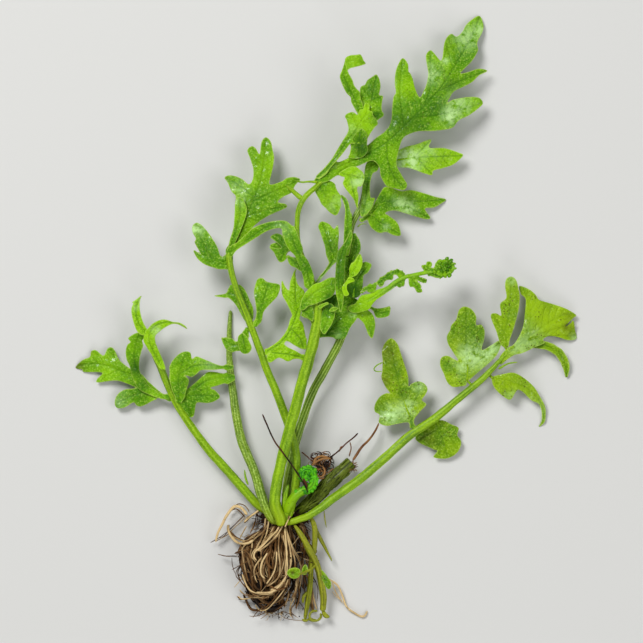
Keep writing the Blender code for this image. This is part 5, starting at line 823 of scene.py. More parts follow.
class BladeSurface:
    """Height of a blade over its plane, with its folds, waves and sunken veins."""

    def __init__(self, spec, settings, seed):
        self.seed = seed
        self.loops = [rounded_loop(outline) for outline in spec.get("outlines", [])]
        self.strokes = [curve_through(stroke, 0.8) for stroke in spec.get("strokes", [])]
        self.ribs = [curve_through(rib, 1.0) for rib in spec.get("ribs", [])]
        self.ribs += [curve_through(stroke, 1.0)[:, :3] for stroke in spec.get("strokes", [])]
        self.stalks = stalks_near(self.loops, self.strokes) if spec.get("grow", True) else []
        self.wave = spec.get("wave", settings.wave_height / MM)
        self.cup = spec.get("cup", -0.5)
        self.vein_gap = settings.vein_spacing / MM

    def field(self, points):
        """Distance from the margin, negative inside. The blade grows where a stalk runs into it."""
        near = np.full(len(points), 9.0)
        for path in self.stalks:
            near = np.minimum(near, stroke_distance(points, path))
        grown = 0.75 * np.exp(-(np.maximum(near, 0) / 0.9) ** 2)
        return blade_field(points, self.loops, self.strokes) - grown

    def at(self, points):
        """Height, distance in from the margin, run along the ribs and offset from them."""
        edge = -self.field(points)
        height, run, side = along_ribs(points, self.ribs)
        reach = np.abs(side)
        margin = np.exp(-np.maximum(edge, 0) / 1.2)
        height = height + self.cup * (1 - np.exp(-(reach / 4.5) ** 2))
        height += self.wave * smoothstep(reach, 0.8, 5.0) * soft_noise(points, 8.0, self.seed)
        height += 0.35 * self.wave * margin * soft_noise(points, 2.6, self.seed + 3)
        height -= 0.30 * np.exp(-(side / 0.55) ** 2)
        swell = 0.5 + 0.5 * np.cos(2 * math.pi * ((run - 0.9 * reach) / self.vein_gap))
        height -= 0.14 * swell ** 3 * smoothstep(reach, 0.3, 1.2) * smoothstep(edge, 0.2, 1.2)
        height += 0.10 * soft_noise(points, 1.3, self.seed + 9) * smoothstep(edge, 0.1, 0.8)
        return np.maximum(height, 0.32), edge, run, side


def pull_to_margin(points, field, reach=0.05):
    """Slide points down the slope of a field until they lie on its zero line."""
    for _ in range(3):
        f = field(points)
        gx = (field(points + (reach, 0)) - f) / reach
        gy = (field(points + (0, reach)) - f) / reach
        size = np.maximum(gx * gx + gy * gy, 0.2)
        points = points - np.column_stack([gx, gy]) * (f / size)[:, None]
    return points


def add_blade(bm, spec, settings, seed):
    """Cut a fine grid to the outline, raise it to its ribs and give it thickness."""
    follow, tint = layers_of(bm)
    surface = BladeSurface(spec, settings, seed)
    cell = settings.grid_cell / MM
    ends = [stroke[:, :2] + way * stroke[:, 3:4] for stroke in surface.strokes for way in (-1, 1)]
    corners = np.vstack(surface.loops + ends)
    low = corners.min(axis=0) - cell
    size = corners.max(axis=0) + cell - low
    nx, ny = np.ceil(size / cell).astype(int)
    verts = bmesh.ops.create_grid(bm, x_segments=int(nx), y_segments=int(ny), size=1.0)["verts"]
    flat = np.array([(v.co.x, v.co.y) for v in verts])
    flat = low + (flat - flat.min(axis=0)) / (flat.max(axis=0) - flat.min(axis=0)) * size
    for v, (x, y), f in zip(verts, flat, surface.field(flat)):
        v.co = Vector((x, y, f))
    near_margin = -0.3 * cell
    faces = dict.fromkeys(f for v in verts for f in v.link_faces)
    spare = [f for f in faces if min(v.co.z for v in f.verts) > near_margin]
    bmesh.ops.delete(bm, geom=spare, context="FACES")
    verts = [v for v in verts if v.is_valid and v.link_faces]
    rim = [v for v in verts if v.co.z > near_margin]
    inner = [v for v in verts if -1.6 * cell < v.co.z <= near_margin]
    margin = pull_to_margin(np.array([(v.co.x, v.co.y) for v in rim]), surface.field)
    for v, (x, y) in zip(rim, margin):
        v.co = Vector((x, y, 0))
    for v in verts:
        v.co.z = 0.0
    for _ in range(2):
        bmesh.ops.smooth_vert(bm, verts=inner, factor=0.5, use_axis_x=True, use_axis_y=True)
    points = np.array([(v.co.x, v.co.y) for v in verts])
    amounts = patches_over(points, spec.get("patches", []))
    for v, z, edge, run, side, amount in zip(verts, *surface.at(points), amounts):
        v.co.z = z
        v[follow] = Vector((run, side, max(edge, 0.0)))
        v[tint] = Vector(amount)
    skin_over(bm, verts, spec.get("thick", settings.blade_thickness / MM))
    foot = spec.get("foot", 0.55)
    if foot:
        add_foot(bm, surface, foot)


def add_foot(bm, surface, size):
    """The leaflet's own stalk, from inside the stem to where it sinks into the blade."""
    rib = surface.ribs[0]
    line = curve_through(rib[:, :3], 1.0)
    line = line[:max(int(len(line) * 0.45), 4)]
    height, edge, _, _ = surface.at(line[:, :2])
    share = np.linspace(0, 1, len(line))
    radius = np.maximum(np.minimum(np.maximum(edge, 0.25), size) * (1 - 0.85 * share), 0.06)
    stations = [(x, y, z + 0.1 - 0.25 * t, r) for (x, y), z, r, t in zip(line[:, :2], height, radius, share)]
    best, place = 4.2, None
    for x, y, z, r in (point for path in surface.stalks for point in path):
        gap = (Vector((x, y)) - Vector(rib[0, :2])).length - r
        if gap < best:
            best, place = gap, (x, y, z, size * 1.05)
    if place and best > 0.1:
        stations.insert(0, place)
    stalk(bm, stations, sides=10, spacing=0.8, leafy=True)


def add_ribbon(bm, path, settings, seed, patches, cup=0.35, ruffle=0.375):
    """A curled or side-on leaflet: a strip swept along x, y, z, half width and roll."""
    follow, tint = layers_of(bm)
    line = curve_through(path, 0.45)
    last = len(line) - 1
    runs = run_along(line)
    grid = grid_over(bm, 12, last)
    for v, _, i in grid:
        u = v.co.x
        tangent = (Vector(line[min(i + 1, last), :3]) - Vector(line[max(i - 1, 0), :3])).normalized()
        side = tangent.cross(Vector((0, 0, 1))).normalized()
        up = side.cross(tangent).normalized()
        roll = math.radians(line[i, 4])
        over = side * math.cos(roll) + up * math.sin(roll)
        normal = up * math.cos(roll) - side * math.sin(roll)
        run = runs[i]
        half = line[i, 3] * (1 + 0.10 * noise.noise(Vector((run * 0.5, seed, 2.0 if u > 0 else 5.0))))
        lift = cup * half * (u * u - 0.35)
        lift += ruffle * u * u * noise.noise(Vector((run * 0.45 + seed, 3.0 if u > 0 else -3.0, 1.0)))
        lift -= 0.12 * math.exp(-(u * half / 0.35) ** 2)
        v.co = Vector(line[i, :3]) + over * (u * half) + normal * lift
        v.co.z = max(v.co.z, 0.3)
        v[follow] = Vector((run, u * half, (1 - abs(u)) * half))
    verts = [v for v, _, _ in grid]
    amounts = patches_over(np.array([(v.co.x, v.co.y) for v in verts]), patches)
    for v, amount in zip(verts, amounts):
        v[tint] = Vector(amount)
    skin_over(bm, verts, settings.blade_thickness / MM)
    rib = [(x, y, z - 0.1, max(0.4 * (1 - 1.6 * k / last), 0.06)) for k, (x, y, z, _, _) in enumerate(line)]
    stalk(bm, rib[:len(line) // 2:3], sides=8, spacing=1.0, leafy=True)


def add_bead(bm, centre, radii, turn=0.0, tint_value=(0.0, 0.0, 0.0), leafy=True, steps=2):
    """A small rounded lump."""
    follow, tint = layers_of(bm)
    verts = bmesh.ops.create_icosphere(bm, subdivisions=steps, radius=1.0)["verts"]
    for v in verts:
        way = v.co.copy()
        v.co = way * (1 + 0.14 * noise.noise(way * 1.7 + Vector(centre)))
        v[follow] = Vector((way.x, 3.0, 0.25 + 0.5 * abs(way.z))) if leafy else way
        v[tint] = Vector(tint_value)
    place = Matrix.Translation(Vector(centre)) @ Matrix.Rotation(turn, 4, "Z")
    bmesh.ops.transform(bm, matrix=place @ Matrix.Diagonal((*radii, 1.0)), verts=verts)


# Materials

def put(tree, kind, settings=None, inputs=None):
    """Add a shader node, set its settings, and feed its inputs with sockets or values."""
    node = tree.nodes.new("ShaderNode" + kind)
    for key, value in (settings or {}).items():
        setattr(node, key, value)
    for key, value in (inputs or {}).items():
        if isinstance(value, bpy.types.NodeSocket):
            tree.links.new(value, node.inputs[key])
        else:
            node.inputs[key].default_value = value
    return node


class Wiring:
    """Short calls for the nodes of one tree. Each gives a socket that feeds the next."""

    def __init__(self, tree):
        self.tree = tree
        self.place = put(tree, "TexCoord").outputs["Object"]

    def follow(self):
        """Round a stalk and along it, or along a blade, across it and in from its margin."""
        return put(self.tree, "Attribute", {"attribute_name": "follow"}).outputs["Vector"]

    def tint(self):
        return put(self.tree, "Attribute", {"attribute_name": "tint"}).outputs["Vector"]

    def parts(self, vector):
        return put(self.tree, "SeparateXYZ", None, {0: vector}).outputs

    def calc(self, operation, *values, clamp=False):
        settings = {"operation": operation, "use_clamp": clamp}
        return put(self.tree, "Math", settings, dict(enumerate(values))).outputs[0]

    def add(self, first, second):
        return self.calc("ADD", first, second)

    def less(self, first, second):
        return self.calc("SUBTRACT", first, second)

    def times(self, product, *values):
        for value in values:
            product = self.calc("MULTIPLY", product, value)
        return product

    def ease(self, value, low, high):
        """Smooth step of a value from low to high."""
        settings = {"interpolation_type": "SMOOTHSTEP"}
        return put(self.tree, "MapRange", settings, {0: value, 1: low, 2: high}).outputs[0]

    def mix(self, share, first, second):
        return put(self.tree, "Mix", {"data_type": "RGBA"}, {0: share, 6: first, 7: second}).outputs[2]

    def speckle(self, scale, detail=2.0, rough=0.5, over=None):
        inputs = {"Vector": over or self.place, "Scale": scale, "Detail": detail, "Roughness": rough}
        return put(self.tree, "TexNoise", None, inputs).outputs["Fac"]

    def drawn_out(self, across, along, *noise_values):
        """Speckles that are stretched along the piece."""
        scale = {"Vector": self.follow(), "Scale": (across, across, along)}
        return self.speckle(*noise_values, over=put(self.tree, "Mapping", None, scale).outputs[0])

    def cells(self, scale, randomness, feature="F1"):
        inputs = {"Vector": self.place, "Scale": scale, "Randomness": randomness}
        return put(self.tree, "TexVoronoi", {"feature": feature}, inputs).outputs["Distance"]


class Skin(Wiring):
    """A node group that lays colours over each other. Its inputs are a look's colours and numbers."""

    def __init__(self, name, look, wet=False):
        tree = bpy.data.node_groups.new(name, "ShaderNodeTree")
        for label, value in look.items():
            kind = "NodeSocketColor" if isinstance(value, tuple) else "NodeSocketFloat"
            tree.interface.new_socket(name=label, in_out="INPUT", socket_type=kind)
        for label in ("Color", "Roughness", "Height", "Wet")[:4 if wet else 3]:
            kind = "NodeSocketColor" if label == "Color" else "NodeSocketFloat"
            tree.interface.new_socket(name=label, in_out="OUTPUT", socket_type=kind)
        super().__init__(tree)
        self.look = tree.nodes.new("NodeGroupInput").outputs
        self.out = tree.nodes.new("NodeGroupOutput").inputs

    def ground(self, share, first, second):
        """The two colours under all others."""
        self.body = self.mix(share, self.look[first], self.look[second])

    def lay(self, colour, *shares):
        """Lay a colour of the look over the rest, as far as the product of the shares says."""
        self.body = self.mix(self.times(*shares), self.body, self.look[colour])

    def give(self, *values):
        for value, socket in zip((self.body, *values), self.out):
            self.tree.links.new(value, socket)
        return self.tree


def leaf_skin(name, look):
    """Blade of a leaflet: mottled green, pale margin, veins, dots, pale patches of painted sheen, and painted
    shade and painted light from the dark patches.
    """
    skin = Skin(name, look, wet=True)
    run, side, edge = skin.parts(skin.follow())
    sheen_there, shade_and_light_there, brown_there = skin.parts(skin.tint())
    away = skin.calc("ABSOLUTE", side)
    fine = skin.speckle(900.0, 4.0, 0.65)
    cell_light = skin.speckle(1500.0)
    patchy = skin.speckle(420.0, 3.0, 0.6)
    net = skin.cells(640.0, 0.9, "DISTANCE_TO_EDGE")
    warp = skin.times(skin.less(skin.speckle(240.0), 0.5), 2.4)
    along = skin.add(skin.less(run, skin.times(away, 0.9)), warp)
    wave = skin.calc("FRACT", skin.calc("DIVIDE", along, skin.look["Vein gap"]))
    wave = skin.calc("ABSOLUTE", skin.less(wave, 0.5))
    side_vein = skin.times(skin.ease(wave, 0.40, 0.5), skin.ease(edge, 0.3, 1.6))
    mid_vein = skin.ease(away, 0.50, 0.12)
    skin.ground(skin.ease(skin.speckle(90.0, 3.0, 0.55), 0.34, 0.68), "Deep", "Light")
    skin.lay("Deep", skin.ease(away, 3.4, 0.2), 0.4)
    skin.lay("Light", skin.ease(fine, 0.40, 0.75), 0.35)
    skin.lay("Rim", skin.ease(cell_light, 0.52, 0.70), 0.42)
    skin.lay("Shade", skin.ease(cell_light, 0.48, 0.30), 0.40)
    skin.lay("Vein", skin.calc("MAXIMUM", mid_vein, skin.times(side_vein, 0.6)), skin.look["Veins"])
    skin.lay("Vein", skin.ease(net, 0.10, 0.0), 0.16)
    skin.lay("Rim", skin.ease(skin.add(edge, skin.times(fine, 0.3)), 0.52, 0.26), 0.5)
    # Painted sheen: pale patches where the tint's first value says, standing for wet gloss.
    pale = skin.times(sheen_there, skin.ease(patchy, 0.30, 0.58))
    skin.lay("Pale", pale)
    # Painted shade where the tint's second value is above 0, and painted light in the Bright colour where it is
    # below 0.
    skin.lay("Shade", skin.calc("MULTIPLY", shade_and_light_there, 0.85, clamp=True))
    skin.lay("Bright", skin.calc("MULTIPLY", shade_and_light_there, -0.85, clamp=True))
    skin.lay("Brown", brown_there, skin.ease(patchy, 0.25, 0.5))
    dots = skin.ease(skin.cells(760.0, 1.0), 0.30, 0.16)
    skin.lay("Brown", dots, skin.ease(skin.speckle(160.0), 0.42, 0.62), skin.look["Dots"])
    rough = skin.less(skin.add(0.34, skin.times(fine, 0.22)), skin.times(pale, 0.12))
    lumps = skin.less(skin.times(skin.ease(net, 0.0, 0.22), 0.35), skin.times(side_vein, 0.7))
    height = skin.add(skin.less(lumps, skin.times(mid_vein, 0.5)), skin.times(fine, 0.3))
    return skin.give(rough, height, skin.times(skin.ease(patchy, 0.56, 0.70), 0.6))


def stalk_skin(name, look):
    """Stalk: light and dark streaks along it, small dots, ridges in the tint's red: painted shade in the
    grooves, and paler crests that are partly the stalk's own stripes and partly painted highlight.
    """
    skin = Skin(name, look)
    ridge, run, _ = skin.parts(skin.tint())
    lines = skin.drawn_out(4.5, 0.10, 2.2, 3.0, 0.6)
    grit = skin.speckle(1300.0, 3.0, 0.65)
    grain = skin.speckle(1500.0, 2.0, 0.55)
    skin.ground(skin.ease(skin.speckle(110.0, 3.0, 0.5), 0.3, 0.7), "Deep", "Light")
    skin.lay("Light", skin.ease(skin.drawn_out(1.6, 0.05, 1.6, 3.0, 0.6), 0.36, 0.66))
    skin.lay("Streak", skin.ease(lines, 0.50, 0.68), 0.4)
    skin.lay("Streak", skin.ease(grain, 0.52, 0.70), skin.look["Grain"])
    skin.lay("Deep", skin.ease(grain, 0.48, 0.30), skin.look["Grain"])
    # Painted shade in the grooves between the ridges; the paler crests are partly the stalk's own stripes and
    # partly painted highlight.
    skin.lay("Deep", skin.ease(ridge, 0.55, 0.1), skin.look["Stripes"])
    skin.lay("Streak", skin.ease(ridge, 0.6, 0.95), skin.look["Stripes"], 0.6)
    skin.lay("Base", skin.ease(run, skin.look["Base reach"], 0.0), skin.look["Base share"])
    skin.lay("Dot", skin.ease(skin.drawn_out(6.0, 0.9, 1.5, 2.0), 0.60, 0.68), skin.look["Dashes"])
    skin.lay("Dot", skin.ease(grit, 0.62, 0.72), skin.look["Dots"])
    rough = skin.add(0.32, skin.times(lines, 0.25))
    return skin.give(rough, skin.add(skin.times(lines, 0.8), skin.times(grit, 0.3)))


def fibre_skin(name, look):
    """Roots and dead rests: colour from each strand's tint, which on the lower roots of the bundle is painted
    shade, and fine grain along it.
    """
    skin = Skin(name, look)
    grit = skin.speckle(700.0, 4.0, 0.65)
    cloud = skin.times(skin.less(skin.speckle(150.0, 3.0, 0.55), 0.5), 0.9)
    tone = skin.add(skin.parts(skin.tint())[2], cloud)
    skin.ground(skin.ease(tone, 0.30, 0.75), "Middle", "Light")
    skin.lay("Dark", skin.ease(tone, 0.34, 0.02))
    skin.lay("Dark", skin.ease(grit, 0.55, 0.72), skin.look["Grain"])
    return skin.give(skin.add(0.42, skin.times(grit, 0.3)), grit)


# Looks: a colour goes by the name of its setting
LEAF_LOOK = {
    "Light": "leaf_light", "Deep": "leaf_deep", "Rim": "leaf_rim", "Vein": "leaf_vein",
    # Pale lays painted sheen, Shade lays painted shade and Bright lays painted light, each where a leaflet's
    # tint says.
    "Pale": "leaf_pale_patch", "Brown": "leaf_brown", "Shade": "leaf_shade", "Bright": "young_light",
    "Dots": 0.35, "Veins": 0.5,
}
LEAF_KINDS = {
    "green": {},
    "young": {"Light": "young_light", "Deep": "leaf_light", "Dots": 0.15},
    "old": {"Light": "old_light", "Deep": "old_deep", "Bright": "old_light", "Dots": 0.8, "Veins": 0.35},
}
# Each kind's Deep colour is also painted shade in the grooves between the stalk's ridges.
STALK_LOOK = {
    "Light": "stalk_light", "Deep": "stalk_deep", "Streak": "stalk_streak", "Dot": "leaf_brown",
    "Stripes": 0.35, "Dots": 0.5, "Base": "stalk_base", "Base share": 0.7, "Base reach": 0.16,
    "Grain": 0.5, "Dashes": 0.2,
}
STRIPED = {"Light": "striped_light", "Deep": "striped_deep", "Streak": "striped_pale", "Stripes": 0.8}
STALK_KINDS = {
    "green": {},
    "striped": STRIPED,
    "speckled": {**STRIPED, "Stripes": 0.45, "Dots": 0.8, "Dashes": 0.75, "Grain": 0.7},
    "shoot": {"Light": "shoot_light", "Deep": "shoot_deep", "Streak": "shoot_light", "Dots": 0.8,
              "Base share": 0.0},
    "bud": {"Light": "bud_light", "Deep": "bud_deep", "Streak": "bud_light", "Base": "stalk_light",
            "Base share": 1.0, "Base reach": 0.7, "Dots": 0.8, "Stripes": 0.85},
    "stub": {"Light": "stub_light", "Deep": "stub_deep", "Streak": "stub_light", "Dot": "root_dark",
             "Stripes": 0.9, "Dots": 0.9, "Base share": 0.0},
}
FIBRE_LOOK = {"Light": "root_light", "Middle": "root_middle", "Dark": "root_dark", "Grain": 0.4}
FIBRE_KINDS = {"root": {}, "dead": {"Light": "dead_light", "Middle": "dead_middle"}}


def colour_of(setting):
    return (*getattr(bpy.context.scene.sprite_colours, setting), 1.0)


def new_material(name):
    mat = bpy.data.materials.new(name)
    mat.use_nodes = True
    mat.node_tree.nodes.clear()
    return mat, mat.node_tree


def shaded(family, kind, skin, entries, bump, distance, **gloss):
    """Material of a family and kind, made once: its skin group feeds a plain Principled shader."""
    name = family + " " + kind
    if name in bpy.data.materials:
        return bpy.data.materials[name]
    look = {key: colour_of(value) if isinstance(value, str) else value for key, value in entries.items()}
    group = bpy.data.node_groups.get(family + " skin") or skin(family + " skin", look)
    mat, tree = new_material(name)
    made = put(tree, "Group", {"node_tree": group}, look).outputs
    relief = put(tree, "Bump", None, {"Height": made["Height"], "Strength": bump, "Distance": distance})
    inputs = {"Base Color": made["Color"], "Roughness": made["Roughness"], "Normal": relief.outputs["Normal"]}
    inputs.update((key.replace("_", " "), value) for key, value in gloss.items())
    if "Wet" in made:
        inputs["Coat Weight"] = made["Wet"]
    shader = put(tree, "BsdfPrincipled", None, inputs)
    put(tree, "OutputMaterial", None, {"Surface": shader.outputs[0]})
    return mat


def leaf_material(kind):
    gap = bpy.context.scene.sprite_sizes.vein_spacing / MM
    return shaded("Leaf", kind, leaf_skin, {**LEAF_LOOK, **LEAF_KINDS[kind], "Vein gap": gap}, 0.5, 0.0004,
                  Coat_Roughness=0.16, Specular_IOR_Level=0.12)


def stalk_material(kind):
    return shaded("Stalk", kind, stalk_skin, {**STALK_LOOK, **STALK_KINDS[kind]}, 0.45, 0.0003,
                  Coat_Weight=0.08, Coat_Roughness=0.2, Specular_IOR_Level=0.15)


def fibre_material(kind):
    return shaded("Fibre", kind, fibre_skin, {**FIBRE_LOOK, **FIBRE_KINDS[kind]}, 0.5, 0.0003,
                  Coat_Weight=0.04, Coat_Roughness=0.25, Specular_IOR_Level=0.15)


# What a user would change

def rgb(red, green, blue):
    """Colour of 0 to 255 values as the linear values that Blender keeps."""
    out = []
    for value in (red, green, blue):
        value /= 255
        out.append(value / 12.92 if value <= 0.04045 else ((value + 0.055) / 1.055) ** 2.4)
    return tuple(out)


def colour_prop(label, text, value):
    return bpy.props.FloatVectorProperty(name=label, description=text, subtype="COLOR", size=3,
                                         min=0.0, max=1.0, default=rgb(*value))


def length_prop(label, text, value):
    return bpy.props.FloatProperty(name=label, description=text, unit="LENGTH", subtype="DISTANCE",
                                   min=0.0, default=value, precision=5)


class SpriteSizes(bpy.types.PropertyGroup):
    """Sizes of the plant's fine parts."""
    blade_thickness: length_prop("Blade thickness", "Thickness of a leaf blade at its middle", 0.0004)
    grid_cell: length_prop("Blade mesh", "Width of the squares that a blade's mesh is cut from", 0.00035)
    wave_height: length_prop("Wave height", "How far a blade's margin waves up and down", 0.0006)
    vein_spacing: length_prop("Vein spacing", "Distance between side veins along a midrib", 0.0030)
    root_strands: bpy.props.IntProperty(name="Root strands", description="Fine roots in the bundle",
                                        min=20, max=400, default=170)
    root_hairs: bpy.props.IntProperty(name="Root hairs", description="Finest hairs between the roots",
                                      min=0, max=600, default=240)


class SpriteColours(bpy.types.PropertyGroup):
    """Colours of the plant and the floor."""
    leaf_light: colour_prop("Leaf light", "Bright green of the blades", (128, 184, 4))
    leaf_deep: colour_prop("Leaf deep", "Dark green of the blades", (76, 134, 2))
    # In folds this colour is painted shade, laid by the leaflets' dark patches; between cells it is a dark
    # mottling.
    leaf_shade: colour_prop("Leaf shade", "Darkest green, in folds and between cells", (28, 80, 1))
    leaf_rim: colour_prop("Leaf margin", "Pale margin of the blades and their pale cells", (192, 218, 96))
    leaf_vein: colour_prop("Leaf vein", "Veins and midribs", (58, 110, 4))
    # Painted sheen: a pale colour that stands for wet gloss on the blades.
    leaf_pale_patch: colour_prop("Pale patch", "Silvery patches on the blades", (188, 226, 146))
    # Also the painted light that brightens the green leaflets where their dark patches are below 0.
    leaf_brown: colour_prop("Brown spot", "Dots and torn margins", (74, 66, 10))
    young_light: colour_prop("Young leaf", "Bright yellow-green of young leaflets", (150, 202, 8))
    # Also the painted light on the old leaflets where their dark patches are below 0.
    old_light: colour_prop("Old leaf light", "Yellow-green of the old frond", (148, 184, 8))
    old_deep: colour_prop("Old leaf deep", "Darker green of the old frond", (86, 132, 4))
    stalk_light: colour_prop("Stalk light", "Light green of the stalks", (140, 182, 12))
    stalk_deep: colour_prop("Stalk deep", "Dark green of the stalks", (78, 122, 4))
    stalk_streak: colour_prop("Stalk streak", "Pale streaks along the stalks", (176, 212, 62))
    stalk_base: colour_prop("Stalk foot", "Yellowish foot of the stalks", (150, 176, 16))
    striped_light: colour_prop("Striped stalk light", "Ground of the striped stalks", (132, 166, 36))
    # Also painted shade in the grooves of the striped stalks.
    striped_deep: colour_prop("Striped stalk deep", "Grooves of the striped stalks", (74, 110, 14))
    striped_pale: colour_prop("Striped stalk pale", "Pale stripes of the striped stalks", (196, 222, 124))
    shoot_light: colour_prop("Shoot light", "Yellow-olive of the root shoots", (158, 164, 40))
    shoot_deep: colour_prop("Shoot deep", "Dark olive of the root shoots", (84, 88, 14))
    bud_light: colour_prop("Crozier light", "Vivid green of the young crozier", (96, 196, 10))
    bud_deep: colour_prop("Crozier deep", "Dark green of the young crozier", (16, 104, 4))
    stub_light: colour_prop("Stub light", "Mossy olive of the old stub", (104, 120, 26))
    stub_deep: colour_prop("Stub deep", "Dark olive of the old stub", (28, 38, 5))
    root_light: colour_prop("Root light", "Pale tan of the newest roots", (214, 186, 134))
    root_middle: colour_prop("Root middle", "Tan-brown of most roots", (106, 72, 34))
    # Also painted shade: the lower roots deep in the bundle take this colour.
    root_dark: colour_prop("Root dark", "Dark brown of the oldest roots and soil", (28, 17, 9))
    dead_light: colour_prop("Dead light", "Tan of the dry rests", (150, 108, 62))
    dead_middle: colour_prop("Dead middle", "Red-brown of the dry rests", (82, 42, 20))
    floor: colour_prop("Floor", "Pale floor under the plant", (206, 206, 203))


# Leaflets and stalks

def sheets_of(spec):
    """The sheets of a leaflet, each with what all its sheets share."""
    return [{**spec, **sheet} for sheet in spec.get("sheets", [{}])]


def make_leaflets(*names):
    """Build each leaflet of a frond as its own piece over its node."""
    sizes = bpy.context.scene.sprite_sizes
    for name in names:
        spec = LEAFLETS[name]
        seed = 1 + sum(ord(letter) for letter in name) % 97
        bm = new_mesh()
        if "path" in spec:
            add_ribbon(bm, spec["path"], sizes, seed, spec.get("patches", []))
        else:
            for number, sheet in enumerate(sheets_of(spec)):
                add_blade(bm, sheet, sizes, seed + 5 * number)
        kind = {"leaf_pale": "young", "leaf_old": "old"}.get(SLOTS[name], "green")
        finish_skin(name, bm, leaf_material(spec.get("kind", kind)))


def make_stalk(name, sides=20, **look):
    """One stalk of the plant with its twigs."""
    bm = new_mesh()
    stalk(bm, STALKS[name], sides=sides, **look)
    for number, twig in enumerate(TWIGS.get(name, [])):
        stalk(bm, twig, sides=12, spacing=0.5, wobble=0.1, seed=number + 40)
    return bm


def add_lumps(bm, line, rng, size, gap):
    """Small rounded leaflets still folded up, on both sides of a line of x, y, z and radius."""
    last = len(line) - 1
    for i, (x, y, z, r) in enumerate(line):
        ahead = Vector(line[min(i + 1, last)][:3]) - Vector(line[max(i - 1, 0)][:3])
        across = Vector((-ahead.y, ahead.x, 0)).normalized()
        for side in (-1, 0, 1):
            if rng.random() < gap:
                continue
            reach = r * 1.2 * side * rng.uniform(0.75, 1.1)
            grain = size * rng.uniform(0.7, 1.25)
            # Through its tint some lumps take painted shade and others painted light, at random.
            add_bead(bm, (x + across.x * reach, y + across.y * reach, z + r * (0.8 - 0.5 * abs(side))),
                     (grain, grain * 0.75, grain * 0.65), rng.uniform(0, 3),
                     (0.0, rng.uniform(-0.5, 0.35), 0.0))


def seed_head(number, spread):
    """Turn and reach of a bead in a tightly packed round head."""
    return number * 2.4, spread * math.sqrt(number)


def make_coil_frond(sizes):
    """The side frond that is still uncoiling: webbed foot, axis, folded lobes and coil."""
    rng = random.Random(17)
    spiral = [(x, y, z + 0.6, r * 0.62) for x, y, z, r in STALKS["frond_coil_tip"]]
    for name, lines in (("frond_coil_stem", [COIL_AXIS]), ("frond_coil_pinna", []),
                        ("frond_coil_tip", [spiral])):
        sheets = sheets_of(LEAFLETS[name])
        bm = new_mesh()
        for number, sheet in enumerate(sheets):
            add_blade(bm, {**sheet, "grow": False, "foot": 0}, sizes, 5 + number)
        for line in lines:
            # Through its tint the axis takes a little painted sheen and painted light.
            stalk(bm, line, sides=16, spacing=0.35, wobble=0.12, seed=4, leafy=True,
                  tint_value=(0.1, -0.5, 0))
        if name == "frond_coil_tip":
            add_lumps(bm, curve_through(spiral, 1.5), rng, 0.85, 0.15)
            # The head of beads in the middle of the coil, mostly darkened with painted shade through its tint.
            for number in range(10):
                turn, reach = seed_head(number, 0.5)
                add_bead(bm, (64.4 + math.cos(turn) * reach, 100.5 + math.sin(turn) * reach, 20.6),
                         (0.6, 0.46, 0.4), turn, (0.0, rng.uniform(-0.2, 0.7), 0.0))
            # A bright bead: painted light and a little painted sheen through its tint.
            add_bead(bm, (62.3, 102.7, 20.4), (0.95, 0.8, 0.6), 0.3, (0.1, -0.8, 0.0))
        for rib in sheets[-1]["ribs"]:
            add_lumps(bm, curve_through([(*point, 0.55) for point in rib], 1.3), rng, 0.4, 0.45)
        finish_skin(name, bm, leaf_material("green"))


# Roots

def section_at(y):
    """Middle and half sizes of the bundle's section at y."""
    return [float(np.interp(y, BUNDLE[:, 0], BUNDLE[:, k])) for k in range(1, 5)]


def in_bundle(y, turn, depth):
    """A place inside the bundle, at a depth from 0 in its middle to 1 at its surface."""
    middle, half, level, high = section_at(y)
    return middle + half * depth * math.cos(turn), y, level + high * depth * math.sin(turn)


def on_bundle(x, y, lift):
    """Height of the bundle's top at x, y, and low over the floor beside it."""
    middle, half, level, high = section_at(y)
    q = (x - middle) / half
    if abs(q) < 1:
        return level + high * math.sqrt(1 - q * q) * 0.97 + lift
    return max(level * 0.5, level - (abs(q) - 1) * half * 0.7) * 0.8 + lift


def strand(bm, points, thick, tone, seed, sides=6, spacing=0.7, wander=0.25):
    """One root along points x, y, z, a little uneven."""
    phase = random.Random(seed).uniform(0, 50)
    stations = []
    for i, (x, y, z, r) in enumerate(curve_through([(*point, thick) for point in points], 2.0)):
        shift = noise.noise_vector(Vector((x * 0.16, y * 0.16, phase))) * wander * 1.6
        fine = 1 + 0.25 * noise.noise(Vector((i * 0.7, phase, 0)))
        stations.append((x + shift.x, y + shift.y, max(z + shift.z, r + 0.12), r * fine))
    stalk(bm, stations, sides=sides, spacing=spacing, wobble=0.2, seed=seed, tint_value=(0, 0, tone))


def add_shown_roots(bm):
    """The roots that show on top, each with two thinner ones beside it."""
    rng = random.Random(19)
    for number, (line, thick, tone, lift) in enumerate(ROOT_ARCS):
        points = [(x, y, on_bundle(x, y, lift)) for x, y in line]
        strand(bm, points, thick * 0.7, tone ** 1.8, 500 + number, sides=9, spacing=0.45, wander=0.16)
        for twin in range(2):
            dx, dy = rng.uniform(-1.3, 1.3), rng.uniform(-1, 1)
            points = [(x + dx + rng.uniform(-0.5, 0.5), y + dy, on_bundle(x + dx, y + dy, lift - 0.6))
                      for x, y in line[rng.randint(0, 1):]]
            if len(points) > 2:
                strand(bm, points, thick * rng.uniform(0.35, 0.7), tone * rng.uniform(0.3, 0.75),
                       560 + number * 2 + twin, wander=0.6)


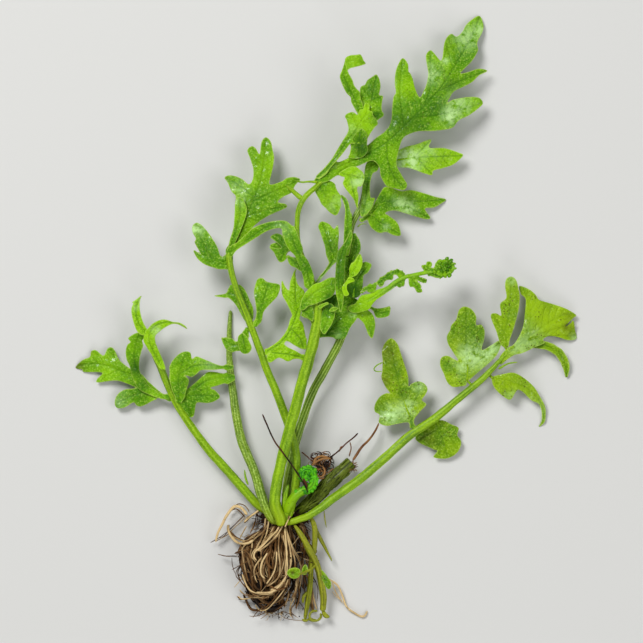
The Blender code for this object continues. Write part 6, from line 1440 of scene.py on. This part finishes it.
def add_deep_roots(bm, count, seed):
    """Roots that hang through the bundle and bend round its foot, darker further down: painted shade inside the
    bundle.
    """
    rng = random.Random(seed)
    for number in range(count):
        turn = rng.uniform(0, 2 * math.pi)
        depth = math.sqrt(rng.uniform(0.05, 0.86))
        end = rng.uniform(-36, -14)
        swing = rng.uniform(-0.9, 0.9)
        points = [in_bundle(-3 + (end + 3) * t, turn + swing * t, depth)
                  for t in (step / 9 for step in range(10))]
        if rng.random() < 0.5:
            x, y, z = points[-1]
            reach = rng.uniform(4, 11) * (1 if x < -6 else -1)
            points.append((x + reach * 0.4, y - 1.6, z))
            points.append((x + reach * 0.9, y - 0.4, z * 0.97))
            points.append((x + reach * 1.2, y + rng.uniform(2, 5), z))
        # The lower a root hangs, the lower its tone: painted shade inside the bundle.
        top = sum(p[2] for p in points) / len(points) / 12
        tone = min(max(-0.04 + 0.36 * top + rng.uniform(-0.2, 0.22), 0.02), 0.56)
        strand(bm, points, rng.uniform(0.22, 0.55), tone, seed * 1000 + number, sides=7, spacing=1.0,
               wander=0.7)


def add_root_hairs(bm, count, seed):
    """The finest side roots, short and dark, all through the bundle."""
    rng = random.Random(seed)
    for number in range(count):
        y = rng.uniform(-39, -2)
        turn = rng.uniform(0, 2 * math.pi)
        start = Vector(in_bundle(y, turn, rng.uniform(0.5, 1.02)))
        way = Vector((rng.uniform(-1, 1), rng.uniform(-1, 0.6), rng.uniform(-0.35, 0.35)))
        length = rng.uniform(2.0, 6.5)
        bend = Vector((rng.uniform(-1, 1), rng.uniform(-1, 1), 0)) * 0.6
        points = [start + way * (length * t) + bend * (length * t * t) for t in (0, 0.35, 0.7, 1)]
        points = [(x, max(y, -41.0), z) for x, y, z in points]
        strand(bm, points, rng.uniform(0.09, 0.17), rng.uniform(0.05, 0.75), seed * 1000 + number,
               sides=4, spacing=0.9, wander=0.5)


def add_side_roots(bm, count, seed):
    """Thin dark roots from the crown down beside the shoots."""
    rng = random.Random(seed)
    for number in range(count):
        x = rng.uniform(1, 9.5)
        z = rng.uniform(2, 7.5)
        end = rng.uniform(-38, -12)
        points = [(x * 0.7, -1.5, 6), (x, -5, z)]
        for t in (step / 5 for step in range(1, 6)):
            points.append((x + 4 * t + rng.uniform(-1.6, 1.6), -5 + (end + 5) * t, z * (1 - 0.6 * t)))
        strand(bm, points, rng.uniform(0.12, 0.34), rng.uniform(0.0, 0.42), seed * 1000 + number,
               spacing=0.9, wander=0.9)


def add_crumbs(bm, count, seed):
    """Grains of soil and broken bits that cling to the crown and the roots."""
    rng = random.Random(seed)
    for number in range(count):
        y = rng.uniform(-40, 4)
        turn = rng.uniform(0, 2 * math.pi)
        x, y, z = in_bundle(y, turn, rng.uniform(0.6, 1.02))
        x += rng.uniform(0, 8) if number % 3 == 0 else 0
        size = rng.uniform(0.14, 0.5)
        add_bead(bm, (x, y, max(z, 0.5)), (size, size * rng.uniform(0.5, 1), size * rng.uniform(0.5, 0.9)),
                 rng.uniform(0, 3), (0.5, 0.5, rng.uniform(0, 0.5) ** 1.5), leafy=False, steps=1)


# Crown and rests

def make_crown():
    """The dark crown with scales of old leaf bases and hairs."""
    bm = new_mesh()
    follow, tint = layers_of(bm)
    middle = Vector(CROWN_AT)
    for v in bmesh.ops.create_icosphere(bm, subdivisions=5, radius=1.0)["verts"]:
        n = v.co.copy()
        lump = 1 + 0.16 * noise.noise(n * 2.2) + 0.11 * noise.noise(n * 6.0)
        lump -= 0.08 * abs(noise.noise(n * 13.0))
        v[follow] = Vector((n.x, n.y, n.z * 4))
        v[tint] = Vector((0.5, 0.5, 0.10 + 0.3 * noise.noise(n * 4)))
        v.co = middle + Vector((n.x * 9.2, n.y * 4.3, n.z * 3.2)) * lump
    rng = random.Random(29)
    for number in range(44):
        turn = rng.uniform(0, 2 * math.pi)
        high = rng.uniform(0.1, 1.2)
        out = Vector((math.cos(turn) * math.cos(high), math.sin(turn) * math.cos(high) * 0.9,
                      math.sin(high)))
        start = middle + Vector((out.x * 8.2, out.y * 3.9, out.z * 3.0))
        way = Vector((out.x * 0.7 + rng.uniform(-0.5, 0.5), out.y + 0.5 + rng.uniform(-0.4, 0.6),
                      rng.uniform(-0.1, 0.4)))
        length = rng.uniform(1.2, 3.2)
        points = [start + way * (length * t) + out * math.sin(3 * t) * 0.5 for t in (0, 0.4, 0.75, 1)]
        strand(bm, points, rng.uniform(0.25, 0.75), rng.uniform(0.02, 0.36), 700 + number, sides=7,
               spacing=0.5, wander=0.4)
    for number in range(90):
        turn = rng.uniform(0, 2 * math.pi)
        start = middle + Vector((math.cos(turn) * 8.4, math.sin(turn) * 3.8, rng.uniform(-1, 2.4)))
        way = Vector((math.cos(turn) + rng.uniform(-0.6, 0.6), math.sin(turn) + rng.uniform(-0.7, 0.7),
                      rng.uniform(-0.2, 0.3)))
        length = rng.uniform(1.5, 4.2)
        points = [start + way * (length * t) for t in (0, 0.35, 0.7, 1)]
        strand(bm, points, rng.uniform(0.08, 0.16), rng.uniform(0.0, 0.4), 800 + number, sides=4,
               wander=0.7)
    return bm


def make_sheath():
    """Pale tissue between the main stalk and the crozier."""
    bm = new_mesh()
    stalk(bm, [(0.8, -1.2, 8.4, 0.7), (0.9, 2, 9.4, 1.2), (0.4, 6, 10.2, 1.3), (0.6, 10, 10.8, 1.1),
               (1.8, 13.6, 11, 0.5)], sides=16, spacing=0.5, ridges=6, depth=0.07, wobble=0.15, seed=5)
    stalk(bm, [(2.4, 0.4, 8.6, 0.5), (3, 3, 9.6, 0.9), (3.8, 6, 10.2, 0.8), (4.4, 8.6, 10.4, 0.4)],
          sides=14, spacing=0.5, ridges=5, depth=0.08, wobble=0.2, seed=8)
    return bm


def make_crozier():
    """The young coiled frond with the beads of its unopened leaflets."""
    bm = make_stalk("young_crozier", sides=22, spacing=0.35, ridges=6, depth=0.03, wobble=0.14, seed=3)
    rng = random.Random(11)
    line = curve_through(STALKS["young_crozier"], 0.8)
    for i, (x, y, z, r) in enumerate(line):
        share = i / (len(line) - 1)
        for _ in range(5 if share >= 0.3 else 0):
            turn = rng.uniform(0, 2 * math.pi)
            size = rng.uniform(0.5, 1.25) * (1.1 - 0.4 * share)
            centre = (x + math.cos(turn) * r * 0.95, y + math.sin(turn) * r * 0.95,
                      z + r * rng.uniform(0.1, 0.7))
            add_bead(bm, centre, (size, size * rng.uniform(0.6, 0.9), size * 0.7), rng.uniform(0, 3),
                     (rng.uniform(0.0, 1.0), 0.5 + 0.5 * share, 0.2), leafy=False)
    # The head of beads in the middle of the coil, darkened with painted shade through its tint.
    for number in range(16):
        turn, reach = seed_head(number, 0.36)
        add_bead(bm, (9.2 + math.cos(turn) * reach, 17.4 + math.sin(turn) * reach, 14.2 - 0.2 * reach),
                 (0.66, 0.5, 0.5), turn, (rng.uniform(0.0, 0.6), 0.9, 0.2), leafy=False)
    return bm


def make_stub():
    """The old cut stalk: ridged, mossy and frayed at its end."""
    bm = make_stalk("old_stub", sides=28, spacing=0.4, ridges=9, depth=0.07, wobble=0.16, seed=6, tip=False)
    rng = random.Random(23)
    line = curve_through(STALKS["old_stub"], 1.5)
    for number in range(70):
        turn = rng.uniform(0, 2 * math.pi)
        first = int(rng.uniform(0.0, 0.8) * (len(line) - 1))
        stretch = line[first:][:rng.randint(4, 8)]
        if len(stretch) < 3:
            continue
        points = []
        for k, (x, y, z, r) in enumerate(stretch):
            a = turn + 0.15 * k
            points.append((x + math.cos(a) * r * 0.7, y - math.cos(a) * r * 0.75,
                           z + abs(math.sin(a)) * r * 1.02))
        strand(bm, points, rng.uniform(0.14, 0.42), rng.uniform(0.1, 0.62), 900 + number, sides=5, spacing=0.8,
               wander=0.35)
    return bm


def make_frayed_end():
    """Pale fibres and scraps that hang off the cut end of the old stub."""
    bm = new_mesh()
    rng = random.Random(31)
    for number in range(80):
        start = Vector((27.0 + rng.uniform(-1.6, 1.2), 21.6 + rng.uniform(-2.4, 1.6),
                        7.4 + rng.uniform(-2, 2.2)))
        way = Vector((rng.uniform(-0.6, 0.9), rng.uniform(-0.9, 0.7), rng.uniform(-0.5, 0.4)))
        length = rng.uniform(0.8, 2.6)
        points = [start + way * (length * t) for t in (0, 0.4, 0.75, 1)]
        strand(bm, points, rng.uniform(0.07, 0.2), rng.uniform(0.2, 0.95), 1200 + number, sides=4, spacing=0.5,
               wander=0.5)
    return bm


def make_dead_tuft():
    """Dry strands over the stub, and the ball of crumpled fibres under them."""
    bm = new_mesh()
    rng = random.Random(41)
    for number, (line, thick, tone) in enumerate(DEAD_LINES):
        strand(bm, line, thick, tone, 1500 + number, sides=8, spacing=0.4, wander=0.3)
    for number in range(130):
        at = Vector((rng.gauss(0, 0.5), rng.gauss(0, 0.5), rng.gauss(0, 0.45)))
        way = Vector((rng.uniform(-0.6, 1), rng.uniform(-0.8, 0.9), rng.uniform(-0.5, 0.5)))
        points = []
        for t in (0, 0.33, 0.66, 1):
            curl = Vector((0.25 * math.sin(5 * t + number), 0.2 * math.cos(4 * t + number), 0))
            p = at + way * (0.7 * t) + curl
            p = p * min(1.0, 1.2 / max(p.length, 0.01))
            points.append((15 + p.x * 4.6, 21.4 + p.y * 4.4, max(6.6 + p.z * 2.8, 0.6)))
        strand(bm, points, rng.uniform(0.07, 0.26), rng.uniform(0.0, 0.95) ** 2.2, 1600 + number, sides=5,
               spacing=0.6, wander=0.9)
    return bm


# Operators

class SPRITE_OT_stalks(bpy.types.Operator):
    """Make the ribbed stalks of all fronds"""
    bl_idname = "sprite.stalks"
    bl_label = "Stalks"

    def execute(self, context):
        for number, name in enumerate(("stem_left", "stem_mid_left", "stem_main", "stem_main_upper",
                                       "stem_right")):
            bm = make_stalk(name, sides=24, spacing=0.5, ridges=6, depth=0.025, wobble=0.10, seed=number + 1,
                            twist=0.012)
            finish_skin(name, bm, stalk_material("green"))
        for number, (name, kind) in enumerate((("stem_cut_left", "speckled"), ("stem_back", "striped"))):
            bm = make_stalk(name, sides=32, spacing=0.5, ridges=9, depth=0.06, wobble=0.10, seed=number + 11,
                            twist=0.02)
            finish_skin(name, bm, stalk_material(kind))
        bm = new_mesh()
        add_blade(bm, BACK_WING, context.scene.sprite_sizes, 63)
        finish_piece("stem_back_wing", bm, leaf_material("green"), "leaf_green")
        return {"FINISHED"}


class SPRITE_OT_left_frond(bpy.types.Operator):
    """Make the leaflets of the left frond"""
    bl_idname = "sprite.left_frond"
    bl_label = "Left frond"

    def execute(self, context):
        make_leaflets("leaf_left_outer", "leaf_left_fold", "leaf_left_inner", "leaf_left_tip", "leaf_left_curl")
        return {"FINISHED"}


class SPRITE_OT_middle_frond(bpy.types.Operator):
    """Make the leaflets of the middle left frond"""
    bl_idname = "sprite.middle_frond"
    bl_label = "Middle frond"

    def execute(self, context):
        make_leaflets("leaf_mid_top", "leaf_mid_arch", "leaf_mid_outer", "leaf_mid_behind", "leaf_mid_right",
                      "leaf_mid_low", "leaf_mid_inner")
        return {"FINISHED"}


class SPRITE_OT_fork_leaflets(bpy.types.Operator):
    """Make the crowded leaflets at the fork of the main frond"""
    bl_idname = "sprite.fork_leaflets"
    bl_label = "Fork leaflets"

    def execute(self, context):
        make_leaflets("leaf_fork_base", "leaf_fork_left", "leaf_fork_dark", "leaf_fork_bright", "leaf_fork_back",
                      "leaf_fork_thin", "leaf_fork_right", "leaf_fork_tab", "leaf_fork_ribbon")
        return {"FINISHED"}


class SPRITE_OT_coil_frond(bpy.types.Operator):
    """Make the side frond that is still uncoiling"""
    bl_idname = "sprite.coil_frond"
    bl_label = "Uncoiling frond"

    def execute(self, context):
        make_coil_frond(context.scene.sprite_sizes)
        return {"FINISHED"}


class SPRITE_OT_top_frond(bpy.types.Operator):
    """Make the leaflets of the top of the main frond"""
    bl_idname = "sprite.top_frond"
    bl_label = "Top frond"

    def execute(self, context):
        make_leaflets("leaf_small_left", "leaf_hanging", "leaf_fold", "leaf_top_left", "leaf_top_blade",
                      "leaf_top_pale", "leaf_right_mid", "leaf_top_left_curl")
        return {"FINISHED"}


class SPRITE_OT_right_frond(bpy.types.Operator):
    """Make the leaflets of the right frond"""
    bl_idname = "sprite.right_frond"
    bl_label = "Right frond"

    def execute(self, context):
        make_leaflets("leaf_right_inner", "leaf_right_under", "leaf_right_upper", "leaf_right_tip",
                      "leaf_right_fan", "leaf_right_hook", "leaf_right_droop")
        return {"FINISHED"}


class SPRITE_OT_base(bpy.types.Operator):
    """Make the crown, the young crozier and the old stub"""
    bl_idname = "sprite.base"
    bl_label = "Crown and stub"

    def execute(self, context):
        finish_skin("crown", make_crown(), fibre_material("dead"))
        finish_piece("pale_sheath", make_sheath(), stalk_material("green"), "stem_striped")
        finish_skin("young_crozier", make_crozier(), stalk_material("bud"))
        finish_skin("old_stub", make_stub(), stalk_material("stub"))
        finish_piece("frayed_end", make_frayed_end(), fibre_material("dead"), "dead_brown")
        return {"FINISHED"}


class SPRITE_OT_dead_rests(bpy.types.Operator):
    """Make the dry brown rests of older fronds"""
    bl_idname = "sprite.dead_rests"
    bl_label = "Dry rests"

    def execute(self, context):
        mat = fibre_material("dead")
        finish_piece("dead_tuft_fibres", make_dead_tuft(), mat, "dead_brown", "dead_tuft")
        for name, tone in (("dead_strand_long", 0.5), ("dead_thread", 0.12)):
            bm = new_mesh()
            stalk(bm, STALKS[name], sides=8, spacing=0.5, wobble=0.35, seed=7, tint_value=(0, 0, tone))
            finish_skin(name, bm, mat)
        return {"FINISHED"}


class SPRITE_OT_roots(bpy.types.Operator):
    """Make the bundle of roots, the two loose roots and the finest hairs"""
    bl_idname = "sprite.roots"
    bl_label = "Roots"

    def execute(self, context):
        sizes = context.scene.sprite_sizes
        mat = fibre_material("root")
        bm = new_mesh()
        add_shown_roots(bm)
        finish_piece("roots_shown", bm, mat, "root_tan", "root_mass")
        bm = new_mesh()
        add_deep_roots(bm, sizes.root_strands, 3)
        finish_piece("roots_deep", bm, mat, "root_tan")
        bm = new_mesh()
        add_root_hairs(bm, sizes.root_hairs, 5)
        add_side_roots(bm, 34, 6)
        add_crumbs(bm, 420, 7)
        finish_piece("root_hairs", bm, mat, "root_tan")
        for name, tone in (("root_loop_upper", 0.85), ("root_long_right", 0.75)):
            bm = new_mesh()
            for line in (STALKS[name], *TWIGS.get(name, [])):
                stalk(bm, line, sides=10, spacing=0.45, wobble=0.3, seed=9, tint_value=(0, 0, tone))
            finish_skin(name, bm, mat)
        return {"FINISHED"}


class SPRITE_OT_shoots(bpy.types.Operator):
    """Make the green shoots and small leaves among the roots"""
    bl_idname = "sprite.shoots"
    bl_label = "Root shoots"

    def execute(self, context):
        mat = stalk_material("shoot")
        for number, name in enumerate(("shoot_front", "shoot_rear", "shoot_point")):
            bm = make_stalk(name, sides=16, spacing=0.45, ridges=5, depth=0.06, wobble=0.14,
                            seed=number + 21)
            finish_skin(name, bm, mat)
        bm = new_mesh()
        ring = [(12.5 + 2.3 * math.cos(a), -39 + 2 * math.sin(a), 4 + 0.5 * math.sin(2 * a), 0.5)
                for a in (1.2, 1.9, 2.6, 3.3, 4, 4.7, 5.4, 6.1, 6.8)]
        for line in (ring, *SHOOT_BUDS):
            stalk(bm, line, sides=12, spacing=0.4, ridges=5, depth=0.08, wobble=0.3, seed=len(line))
        finish_piece("shoot_buds", bm, mat, "shoot_olive")
        make_leaflets("root_leaflet_front", "root_leaflet_side")
        return {"FINISHED"}


def floor_material():
    mat, tree = new_material("Floor")
    wiring = Wiring(tree)
    grain = wiring.times(wiring.speckle(30.0, 3.0), 0.06)
    colour = wiring.mix(grain, colour_of("floor"), (0.6, 0.6, 0.6, 1))
    shader = put(tree, "BsdfPrincipled", None, {"Base Color": colour, "Roughness": 0.9})
    put(tree, "OutputMaterial", None, {"Surface": shader.outputs[0]})
    return mat


def linked(name, data):
    """A new object in the scene."""
    made = bpy.data.objects.new(name, data)
    bpy.context.scene.collection.objects.link(made)
    return made


class SPRITE_OT_stage(bpy.types.Operator):
    """Make the pale floor, the soft lights and the camera"""
    bl_idname = "sprite.stage"
    bl_label = "Stage"

    def execute(self, context):
        scene = context.scene
        bm = bmesh.new()
        bmesh.ops.create_grid(bm, x_segments=1, y_segments=1, size=FLOOR_HALF)
        mesh = bpy.data.meshes.new("floor")
        bm.to_mesh(mesh)
        bm.free()
        mesh.materials.append(floor_material())
        linked("floor", mesh)
        world = bpy.data.worlds.new("Soft studio")
        world.use_nodes = True
        back = world.node_tree.nodes["Background"]
        back.inputs["Color"].default_value = (1, 1, 1, 1)
        back.inputs["Strength"].default_value = WORLD_LIGHT
        scene.world = world
        scene.view_settings.view_transform = "Standard"
        target = ORIGIN + Vector(VIEW_AT) * MM
        for name, place, size, power in LIGHTS:
            data = bpy.data.lights.new(name, "AREA")
            data.shape = "DISK"
            data.size = size
            data.energy = power
            lamp = linked(name, data)
            lamp.location = target + Vector(place)
            lamp.rotation_euler = (target - lamp.location).to_track_quat("-Z", "Y").to_euler()
        data = bpy.data.cameras.new("camera")
        data.sensor_width = SENSOR
        data.lens = SENSOR * CAMERA_ABOVE / VIEW_WIDTH
        data.clip_end = 20.0
        scene.camera = linked("camera", data)
        scene.camera.location = (target.x, target.y, CAMERA_ABOVE + PLANE_HEIGHT)
        return {"FINISHED"}


class SPRITE_PT_panel(bpy.types.Panel):
    """Lists the pieces of the plant, its sizes and its colours"""
    bl_label = "Broad leaf water sprite"
    bl_idname = "SPRITE_PT_panel"
    bl_space_type = "VIEW_3D"
    bl_region_type = "UI"
    bl_category = "Sprite"

    def draw(self, context):
        column = self.layout.column(align=True)
        for operator in STEPS:
            column.operator(operator.bl_idname)
        for group in (context.scene.sprite_sizes, context.scene.sprite_colours):
            box = self.layout.box()
            for key in group.bl_rna.properties.keys():
                if key not in ("rna_type", "name"):
                    box.prop(group, key)


STEPS = (SPRITE_OT_stalks, SPRITE_OT_left_frond, SPRITE_OT_middle_frond, SPRITE_OT_fork_leaflets,
         SPRITE_OT_coil_frond, SPRITE_OT_top_frond, SPRITE_OT_right_frond, SPRITE_OT_base, SPRITE_OT_dead_rests,
         SPRITE_OT_roots, SPRITE_OT_shoots, SPRITE_OT_stage)
CLASSES = (SpriteSizes, SpriteColours) + STEPS + (SPRITE_PT_panel,)


def register():
    for cls in CLASSES:
        bpy.utils.register_class(cls)
    bpy.types.Scene.sprite_sizes = bpy.props.PointerProperty(type=SpriteSizes)
    bpy.types.Scene.sprite_colours = bpy.props.PointerProperty(type=SpriteColours)


def unregister():
    del bpy.types.Scene.sprite_colours
    del bpy.types.Scene.sprite_sizes
    for cls in reversed(CLASSES):
        bpy.utils.unregister_class(cls)


def main():
    register()
    for step in STEPS:
        family, name = step.bl_idname.split(".")
        getattr(getattr(bpy.ops, family), name)()


if __name__ == "__main__":
    main()
